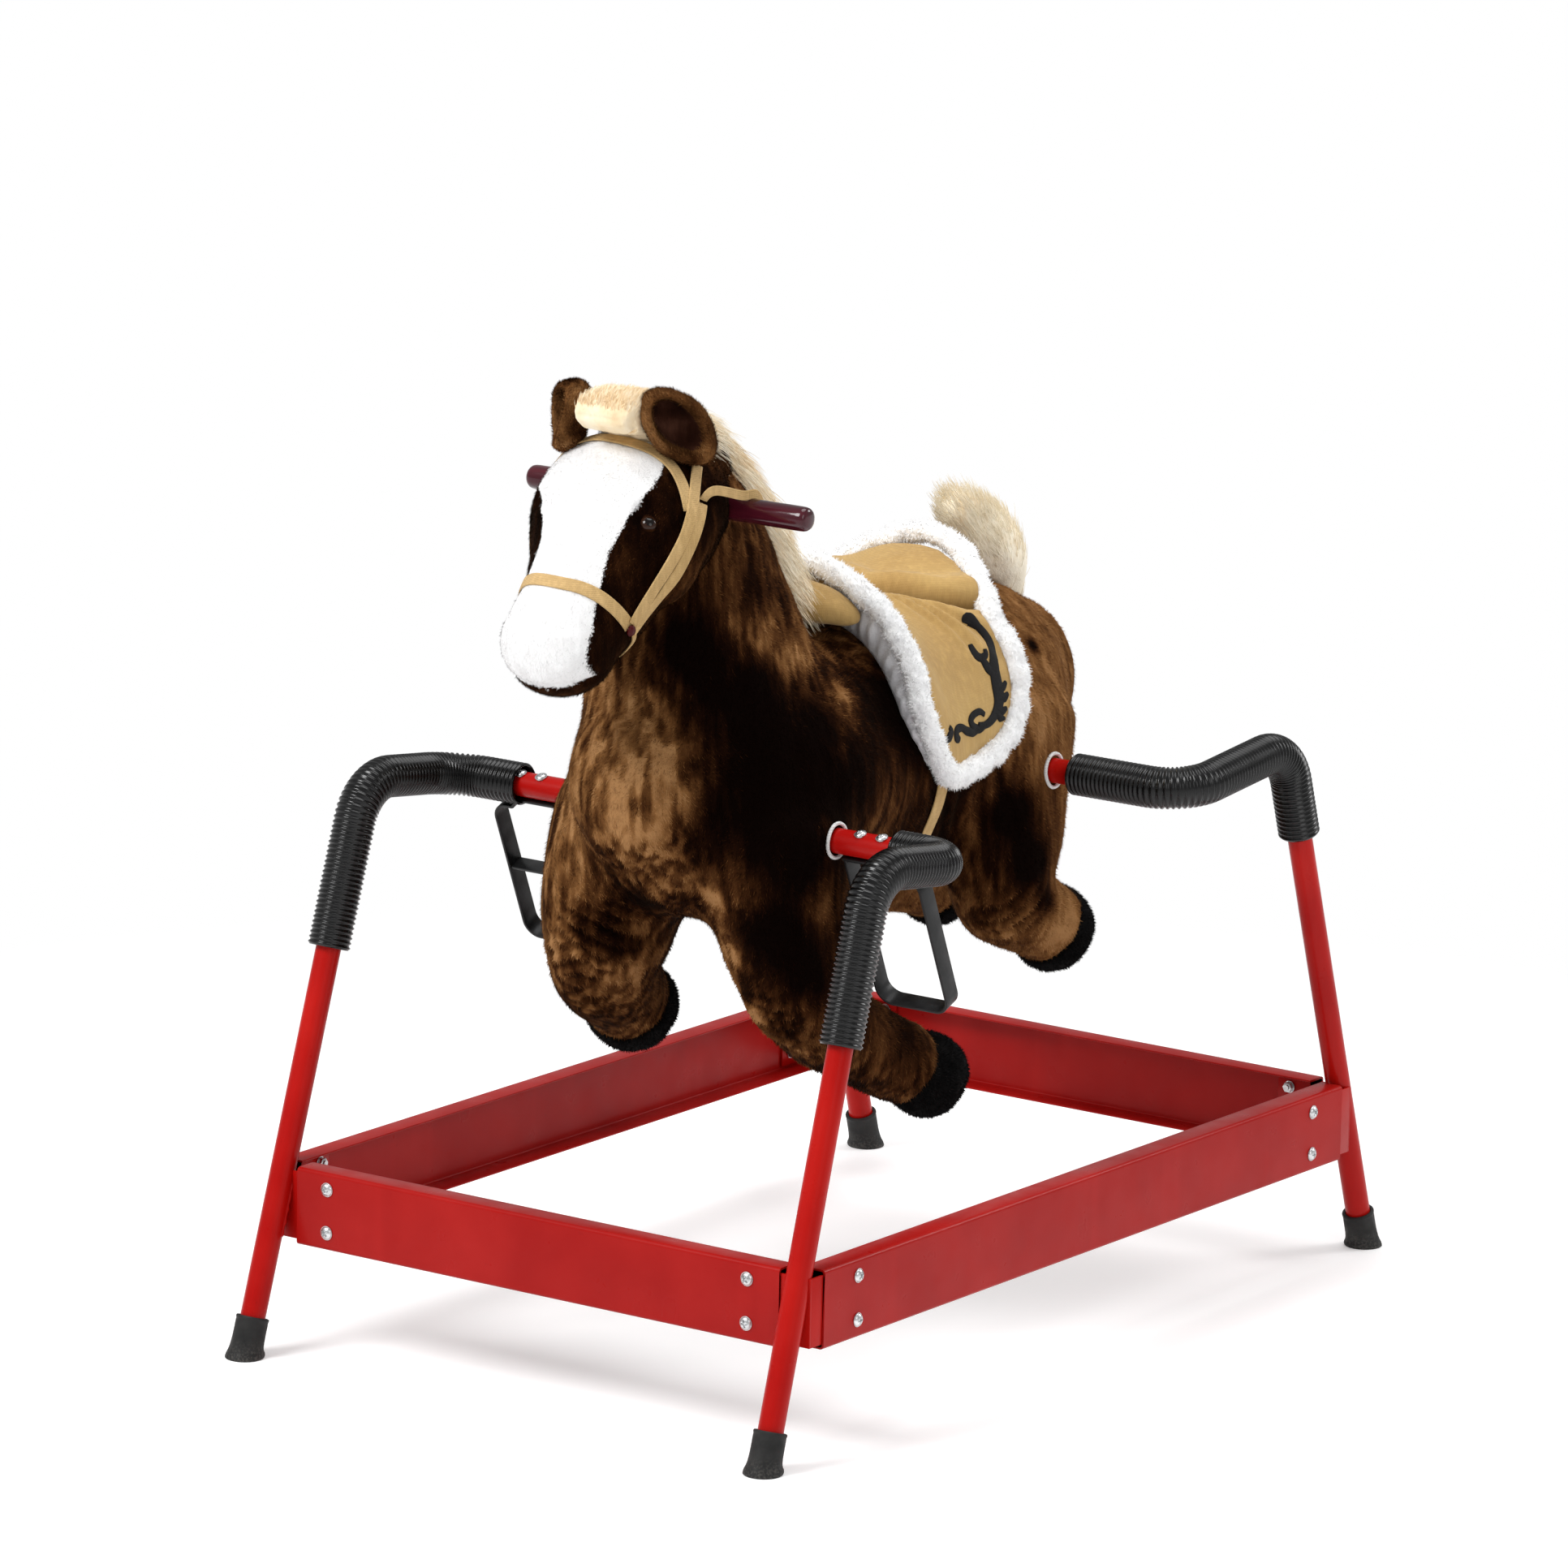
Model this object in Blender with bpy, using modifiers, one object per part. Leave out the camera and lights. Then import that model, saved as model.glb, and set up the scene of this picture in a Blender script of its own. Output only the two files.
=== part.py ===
"""Spring rocking horse: a stuffed horse on two crossbars, hung from a bolted steel-tube
frame by four coil springs under ribbed covers.

Metres, +Z up. The floor is z = 0, the frame's centre is x = y = 0, the horse looks to -Y
and its left side is +X.
"""

import math

import bmesh
import bpy
from mathutils import Matrix, Vector

# Clearances
GAP = 0.0003            # between two touching pieces
PLUSH_GAP = 0.0005      # between stuffed pieces, and round what passes through them
TURNING_GAP = 0.0008    # rear crossbar in the sleeve that turns on it

# How far a cutter passes what it cuts, and half the width of one that cuts right across
CUT_PAST = 0.02
CUT_WIDE = 0.25

# How round the tubes are drawn
ROD_SIDES = 12
LEG_RESOLUTION = 4
COVER_RESOLUTION = 2
BORE_RESOLUTION = 2
SPRING_RESOLUTION = 1
MERGE = 1e-6            # vertices closer than this are one
NEAR_END = 1e-4         # points of a path this near a cut end are left out
PATH_STEPS = 4000       # tries along a path when a place on it is looked for

# Frame: leg tubes, from the foot to the bend and on to the spring
TUBE_R = 0.0125
FOOT_X = 0.3105
FOOT_Y = 0.5285
LEG_BOTTOM = 0.005      # sole thickness of the foot cap under the tube
BEND_X = 0.303
BEND_Y = 0.360
BEND_Z = 0.551
BEND_R = 0.050
ARM_PAST_BEND = 0.020   # straight arm after the bend, which the spring is pushed on

# Frame: foot caps
CAP_R = 0.0160
CAP_TOP = 0.040
FLANGE_R = 0.0195
FLANGE_TOP = 0.008

# Frame: channel rails
RAIL_LOW = 0.107
RAIL_HIGH = 0.185
RAIL_T = 0.002
RAIL_FLANGE = 0.025
RAIL_EDGE_R = 0.004
END_RAIL_FACE = 0.477   # outer face of the front and rear rails
END_RAIL_HALF = 0.288
SIDE_RAIL_FACE = 0.325
SIDE_RAIL_HALF = 0.4545

# Frame: brackets welded to the legs, and the bolts through rail and bracket
BRACKET_T = 0.0025
BRACKET_INSET = 0.003   # above and below, clear of the rail's flanges
BRACKET_PAST_BOLT = 0.014
BOLT_IN_END_RAIL = 0.037
BOLT_IN_SIDE_RAIL = 0.055
BOLT_HEIGHTS = (0.125, 0.1685)
BOLT_R = 0.003
BOLT_HEAD_R = 0.007
BOLT_HEAD_H = 0.0045
BOLT_SHOULDER = 0.72    # of the dome's radius and height, where it turns over
NUT_R = 0.0055
NUT_H = 0.005
BOLT_SIDES = 8

# Crossbars, springs and ribbed covers
FRONT_BAR_Y = -0.215
REAR_BAR_Y = 0.180
BAR_Z = 0.533
ELBOW_R = 0.045
ARC_STEPS = 6           # in each bend of tube, spring or cover
BAR_END_BACK = 0.004    # the crossbar stops this far short of the elbow
SPRING_WIRE_R = 0.00125
SPRING_R = 0.0150       # to the middle of the wire
SPRING_TURNS = 4
SPRING_POINTS = 10      # on each turn
SPRING_GRIP = 0.018     # length pushed on to the arm and on to the crossbar
COVER_R = 0.0210
COVER_VALLEY_R = 0.0194
COVER_BORE_R = 0.0178
COVER_RIBS = 16
BORE_PAST = 0.004       # the bore's cutter at the cover's mouths
FRONT_COVER_LOW = 0.390
REAR_COVER_LOW = 0.456
FRONT_COVER_END_X = 0.232
REAR_COVER_END_X = 0.172

# Stirrups: flat steel strip, bolted under the front crossbar
STRIP_W = 0.020
STRIP_T = 0.003
STIRRUP_LEAN = math.radians(23)
STIRRUP_TOP_IN = 0.170
STIRRUP_STEP_X = 0.226
STIRRUP_OUT_X = 0.254
STIRRUP_DROP = 0.180
STIRRUP_IN_X = 0.172
STIRRUP_CORNER_R = 0.016
STIRRUP_STEP_R = 0.004
STIRRUP_ARC_STEPS = 4
STIRRUP_TREAD_DROP = 0.100
TREAD_INSET = 0.001     # the cross strip is this much narrower on each edge
COVER_CLEAR = 0.0015    # strip under the cover
STIRRUP_BOLTS_X = (0.191, 0.216)
STIRRUP_BOLT_R = 0.0025
STIRRUP_BOLT_HEAD_R = 0.0050
STIRRUP_BOLT_HEAD_H = 0.0025

# Frame inside the horse
SLEEVE_WALL = 0.0035
SLEEVE_HALF = 0.035
POST_R = 0.0105
SPINE_R = 0.0115
HANDLE_R = 0.012
HANDLE_HALF = 0.165
HANDLE_Y = -0.279
HANDLE_Z = 0.857
HANDLE_ROUND = 0.003

# Stuffed forms: each station is (centre x, y, z, half width, half depth)
BODY = (
    (0, -0.318, 0.588, 0.078, 0.088),
    (0, -0.262, 0.578, 0.125, 0.134),
    (0, -0.180, 0.572, 0.159, 0.142),
    (0, -0.080, 0.566, 0.142, 0.138),
    (0, 0.040, 0.566, 0.134, 0.136),
    (0, 0.165, 0.576, 0.132, 0.135),
    (0, 0.255, 0.586, 0.113, 0.116),
    (0, 0.314, 0.592, 0.074, 0.080),
)
NECK = (
    (0, -0.205, 0.600, 0.120, 0.125),
    (0, -0.225, 0.680, 0.110, 0.118),
    (0, -0.242, 0.750, 0.094, 0.101),
    (0, -0.259, 0.810, 0.082, 0.086),
    (0, -0.282, 0.860, 0.066, 0.068),
)
HEAD = (
    (0, -0.268, 0.890, 0.058, 0.056),
    (0, -0.312, 0.858, 0.092, 0.086),
    (0, -0.355, 0.824, 0.091, 0.084),
    (0, -0.395, 0.790, 0.070, 0.066),
    (0, -0.425, 0.766, 0.058, 0.054),
    (0, -0.452, 0.744, 0.057, 0.052),
    (0, -0.472, 0.728, 0.044, 0.040),
)
EAR = (
    (0.064, -0.322, 0.902, 0.020, 0.017),
    (0.074, -0.337, 0.925, 0.029, 0.021),
    (0.070, -0.355, 0.949, 0.030, 0.021),
    (0.060, -0.370, 0.968, 0.023, 0.016),
)
FRONT_LEFT_LEG = (
    (0.086, -0.222, 0.530, 0.078, 0.084),
    (0.096, -0.216, 0.455, 0.064, 0.074),
    (0.106, -0.204, 0.388, 0.055, 0.061),
    (0.113, -0.176, 0.345, 0.049, 0.052),
    (0.122, -0.122, 0.311, 0.044, 0.044),
    (0.134, -0.056, 0.277, 0.040, 0.041),
)
FRONT_RIGHT_LEG = (
    (-0.080, -0.222, 0.530, 0.068, 0.080),
    (-0.090, -0.230, 0.460, 0.067, 0.087),
    (-0.095, -0.233, 0.402, 0.060, 0.075),
    (-0.105, -0.226, 0.366, 0.051, 0.055),
    (-0.115, -0.187, 0.337, 0.043, 0.044),
)
REAR_LEFT_LEG = (
    (0.072, 0.178, 0.575, 0.072, 0.105),
    (0.090, 0.162, 0.505, 0.062, 0.092),
    (0.103, 0.149, 0.442, 0.053, 0.081),
    (0.108, 0.149, 0.410, 0.047, 0.058),
    (0.110, 0.174, 0.391, 0.043, 0.046),
    (0.111, 0.199, 0.377, 0.041, 0.042),
)
REAR_RIGHT_LEG = (
    (-0.072, 0.185, 0.570, 0.072, 0.105),
    (-0.090, 0.190, 0.495, 0.062, 0.088),
    (-0.102, 0.205, 0.430, 0.052, 0.064),
    (-0.108, 0.238, 0.395, 0.046, 0.050),
    (-0.110, 0.280, 0.374, 0.042, 0.044),
    (-0.111, 0.318, 0.360, 0.039, 0.040),
)
MANE = (
    (0, -0.374, 0.936, 0.026, 0.018),
    (0, -0.338, 0.944, 0.034, 0.022),
    (0, -0.285, 0.928, 0.033, 0.024),
    (0, -0.232, 0.884, 0.033, 0.026),
    (0, -0.186, 0.838, 0.033, 0.027),
    (0, -0.145, 0.778, 0.033, 0.027),
    (0, -0.112, 0.735, 0.026, 0.022),
)
TAIL = (
    (0, 0.300, 0.650, 0.018, 0.020),
    (0, 0.298, 0.698, 0.028, 0.030),
    (0, 0.272, 0.732, 0.038, 0.038),
    (0, 0.239, 0.757, 0.036, 0.036),
    (0, 0.212, 0.772, 0.024, 0.024),
)
HOOF_R = 0.042
HOOF_OVERLAP = 0.012    # how far the ball is set back over the leg's end
EYE_R = 0.0105
EYE = (0.0595, -0.394, 0.866)
SIDES_OF_BODY = 8
SIDES_OF_LIMB = 6
SIDES_OF_TUFT = 6
HOOF_SIDES = 8
EYE_SIDES = 8
DOME = 0.55             # height of a form's end, as a share of its smaller half size

# Saddle: pad thickness over the back at each y, and its outline seen from the side
SADDLE_PADS = (
    (-0.130, 0.020),
    (-0.085, 0.044),
    (-0.045, 0.058),
    (-0.005, 0.030),
    (0.035, 0.020),
    (0.080, 0.030),
    (0.125, 0.040),
    (0.158, 0.042),
    (0.200, 0.026),
)
SADDLE_SIDE_PAD = 0.012
SADDLE_OUTLINE = (
    (-0.056, 0.820),
    (-0.062, 0.690),
    (-0.070, 0.641),
    (-0.058, 0.608),
    (-0.041, 0.580),
    (-0.018, 0.555),
    (0.006, 0.549),
    (0.050, 0.551),
    (0.086, 0.563),
    (0.113, 0.584),
    (0.127, 0.612),
    (0.131, 0.645),
    (0.130, 0.690),
    (0.166, 0.745),
    (0.172, 0.820),
)
GIRTH_Y = -0.004
GIRTH_W = 0.013
GIRTH_TOP = 0.6         # where the strap ends under the saddle
STRAP_T = 0.0022

# Bridle: bands round the head, square to its axis, and one cheek strap a side
HEAD_AXIS_TILT = math.radians(38)
NOSEBAND_AT = (-0.424, 0.767)
CROWN_AT = (-0.322, 0.850)
CHEEK_DROP = 0.004
BAND_W = 0.012

CORNERS = (
    ("front_left", 1, -1),
    ("front_right", -1, -1),
    ("rear_left", 1, 1),
    ("rear_right", -1, 1),
)


def clear_scene():
    for obj in list(bpy.data.objects):
        bpy.data.objects.remove(obj)


def new_collection(name):
    group = bpy.data.collections.new(name)
    bpy.context.scene.collection.children.link(group)
    return group


def new_material(name, colour, roughness, metallic=0.0):
    mat = bpy.data.materials.new(name)
    mat.use_nodes = True
    shader = mat.node_tree.nodes["Principled BSDF"]
    shader.inputs["Base Color"].default_value = (*colour, 1)
    shader.inputs["Roughness"].default_value = roughness
    shader.inputs["Metallic"].default_value = metallic
    mat.diffuse_color = (*colour, 1)
    return mat


clear_scene()
PARTS = new_collection("spring_rocking_horse")
CUTTERS = new_collection("cutters")

RED = new_material("red_paint", (0.42, 0.022, 0.018), 0.35)
BLACK_STEEL = new_material("black_steel", (0.02, 0.02, 0.022), 0.45)
ZINC = new_material("zinc", (0.62, 0.62, 0.60), 0.3, 1.0)
SPRING_STEEL = new_material("spring_steel", (0.35, 0.35, 0.36), 0.35, 1.0)
RUBBER = new_material("black_rubber", (0.015, 0.015, 0.016), 0.7)
HOSE = new_material("black_plastic_hose", (0.012, 0.012, 0.013), 0.35)
MAROON = new_material("maroon_handle", (0.09, 0.008, 0.014), 0.2)
BROWN = new_material("brown_plush", (0.13, 0.055, 0.02), 0.9)
HOOF_BLACK = new_material("black_plush", (0.012, 0.011, 0.011), 0.9)
CREAM = new_material("cream_hair", (0.80, 0.62, 0.40), 0.9)
TAN = new_material("tan_fabric", (0.50, 0.33, 0.14), 0.8)
GLASS = new_material("eye_gloss", (0.06, 0.025, 0.008), 0.05)


def add_object(name, mesh, mat):
    """Put a mesh in the model as one named, smooth-shaded piece."""
    obj = bpy.data.objects.new(name, mesh)
    PARTS.objects.link(obj)
    mesh.materials.clear()
    mesh.materials.append(mat)
    mesh.shade_smooth()
    mesh.set_sharp_from_angle(angle=math.radians(40))
    return obj


def add_cutter(name, mesh):
    obj = bpy.data.objects.new(name, mesh)
    CUTTERS.objects.link(obj)
    obj.hide_render = True
    obj.display_type = "WIRE"
    return obj


def finish_mesh(name, bm):
    bmesh.ops.recalc_face_normals(bm, faces=bm.faces)
    mesh = bpy.data.meshes.new(name)
    bm.to_mesh(mesh)
    bm.free()
    return mesh


def boolean(obj, other, operation="DIFFERENCE"):
    step = obj.modifiers.new(operation.lower() + "_" + other.name, "BOOLEAN")
    step.operation = operation
    step.object = other
    step.solver = "EXACT"


def move_origin(obj, point):
    """Move an object's origin without moving its shape."""
    obj.data.transform(Matrix.Translation(-Vector(point)))
    obj.location = point


def box_mesh(name, low, high):
    bm = bmesh.new()
    bmesh.ops.create_cube(bm, size=1.0)
    low = Vector(low)
    high = Vector(high)
    size = high - low
    bmesh.ops.scale(bm, vec=size, verts=bm.verts)
    bmesh.ops.translate(bm, vec=(low + high) / 2, verts=bm.verts)
    return finish_mesh(name, bm)


def rod_mesh(name, start, end, radius, sides=ROD_SIDES):
    """A plain rod between two points."""
    start = Vector(start)
    end = Vector(end)
    bm = bmesh.new()
    bmesh.ops.create_cone(
        bm, cap_ends=True, segments=sides, radius1=radius, radius2=radius,
        depth=(end - start).length,
    )
    turn = (end - start).to_track_quat("Z", "Y").to_matrix().to_4x4()
    bmesh.ops.transform(bm, matrix=Matrix.Translation((start + end) / 2) @ turn, verts=bm.verts)
    return finish_mesh(name, bm)


def tube_mesh(name, points, radii, resolution):
    """A welded mesh of a tube along points, from a curve with filled caps."""
    widest = max(radii)
    curve = bpy.data.curves.new(name, "CURVE")
    curve.dimensions = "3D"
    curve.bevel_depth = widest
    curve.bevel_resolution = resolution
    curve.use_fill_caps = True
    spline = curve.splines.new("POLY")
    spline.points.add(len(points) - 1)
    for knot, point, radius in zip(spline.points, points, radii):
        knot.co = (*point, 1)
        knot.radius = radius / widest
    guide = bpy.data.objects.new(name + "_guide", curve)
    CUTTERS.objects.link(guide)
    bpy.context.view_layer.update()
    evaluated = guide.evaluated_get(bpy.context.evaluated_depsgraph_get())
    mesh = bpy.data.meshes.new_from_object(evaluated)
    bpy.data.objects.remove(guide)
    bm = bmesh.new()
    bm.from_mesh(mesh)
    bmesh.ops.remove_doubles(bm, verts=bm.verts, dist=MERGE)
    bm.to_mesh(mesh)
    bm.free()
    return mesh


def rounded_path(corners, radii, arc_steps=ARC_STEPS):
    """Points along straight runs through the corners, with an arc at each inner corner."""
    points = [Vector(corners[0])]
    for i in range(1, len(corners) - 1):
        corner = Vector(corners[i])
        back = (Vector(corners[i - 1]) - corner).normalized()
        ahead = (Vector(corners[i + 1]) - corner).normalized()
        half = back.angle(ahead) / 2
        radius = radii[i - 1]
        reach = radius / math.tan(half)
        centre = corner + (back + ahead).normalized() * (radius / math.sin(half))
        start = corner + back * reach - centre
        end = corner + ahead * reach - centre
        turn = start.angle(end)
        for step in range(arc_steps + 1):
            share = step / arc_steps
            point = start * math.sin((1 - share) * turn) + end * math.sin(share * turn)
            points.append(centre + point / math.sin(turn))
    points.append(Vector(corners[-1]))
    return points


class Path:
    """A polyline that can be read by distance, with a frame that doesn't twist."""

    def __init__(self, points):
        self.points = points
        self.marks = [0.0]
        for a, b in zip(points, points[1:]):
            self.marks.append(self.marks[-1] + (b - a).length)
        self.length = self.marks[-1]
        tangents = [(b - a).normalized() for a, b in zip(points, points[1:])]
        side = tangents[0].orthogonal().normalized()
        self.frames = []
        for tangent in tangents:
            side = (side - tangent * side.dot(tangent)).normalized()
            self.frames.append((side, tangent.cross(side)))

    def at(self, distance):
        distance = min(max(distance, 0.0), self.length)
        i = 0
        while i < len(self.points) - 2 and self.marks[i + 1] < distance:
            i += 1
        share = (distance - self.marks[i]) / (self.marks[i + 1] - self.marks[i])
        return self.points[i].lerp(self.points[i + 1], share), self.frames[i]

    def distance_to(self, test):
        """Distance along the path of the first point that passes the test."""
        for i in range(PATH_STEPS + 1):
            distance = self.length * i / PATH_STEPS
            if test(self.at(distance)[0]):
                return distance
        return self.length

    def between(self, start, end):
        """The path's own points between two distances, with the two ends."""
        low = start + NEAR_END
        high = end - NEAR_END
        inner = [point for point, mark in zip(self.points, self.marks) if low < mark < high]
        return [self.at(start)[0]] + inner + [self.at(end)[0]]


def bar_y(sy):
    return FRONT_BAR_Y if sy < 0 else REAR_BAR_Y


def corner_path(sx, sy):
    """Centre line from a foot up the leg, over the bend, round the elbow, to the middle."""
    corners = (
        (FOOT_X * sx, FOOT_Y * sy, 0.0),
        (BEND_X * sx, BEND_Y * sy, BEND_Z),
        (BEND_X * sx, bar_y(sy), BAR_Z),
        (0.0, bar_y(sy), BAR_Z),
    )
    return Path(rounded_path(corners, (BEND_R, ELBOW_R)))


BAR_END_X = BEND_X - ELBOW_R - BAR_END_BACK


def leg_end(path):
    """Distance along the path at which the leg's arm ends."""
    after_bend = path.marks[1 + ARC_STEPS]
    return after_bend + ARM_PAST_BEND


def bolt_places(sx, sy):
    """Each bolt at a corner: the point on the rail's outer face and the outward axis."""
    places = []
    for z in BOLT_HEIGHTS:
        x = (END_RAIL_HALF - BOLT_IN_END_RAIL) * sx
        places.append((Vector((x, END_RAIL_FACE * sy, z)), Vector((0, sy, 0))))
    for z in BOLT_HEIGHTS:
        y = (SIDE_RAIL_HALF - BOLT_IN_SIDE_RAIL) * sy
        places.append((Vector((SIDE_RAIL_FACE * sx, y, z)), Vector((sx, 0, 0))))
    return places


def join_meshes(name, meshes):
    bm = bmesh.new()
    for mesh in meshes:
        bm.from_mesh(mesh)
        bpy.data.meshes.remove(mesh)
    return finish_mesh(name, bm)


def bolt_hole_mesh(name, places):
    """One rod for each bolt hole, long enough to pass rail and bracket."""
    rods = []
    for point, axis in places:
        past = axis * CUT_PAST
        rods.append(rod_mesh(name, point - past, point + past, BOLT_R + GAP, BOLT_SIDES))
    return join_meshes(name, rods)


def make_leg(name, sx, sy):
    path = corner_path(sx, sy)
    run = path.between(LEG_BOTTOM, leg_end(path))
    leg = add_object(name, tube_mesh(name, run, [TUBE_R] * len(run), LEG_RESOLUTION), RED)
    low = RAIL_LOW + RAIL_T + BRACKET_INSET
    high = RAIL_HIGH - RAIL_T - BRACKET_INSET
    face_y = END_RAIL_FACE - RAIL_T - GAP
    face_x = SIDE_RAIL_FACE - RAIL_T - GAP
    wing_x = END_RAIL_HALF - BOLT_IN_END_RAIL - BRACKET_PAST_BOLT
    wing_y = SIDE_RAIL_HALF - BOLT_IN_SIDE_RAIL - BRACKET_PAST_BOLT
    wings = (
        ((wing_x, face_y - BRACKET_T), (face_x, face_y)),
        ((face_x - BRACKET_T, wing_y), (face_x, face_y - BRACKET_T / 2)),
    )
    for i, ((x1, y1), (x2, y2)) in enumerate(wings):
        xs = sorted((x1 * sx, x2 * sx))
        ys = sorted((y1 * sy, y2 * sy))
        wing = box_mesh("wing", (xs[0], ys[0], low), (xs[1], ys[1], high))
        boolean(leg, add_cutter(f"{name}_wing_{i}", wing), "UNION")
    holes = add_cutter(name + "_holes", bolt_hole_mesh(name, bolt_places(sx, sy)))
    boolean(leg, holes)
    return leg


def make_foot_cap(name, sx, sy):
    """A moulded cap on the leaning tube, with a flat round flange on the floor."""
    path = corner_path(sx, sy)
    foot = path.at(0.0)[0]
    lean = (path.at(0.1)[0] - foot).normalized()
    floor = Vector((foot.x, foot.y, 0.0))
    profile_low = floor - lean * CAP_R
    cap = add_object(name, rod_mesh(name, profile_low, foot + lean * CAP_TOP, CAP_R), RUBBER)
    flange = rod_mesh("flange", floor, floor + Vector((0, 0, FLANGE_TOP)), FLANGE_R)
    boolean(cap, add_cutter(name + "_flange", flange), "UNION")
    reach = CUT_WIDE
    ground = box_mesh("ground", floor + Vector((-reach, -reach, -reach)),
                      floor + Vector((reach, reach, 0)))
    boolean(cap, add_cutter(name + "_ground", ground))
    bore_low = path.at(LEG_BOTTOM - GAP)[0]
    bore = rod_mesh("bore", bore_low, foot + lean * (CAP_TOP + reach), TUBE_R + GAP)
    boolean(cap, add_cutter(name + "_bore", bore))
    return cap


def make_rail(name, half, face, along_x, sign):
    """A channel with its flanges turned inward, and bolt holes near both ends."""
    depth = RAIL_FLANGE
    section = (
        (face - depth, RAIL_HIGH),
        (face, RAIL_HIGH),
        (face, RAIL_LOW),
        (face - depth, RAIL_LOW),
    )
    bm = bmesh.new()
    rows = []
    for end in (-half, half):
        row = []
        for out, z in section:
            point = (end, out * sign, z) if along_x else (out * sign, end, z)
            row.append(bm.verts.new(point))
        rows.append(row)
    for i in range(3):
        bm.faces.new((rows[0][i], rows[0][i + 1], rows[1][i + 1], rows[1][i]))
    web = list(bm.faces)[1]
    web.normal_update()
    outward = Vector((0, sign, 0)) if along_x else Vector((sign, 0, 0))
    if web.normal.dot(outward) < 0:
        bmesh.ops.reverse_faces(bm, faces=bm.faces)
    mesh = bpy.data.meshes.new(name)
    bm.to_mesh(mesh)
    bm.free()
    rail = add_object(name, mesh, RED)
    edge = rail.modifiers.new("folded_edges", "BEVEL")
    edge.width = RAIL_EDGE_R
    edge.segments = 2
    edge.limit_method = "ANGLE"
    wall = rail.modifiers.new("wall", "SOLIDIFY")
    wall.thickness = RAIL_T
    wall.offset = -1
    wall.use_even_offset = True
    places = []
    for _, sx, sy in CORNERS:
        for point, axis in bolt_places(sx, sy):
            outer = axis.y if along_x else axis.x
            if outer * sign > 0.5:
                places.append((point, axis))
    boolean(rail, add_cutter(name + "_holes", bolt_hole_mesh(name, places)))
    return rail


def make_corner_bolt(name, point, axis):
    """Domed bolt, its shank through rail and bracket, and its nut, as one turned solid."""
    grip = RAIL_T + GAP + BRACKET_T
    head = BOLT_HEAD_H
    profile = (
        (0.0, GAP + head),
        (BOLT_HEAD_R * BOLT_SHOULDER, GAP + head * BOLT_SHOULDER),
        (BOLT_HEAD_R, GAP),
        (BOLT_R, GAP),
        (BOLT_R, -grip - GAP),
        (NUT_R, -grip - GAP),
        (NUT_R, -grip - GAP - NUT_H),
        (0.0, -grip - GAP - NUT_H),
    )
    bm = bmesh.new()
    rings = []
    turn = axis.to_track_quat("Z", "Y").to_matrix()
    for radius, height in profile:
        if radius == 0.0:
            rings.append([bm.verts.new(point + axis * height)])
            continue
        ring = []
        for i in range(BOLT_SIDES):
            angle = 2 * math.pi * i / BOLT_SIDES
            spoke = Vector((math.sin(angle) * radius, -math.cos(angle) * radius, height))
            ring.append(bm.verts.new(point + turn @ spoke))
        rings.append(ring)
    for upper, lower in zip(rings, rings[1:]):
        for i in range(BOLT_SIDES):
            j = (i + 1) % BOLT_SIDES
            corners = [upper[i % len(upper)], upper[j % len(upper)],
                       lower[j % len(lower)], lower[i % len(lower)]]
            bm.faces.new(list(dict.fromkeys(corners)))
    return add_object(name, finish_mesh(name, bm), ZINC)


def make_cover(name, sx, sy):
    """A ribbed hose over leg arm, spring and crossbar end."""
    path = corner_path(sx, sy)
    low_z = FRONT_COVER_LOW if sy < 0 else REAR_COVER_LOW
    end_x = FRONT_COVER_END_X if sy < 0 else REAR_COVER_END_X
    start = path.distance_to(lambda p: p.z >= low_z)
    end = path.distance_to(lambda p: abs(p.x) <= end_x)
    pitch = (end - start) / COVER_RIBS
    points = []
    radii = []
    for i in range(COVER_RIBS):
        points.append(path.at(start + pitch * i)[0])
        radii.append(COVER_VALLEY_R)
        points.append(path.at(start + pitch * (i + 0.5))[0])
        radii.append(COVER_R)
    points.append(path.at(end)[0])
    radii.append(COVER_VALLEY_R)
    cover = add_object(name, tube_mesh(name, points, radii, COVER_RESOLUTION), HOSE)
    run = path.between(start, end)
    first = (run[0] - run[1]).normalized() * BORE_PAST
    last = (run[-1] - run[-2]).normalized() * BORE_PAST
    run = [run[0] + first] + run[1:-1] + [run[-1] + last]
    bore = tube_mesh(name + "_bore", run, [COVER_BORE_R] * len(run), BORE_RESOLUTION)
    boolean(cover, add_cutter(name + "_bore", bore))
    return cover


def make_spring(name, sx, sy):
    """A coil pushed on the leg's arm at one end and on the crossbar at the other."""
    path = corner_path(sx, sy)
    start = leg_end(path) - SPRING_GRIP
    end = path.distance_to(lambda p: abs(p.x) <= BAR_END_X) + SPRING_GRIP
    count = SPRING_TURNS * SPRING_POINTS + 1
    points = []
    for i in range(count):
        share = i / (count - 1)
        centre, (side, up) = path.at(start + (end - start) * share)
        angle = 2 * math.pi * SPRING_TURNS * share
        points.append(centre + (side * math.cos(angle) + up * math.sin(angle)) * SPRING_R)
    curve = bpy.data.curves.new(name, "CURVE")
    curve.dimensions = "3D"
    curve.bevel_depth = SPRING_WIRE_R
    curve.bevel_resolution = SPRING_RESOLUTION
    curve.use_fill_caps = True
    spline = curve.splines.new("POLY")
    spline.points.add(count - 1)
    for knot, point in zip(spline.points, points):
        knot.co = (*point, 1)
    spring = bpy.data.objects.new(name, curve)
    spring.data.materials.append(SPRING_STEEL)
    PARTS.objects.link(spring)
    apart = SPRING_POINTS // 2
    least = min(
        (points[i] - points[j]).length
        for i in range(count) for j in range(i + apart, count)
    )
    print(f"{name}: least gap between turns {(least - 2 * SPRING_WIRE_R) * 1000:.2f} mm")
    return spring


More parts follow.
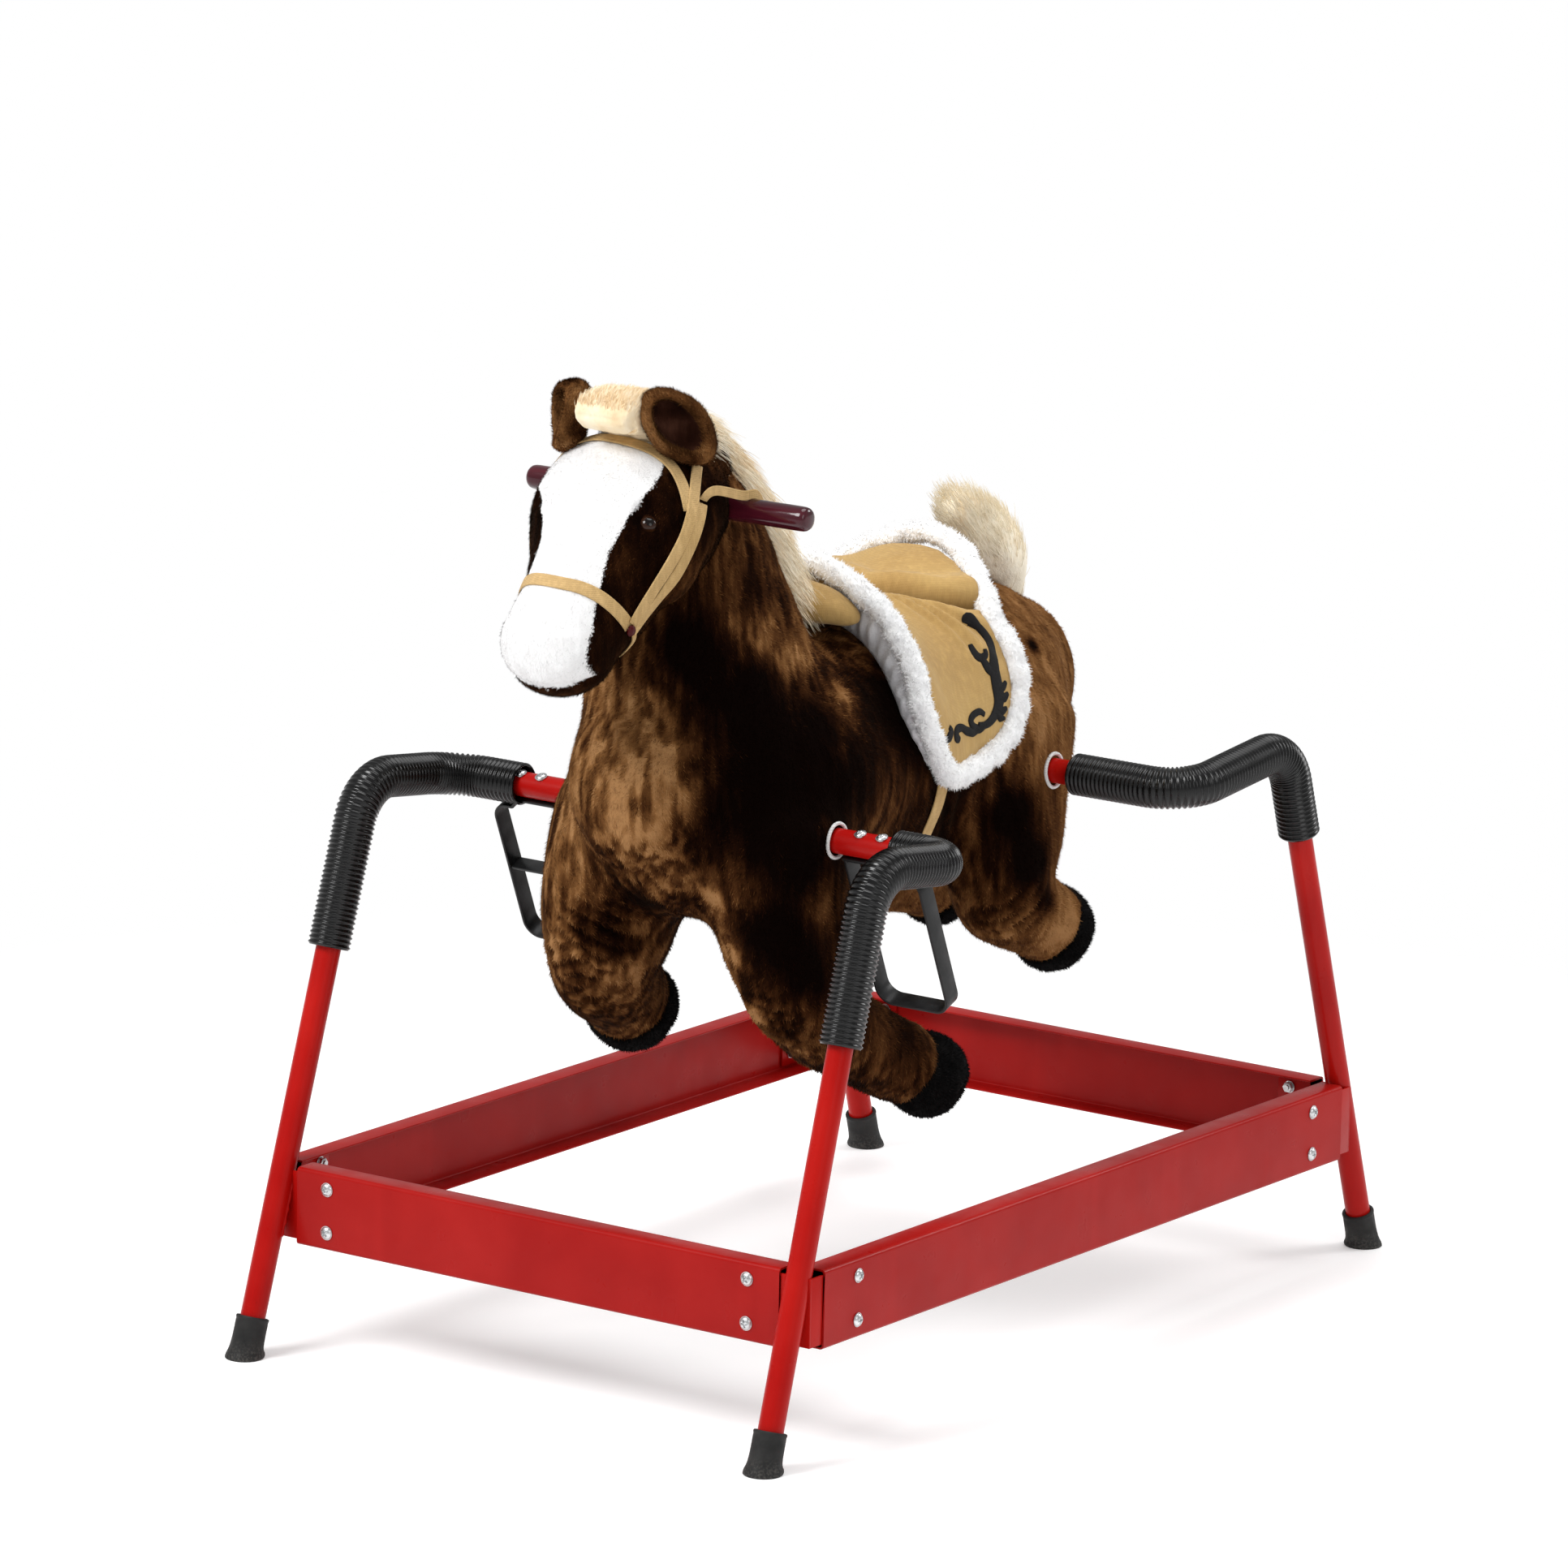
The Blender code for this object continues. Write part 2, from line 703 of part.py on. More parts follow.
def ring_mesh(name, stations, sides, grow=0.0):
    """A closed cage through elliptical stations, with a domed end at each side.

    One level of subdivision pulls a ring in, so the cage is drawn that much larger.
    """
    swell = 1 / (0.75 + 0.25 * math.cos(2 * math.pi / sides))
    centres = [Vector(s[:3]) for s in stations]
    bm = bmesh.new()
    rings = []
    poles = []
    last = len(stations) - 1
    for i, station in enumerate(stations):
        tangent = (centres[min(i + 1, last)] - centres[max(i - 1, 0)]).normalized()
        side = (Vector((1, 0, 0)) - tangent * tangent.x).normalized()
        depth = tangent.cross(side)
        ring = []
        for k in range(sides):
            angle = 2 * math.pi * (k + 0.5) / sides
            across = side * math.cos(angle) * (station[3] + grow)
            along = depth * math.sin(angle) * (station[4] + grow)
            ring.append(bm.verts.new(centres[i] + (across + along) * swell))
        rings.append(ring)
        if i in (0, last):
            out = -tangent if i == 0 else tangent
            reach = DOME * min(station[3], station[4]) + grow * 2
            poles.append(bm.verts.new(centres[i] + out * reach))
    for lower, upper in zip(rings, rings[1:]):
        for k in range(sides):
            j = (k + 1) % sides
            bm.faces.new((lower[k], lower[j], upper[j], upper[k]))
    for pole, ring in zip(poles, (rings[0], rings[-1])):
        for k in range(sides):
            bm.faces.new((ring[k], ring[(k + 1) % sides], pole))
    return finish_mesh(name, bm)


def soften(obj):
    """Round a cage off, and split its faces the same way on a piece and on its cutter."""
    step = obj.modifiers.new("stuffed", "SUBSURF")
    step.levels = 1
    step.render_levels = 1
    split = obj.modifiers.new("split", "TRIANGULATE")
    split.quad_method = "FIXED"


def add_stuffed(name, stations, sides, mat):
    obj = add_object(name, ring_mesh(name, stations, sides), mat)
    soften(obj)
    return obj


def stuffed_cutter(name, stations, sides, grow=PLUSH_GAP):
    obj = add_cutter(name, ring_mesh(name, stations, sides, grow))
    soften(obj)
    return obj


def rod_cutter(name, start, end, radius):
    return add_cutter(name, rod_mesh(name, start, end, radius))


def frame_rods(grow):
    """The rods of the frame inside the horse, as (name, start, end, radius)."""
    sleeve_r = TUBE_R + TURNING_GAP + SLEEVE_WALL + grow
    eye_r = HANDLE_R + GAP + SLEEVE_WALL + grow
    half = SLEEVE_HALF + grow
    return (
        ("front_bar", (-BAR_END_X, FRONT_BAR_Y, BAR_Z), (BAR_END_X, FRONT_BAR_Y, BAR_Z),
         TUBE_R + grow),
        ("spine", (0, FRONT_BAR_Y, BAR_Z), (0, REAR_BAR_Y, BAR_Z), SPINE_R + grow),
        ("rear_sleeve", (-half, REAR_BAR_Y, BAR_Z), (half, REAR_BAR_Y, BAR_Z), sleeve_r),
        ("neck_post", (0, FRONT_BAR_Y, BAR_Z), (0, HANDLE_Y, HANDLE_Z), POST_R + grow),
        ("handle_sleeve", (-half, HANDLE_Y, HANDLE_Z), (half, HANDLE_Y, HANDLE_Z), eye_r),
    )


def stirrup_bolt_axis():
    """Direction of the stirrup's bolts, from the strip up through the crossbar."""
    return Vector((0, -math.sin(STIRRUP_LEAN), math.cos(STIRRUP_LEAN)))


def make_horse_frame():
    """Front crossbar, spine, rear sleeve, neck post and handle sleeve, welded."""
    rods = frame_rods(0.0)
    name, start, end, radius = rods[0]
    frame = add_object("horse_frame", rod_mesh("horse_frame", start, end, radius), RED)
    for name, start, end, radius in rods[1:]:
        boolean(frame, rod_cutter("weld_" + name, start, end, radius), "UNION")
    reach = SLEEVE_HALF + CUT_PAST
    bore = rod_cutter("rear_sleeve_bore", (-reach, REAR_BAR_Y, BAR_Z),
                      (reach, REAR_BAR_Y, BAR_Z), TUBE_R + TURNING_GAP)
    boolean(frame, bore)
    bore = rod_cutter("handle_sleeve_bore", (-reach, HANDLE_Y, HANDLE_Z),
                      (reach, HANDLE_Y, HANDLE_Z), HANDLE_R + GAP)
    boolean(frame, bore)
    rods = []
    up = stirrup_bolt_axis() * (TUBE_R + CUT_PAST)
    for sx in (-1, 1):
        for x in STIRRUP_BOLTS_X:
            centre = Vector((x * sx, FRONT_BAR_Y, BAR_Z))
            hole_r = STIRRUP_BOLT_R + GAP
            rods.append(rod_mesh("hole", centre - up, centre + up, hole_r, BOLT_SIDES))
    boolean(frame, add_cutter("stirrup_bolt_holes", join_meshes("stirrup_holes", rods)))
    move_origin(frame, (0, REAR_BAR_Y, BAR_Z))
    return frame


def make_rear_crossbar():
    bar = add_object(
        "rear_crossbar",
        rod_mesh("rear_crossbar", (-BAR_END_X, REAR_BAR_Y, BAR_Z),
                 (BAR_END_X, REAR_BAR_Y, BAR_Z), TUBE_R),
        RED,
    )
    move_origin(bar, (0, REAR_BAR_Y, BAR_Z))
    return bar


def make_handlebar():
    mesh = rod_mesh("handlebar", (-HANDLE_HALF, HANDLE_Y, HANDLE_Z),
                    (HANDLE_HALF, HANDLE_Y, HANDLE_Z), HANDLE_R)
    bar = add_object("handlebar", mesh, MAROON)
    edge = bar.modifiers.new("rounded_ends", "BEVEL")
    edge.width = HANDLE_ROUND
    edge.segments = 2
    edge.limit_method = "ANGLE"
    edge.angle_limit = math.radians(60)
    return bar


def strip_mesh(name, line, width, thickness):
    """A flat strip bent in the X-Z plane, its width along Y."""
    bm = bmesh.new()
    sections = []
    last = len(line) - 1
    for i, point in enumerate(line):
        tangent = (line[min(i + 1, last)] - line[max(i - 1, 0)]).normalized()
        if 0 < i < last:
            before = (line[i] - line[i - 1]).normalized()
            half = before.angle(tangent)
            stretch = 1 / math.cos(half)
        else:
            stretch = 1
        across = Vector((-tangent.z, 0, tangent.x)) * (thickness / 2 * stretch)
        wide = Vector((0, width / 2, 0))
        ring = []
        for offset in (across + wide, across - wide, -across - wide, -across + wide):
            ring.append(bm.verts.new(point + offset))
        sections.append(ring)
    for a, b in zip(sections, sections[1:]):
        for k in range(4):
            j = (k + 1) % 4
            bm.faces.new((a[k], a[j], b[j], b[k]))
    bm.faces.new(sections[0])
    bm.faces.new(reversed(sections[-1]))
    return finish_mesh(name, bm)


def make_stirrup(name, sx, cross_strip):
    """A strip bolted under the crossbar and bent into a loop, with or without a cross strip."""
    top = -TUBE_R - GAP - STRIP_T / 2
    under_cover = -COVER_R - COVER_CLEAR - STRIP_T / 2
    inner = STIRRUP_IN_X
    loop = (
        (STIRRUP_TOP_IN, 0, top),
        (STIRRUP_STEP_X - STIRRUP_STEP_R, 0, top),
        (STIRRUP_STEP_X + STIRRUP_STEP_R, 0, under_cover),
        (STIRRUP_OUT_X, 0, under_cover),
        (STIRRUP_OUT_X, 0, -STIRRUP_DROP),
        (inner, 0, -STIRRUP_DROP),
        (inner, 0, top - STRIP_T - GAP),
    )
    radii = (STIRRUP_STEP_R,) * 2 + (STIRRUP_CORNER_R,) * 3
    line = rounded_path(loop, radii, STIRRUP_ARC_STEPS)
    stirrup = add_object(name, strip_mesh(name, line, STRIP_W, STRIP_T), BLACK_STEEL)
    weld = box_mesh("weld", (inner - STRIP_T / 2, -STRIP_W / 2, top - STRIP_T),
                    (inner + STRIP_T / 2, STRIP_W / 2, top))
    boolean(stirrup, add_cutter(name + "_inner_weld", weld), "UNION")
    if cross_strip:
        tread = box_mesh(
            "tread",
            (inner, -STRIP_W / 2 + TREAD_INSET, -STIRRUP_TREAD_DROP - STRIP_T / 2),
            (STIRRUP_OUT_X, STRIP_W / 2 - TREAD_INSET, -STIRRUP_TREAD_DROP + STRIP_T / 2),
        )
        boolean(stirrup, add_cutter(name + "_tread", tread), "UNION")
    head_at = TUBE_R + GAP
    for i, x in enumerate(STIRRUP_BOLTS_X):
        shank_top = head_at + STIRRUP_BOLT_HEAD_H / 2
        shank = rod_mesh("shank", (x, 0, top), (x, 0, shank_top), STIRRUP_BOLT_R, BOLT_SIDES)
        boolean(stirrup, add_cutter(f"{name}_shank_{i}", shank), "UNION")
        head = rod_mesh("head", (x, 0, head_at), (x, 0, head_at + STIRRUP_BOLT_HEAD_H),
                        STIRRUP_BOLT_HEAD_R, BOLT_SIDES)
        boolean(stirrup, add_cutter(f"{name}_head_{i}", head), "UNION")
    lean = Matrix.Rotation(STIRRUP_LEAN, 4, "X")
    place = Matrix.Translation((0, FRONT_BAR_Y, BAR_Z)) @ lean
    pieces = [stirrup] + [step.object for step in stirrup.modifiers]
    for piece in pieces:
        piece.data.transform(Matrix.Scale(sx, 4, (1, 0, 0)))
        if sx < 0:
            piece.data.flip_normals()
        piece.data.transform(place)
    move_origin(stirrup, (0, FRONT_BAR_Y, BAR_Z))
    return stirrup


def body_section(y):
    """Centre height, half width and half depth of the body at y."""
    for a, b in zip(BODY, BODY[1:]):
        if y <= b[1]:
            share = (y - a[1]) / (b[1] - a[1])
            return [a[i] + (b[i] - a[i]) * share for i in (2, 3, 4)]
    return [BODY[-1][i] for i in (2, 3, 4)]


def make_saddle(body_cutter):
    """Padded saddle over the back, cut to its side outline, with its girth strap."""
    stations = []
    for y, pad in SADDLE_PADS:
        z, half_x, half_z = body_section(y)
        stations.append((0, y, z + pad / 2, half_x + SADDLE_SIDE_PAD, half_z + pad / 2))
    saddle = add_stuffed("saddle", stations, SIDES_OF_BODY, TAN)
    bm = bmesh.new()
    rows = []
    for x in (-CUT_WIDE, CUT_WIDE):
        rows.append([bm.verts.new((x, y, z)) for y, z in SADDLE_OUTLINE])
    bm.faces.new(rows[0])
    bm.faces.new(reversed(rows[1]))
    count = len(SADDLE_OUTLINE)
    for i in range(count):
        j = (i + 1) % count
        bm.faces.new((rows[0][i], rows[1][i], rows[1][j], rows[0][j]))
    outline = add_cutter("saddle_outline", finish_mesh("saddle_outline", bm))
    boolean(saddle, outline, "INTERSECT")
    girth = stuffed_cutter("girth_outside", BODY, SIDES_OF_BODY, PLUSH_GAP + STRAP_T)
    slab = box_mesh("girth_slab", (-CUT_WIDE, GIRTH_Y - GIRTH_W / 2, GIRTH_TOP - CUT_WIDE),
                    (CUT_WIDE, GIRTH_Y + GIRTH_W / 2, GIRTH_TOP))
    boolean(girth, add_cutter("girth_slab", slab), "INTERSECT")
    boolean(saddle, girth, "UNION")
    boolean(saddle, body_cutter)
    return saddle


def turned_box(name, centre, half, tilt):
    """A box turned about X by the head's tilt, its second side along the head's axis."""
    mesh = box_mesh(name, [-h for h in half], half)
    mesh.transform(Matrix.Translation(centre) @ Matrix.Rotation(tilt, 4, "X"))
    return mesh


def make_bridle(cutters):
    """Noseband and crown band round the head, joined by a cheek strap on each side."""
    slabs = []
    band = (CUT_WIDE, BAND_W / 2, CUT_WIDE)
    for i, (y, z) in enumerate((NOSEBAND_AT, CROWN_AT)):
        slabs.append(turned_box(f"band_{i}", (0, y, z), band, HEAD_AXIS_TILT))
    nose = Vector((0, *NOSEBAND_AT))
    crown = Vector((0, *CROWN_AT))
    half = ((nose - crown).length) / 2
    middle = (nose + crown) / 2 - Vector((0, 0, CHEEK_DROP))
    cheek = turned_box("cheek", middle, (CUT_WIDE, half, BAND_W / 2), HEAD_AXIS_TILT)
    bridle = add_object("bridle", slabs[0], TAN)
    boolean(bridle, add_cutter("bridle_crown", slabs[1]), "UNION")
    boolean(bridle, add_cutter("bridle_cheek", cheek), "UNION")
    outside = stuffed_cutter("bridle_outside", HEAD, SIDES_OF_BODY, PLUSH_GAP + STRAP_T)
    boolean(bridle, outside, "INTERSECT")
    for cutter in cutters:
        boolean(bridle, cutter)
    return bridle


def mirrored(stations):
    return tuple((-s[0], *s[1:]) for s in stations)


def make_hoof(name, stations, leg_cutter):
    """A ball on the end of a leg, cut where the leg goes in."""
    end = Vector(stations[-1][:3])
    ahead = (end - Vector(stations[-2][:3])).normalized()
    bm = bmesh.new()
    bmesh.ops.create_uvsphere(bm, u_segments=HOOF_SIDES, v_segments=HOOF_SIDES - 3, radius=HOOF_R)
    centre = end + ahead * (HOOF_R - HOOF_OVERLAP)
    bmesh.ops.translate(bm, vec=centre, verts=bm.verts)
    hoof = add_object(name, finish_mesh(name, bm), HOOF_BLACK)
    boolean(hoof, leg_cutter)
    return hoof


def make_eye(name, sx, head_cutter):
    bm = bmesh.new()
    bmesh.ops.create_uvsphere(bm, u_segments=EYE_SIDES, v_segments=EYE_SIDES - 2, radius=EYE_R)
    bmesh.ops.translate(bm, vec=(EYE[0] * sx, EYE[1], EYE[2]), verts=bm.verts)
    eye = add_object(name, finish_mesh(name, bm), GLASS)
    boolean(eye, head_cutter)
    return eye


def make_horse():
    """The stuffed pieces, each cut by the larger ones that it is sewn to."""
    rods = {name: rod_cutter("room_for_" + name, start, end, radius)
            for name, start, end, radius in frame_rods(PLUSH_GAP)}
    rear_bar = rod_cutter("room_for_rear_bar", (-BAR_END_X, REAR_BAR_Y, BAR_Z),
                          (BAR_END_X, REAR_BAR_Y, BAR_Z), TUBE_R + TURNING_GAP)
    handle = rod_cutter("room_for_handle", (-HANDLE_HALF, HANDLE_Y, HANDLE_Z),
                        (HANDLE_HALF, HANDLE_Y, HANDLE_Z), HANDLE_R + PLUSH_GAP)
    body_cutter = stuffed_cutter("body_outside", BODY, SIDES_OF_BODY)
    neck_cutter = stuffed_cutter("neck_outside", NECK, SIDES_OF_BODY)
    head_cutter = stuffed_cutter("head_outside", HEAD, SIDES_OF_BODY)

    torso = add_stuffed("torso", BODY, SIDES_OF_BODY, BROWN)
    for name in ("front_bar", "spine", "rear_sleeve", "neck_post"):
        boolean(torso, rods[name])
    boolean(torso, rear_bar)

    neck = add_stuffed("neck", NECK, SIDES_OF_BODY, BROWN)
    boolean(neck, body_cutter)
    boolean(neck, head_cutter)
    for name in ("neck_post", "handle_sleeve"):
        boolean(neck, rods[name])
    boolean(neck, handle)

    head = add_stuffed("head", HEAD, SIDES_OF_BODY, BROWN)
    for name in ("neck_post", "handle_sleeve"):
        boolean(head, rods[name])
    boolean(head, handle)

    ear_cutters = []
    for name, stations in (("left_ear", EAR), ("right_ear", mirrored(EAR))):
        ear = add_stuffed(name, stations, SIDES_OF_TUFT, BROWN)
        boolean(ear, head_cutter)
        ear_cutters.append(stuffed_cutter(name + "_outside", stations, SIDES_OF_TUFT))
    make_eye("left_eye", 1, head_cutter)
    make_eye("right_eye", -1, head_cutter)

    legs = (
        ("front_left", FRONT_LEFT_LEG),
        ("front_right", FRONT_RIGHT_LEG),
        ("rear_left", REAR_LEFT_LEG),
        ("rear_right", REAR_RIGHT_LEG),
    )
    for name, stations in legs:
        leg = add_stuffed(name + "_horse_leg", stations, SIDES_OF_LIMB, BROWN)
        boolean(leg, body_cutter)
        boolean(leg, rods["front_bar"] if name.startswith("front") else rear_bar)
        leg_cutter = stuffed_cutter(name + "_leg_outside", stations, SIDES_OF_LIMB)
        make_hoof(name + "_hoof", stations, leg_cutter)

    mane = add_stuffed("mane", MANE, SIDES_OF_TUFT, CREAM)
    for cutter in [neck_cutter, head_cutter, body_cutter] + ear_cutters:
        boolean(mane, cutter)
    mane_cutter = stuffed_cutter("mane_outside", MANE, SIDES_OF_TUFT)
    tail = add_stuffed("tail", TAIL, SIDES_OF_TUFT, CREAM)
    boolean(tail, body_cutter)

    saddle = make_saddle(body_cutter)
    boolean(saddle, neck_cutter)
    boolean(saddle, mane_cutter)
    make_bridle([head_cutter, neck_cutter, mane_cutter] + ear_cutters)


def make_base():
    for corner, sx, sy in CORNERS:
        make_leg(corner + "_frame_leg", sx, sy)
        make_foot_cap(corner + "_foot_cap", sx, sy)
        for number, (point, axis) in enumerate(bolt_places(sx, sy), start=1):
            make_corner_bolt(f"{corner}_bolt_{number}", point, axis)
        make_cover(corner + "_spring_cover", sx, sy)
        make_spring(corner + "_spring", sx, sy)
    make_rail("front_rail", END_RAIL_HALF, END_RAIL_FACE, True, -1)
    make_rail("rear_rail", END_RAIL_HALF, END_RAIL_FACE, True, 1)
    make_rail("left_side_rail", SIDE_RAIL_HALF, SIDE_RAIL_FACE, False, 1)
    make_rail("right_side_rail", SIDE_RAIL_HALF, SIDE_RAIL_FACE, False, -1)


make_base()
make_horse_frame()
make_rear_crossbar()
make_handlebar()
make_stirrup("left_stirrup", 1, cross_strip=False)
make_stirrup("right_stirrup", -1, cross_strip=True)
make_horse()
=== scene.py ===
import math

import bmesh
import bpy
import numpy as np
from mathutils import Matrix, Vector
from mathutils.bvhtree import BVHTree


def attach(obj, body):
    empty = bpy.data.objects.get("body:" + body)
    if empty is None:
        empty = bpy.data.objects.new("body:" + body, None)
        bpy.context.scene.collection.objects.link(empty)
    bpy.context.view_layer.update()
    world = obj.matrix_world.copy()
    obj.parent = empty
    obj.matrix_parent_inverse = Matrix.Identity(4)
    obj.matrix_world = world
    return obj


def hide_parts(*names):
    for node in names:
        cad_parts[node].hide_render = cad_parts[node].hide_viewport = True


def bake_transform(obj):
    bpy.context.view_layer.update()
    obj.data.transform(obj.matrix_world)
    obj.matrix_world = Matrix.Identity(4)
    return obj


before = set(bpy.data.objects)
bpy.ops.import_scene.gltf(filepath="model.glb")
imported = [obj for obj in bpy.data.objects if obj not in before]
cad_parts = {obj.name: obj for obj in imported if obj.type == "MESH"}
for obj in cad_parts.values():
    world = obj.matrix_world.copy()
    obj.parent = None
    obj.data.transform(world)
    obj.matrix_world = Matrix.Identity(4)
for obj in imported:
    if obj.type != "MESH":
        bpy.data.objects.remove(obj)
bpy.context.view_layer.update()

scene = bpy.context.scene
scene.view_settings.view_transform = "Standard"


# Camera: the photograph's angle, its frame taken as 1932 by 1932
IMAGE = 1932.0
CAM_AZ = 0.620763
CAM_EL = 0.225267
CAM_DIST = 9.898
CAM_F = 12322.18
CAM_CX = 875.07
CAM_CY = 1012.15
CAM_ROLL = 0.0201533
CAM_TARGET = Vector((-0.1038, -0.0555, 0.4844))

CAM_BACK = Vector((math.sin(CAM_AZ) * math.cos(CAM_EL), -math.cos(CAM_AZ) * math.cos(CAM_EL),
                   math.sin(CAM_EL)))
_right = Vector((math.cos(CAM_AZ), math.sin(CAM_AZ), 0))
_up = _right.cross(-CAM_BACK)
CAM_RIGHT = _right * math.cos(CAM_ROLL) + _up * math.sin(CAM_ROLL)
CAM_UP = _up * math.cos(CAM_ROLL) - _right * math.sin(CAM_ROLL)
CAM_POS = CAM_TARGET + CAM_BACK * CAM_DIST


def make_camera():
    data = bpy.data.cameras.new("camera")
    cam = bpy.data.objects.new("camera", data)
    scene.collection.objects.link(cam)
    turn = Matrix((
        (CAM_RIGHT.x, CAM_UP.x, CAM_BACK.x),
        (CAM_RIGHT.y, CAM_UP.y, CAM_BACK.y),
        (CAM_RIGHT.z, CAM_UP.z, CAM_BACK.z),
    )).to_4x4()
    turn.translation = CAM_POS
    cam.matrix_world = turn
    data.sensor_width = 36
    data.lens = CAM_F / IMAGE * 36
    data.shift_x = (IMAGE / 2 - CAM_CX) / IMAGE
    data.shift_y = (CAM_CY - IMAGE / 2) / IMAGE
    data.clip_end = 60
    scene.camera = cam


make_camera()


def pixel_ray(u, v):
    """Direction from the camera through a point of the photograph."""
    way = CAM_RIGHT * ((u - CAM_CX) / CAM_F) + CAM_UP * ((CAM_CY - v) / CAM_F) - CAM_BACK
    return way.normalized()


# Sizes shared with the CAD solids
TUBE_R = 0.0125
FOOT_X = 0.3105
FOOT_Y = 0.5285
BEND_X, BEND_Y, BEND_Z, BEND_R = 0.303, 0.360, 0.551, 0.050
ARM_PAST_BEND = 0.020
RAIL_LOW, RAIL_HIGH, RAIL_T, RAIL_FLANGE, RAIL_EDGE_R = 0.107, 0.185, 0.002, 0.025, 0.004
END_RAIL_FACE, END_RAIL_HALF = 0.477, 0.288
SIDE_RAIL_FACE, SIDE_RAIL_HALF = 0.325, 0.4545
BRACKET_T = 0.0025
BOLT_IN_END_RAIL, BOLT_IN_SIDE_RAIL = 0.037, 0.055
BOLT_HEIGHTS = (0.125, 0.1685)
FRONT_BAR_Y, REAR_BAR_Y, BAR_Z, ELBOW_R = -0.215, 0.180, 0.533, 0.045
BAR_END_X = BEND_X - ELBOW_R - 0.004
SPRING_WIRE_R, SPRING_R, SPRING_GRIP = 0.00125, 0.0150, 0.018
COVER_R, COVER_VALLEY_R, COVER_BORE_R = 0.0210, 0.0194, 0.0172
FRONT_COVER_LOW, REAR_COVER_LOW = 0.390, 0.456
FRONT_COVER_END_X, REAR_COVER_END_X = 0.232, 0.172
STRIP_W, STRIP_T, STIRRUP_LEAN = 0.020, 0.003, math.radians(23)
STIRRUP_TOP_IN, STIRRUP_STEP_X, STIRRUP_OUT_X = 0.170, 0.226, 0.254
STIRRUP_DROP, STIRRUP_IN_X, STIRRUP_TREAD_DROP = 0.180, 0.172, 0.100
STIRRUP_BOLTS_X = (0.191, 0.216)
HANDLE_HALF, HANDLE_Y, HANDLE_Z = 0.165, -0.279, 0.857
CORNERS = (("front_left", 1, -1), ("front_right", -1, -1), ("rear_left", 1, 1),
           ("rear_right", -1, 1))

BODY = (
    (0, -0.318, 0.588, 0.078, 0.088),
    (0, -0.262, 0.578, 0.125, 0.134),
    (0, -0.180, 0.572, 0.159, 0.142),
    (0, -0.080, 0.566, 0.142, 0.138),
    (0, 0.040, 0.566, 0.134, 0.136),
    (0, 0.165, 0.576, 0.132, 0.135),
    (0, 0.255, 0.586, 0.113, 0.116),
    (0, 0.314, 0.592, 0.074, 0.080),
)
NECK = (
    (0, -0.205, 0.600, 0.120, 0.125),
    (0, -0.225, 0.680, 0.110, 0.118),
    (0, -0.242, 0.750, 0.094, 0.101),
    (0, -0.259, 0.810, 0.082, 0.086),
    (0, -0.282, 0.860, 0.066, 0.068),
)
HEAD = (
    (0, -0.268, 0.890, 0.058, 0.056),
    (0, -0.312, 0.858, 0.092, 0.086),
    (0, -0.355, 0.824, 0.091, 0.084),
    (0, -0.395, 0.790, 0.070, 0.066),
    (0, -0.425, 0.766, 0.058, 0.054),
    (0, -0.452, 0.744, 0.057, 0.052),
    (0, -0.472, 0.728, 0.044, 0.040),
)
FRONT_LEFT_LEG = (
    (0.086, -0.222, 0.530, 0.078, 0.084),
    (0.096, -0.216, 0.455, 0.064, 0.074),
    (0.106, -0.204, 0.388, 0.055, 0.061),
    (0.113, -0.176, 0.345, 0.049, 0.052),
    (0.122, -0.122, 0.311, 0.044, 0.044),
    (0.134, -0.056, 0.277, 0.040, 0.041),
)
FRONT_RIGHT_LEG = (
    (-0.080, -0.222, 0.530, 0.068, 0.080),
    (-0.090, -0.230, 0.460, 0.067, 0.087),
    (-0.095, -0.233, 0.402, 0.060, 0.075),
    (-0.105, -0.226, 0.366, 0.051, 0.055),
    (-0.115, -0.187, 0.337, 0.043, 0.044),
)
REAR_LEFT_LEG = (
    (0.072, 0.178, 0.575, 0.072, 0.105),
    (0.090, 0.162, 0.505, 0.062, 0.092),
    (0.103, 0.149, 0.442, 0.053, 0.081),
    (0.108, 0.149, 0.410, 0.047, 0.058),
    (0.110, 0.174, 0.391, 0.043, 0.046),
    (0.111, 0.199, 0.377, 0.041, 0.042),
)
REAR_RIGHT_LEG = (
    (-0.072, 0.185, 0.570, 0.072, 0.105),
    (-0.090, 0.190, 0.495, 0.062, 0.088),
    (-0.102, 0.205, 0.430, 0.052, 0.064),
    (-0.108, 0.238, 0.395, 0.046, 0.050),
    (-0.110, 0.280, 0.374, 0.042, 0.044),
    (-0.111, 0.318, 0.360, 0.039, 0.040),
)
MANE = (
    (0, -0.374, 0.936, 0.026, 0.018),
    (0, -0.338, 0.944, 0.034, 0.022),
    (0, -0.285, 0.928, 0.033, 0.024),
    (0, -0.232, 0.884, 0.033, 0.026),
    (0, -0.186, 0.838, 0.033, 0.027),
    (0, -0.145, 0.778, 0.033, 0.027),
    (0, -0.112, 0.735, 0.026, 0.022),
)
TAIL = (
    (0, 0.300, 0.650, 0.018, 0.020),
    (0, 0.298, 0.698, 0.028, 0.030),
    (0, 0.272, 0.732, 0.038, 0.038),
    (0, 0.239, 0.757, 0.036, 0.036),
    (0, 0.212, 0.772, 0.024, 0.024),
)
HOOF_R, HOOF_OVERLAP = 0.042, 0.012
LEGS = (
    ("front_left", FRONT_LEFT_LEG),
    ("front_right", FRONT_RIGHT_LEG),
    ("rear_left", REAR_LEFT_LEG),
    ("rear_right", REAR_RIGHT_LEG),
)


# Noise on arrays of points, the same at every run

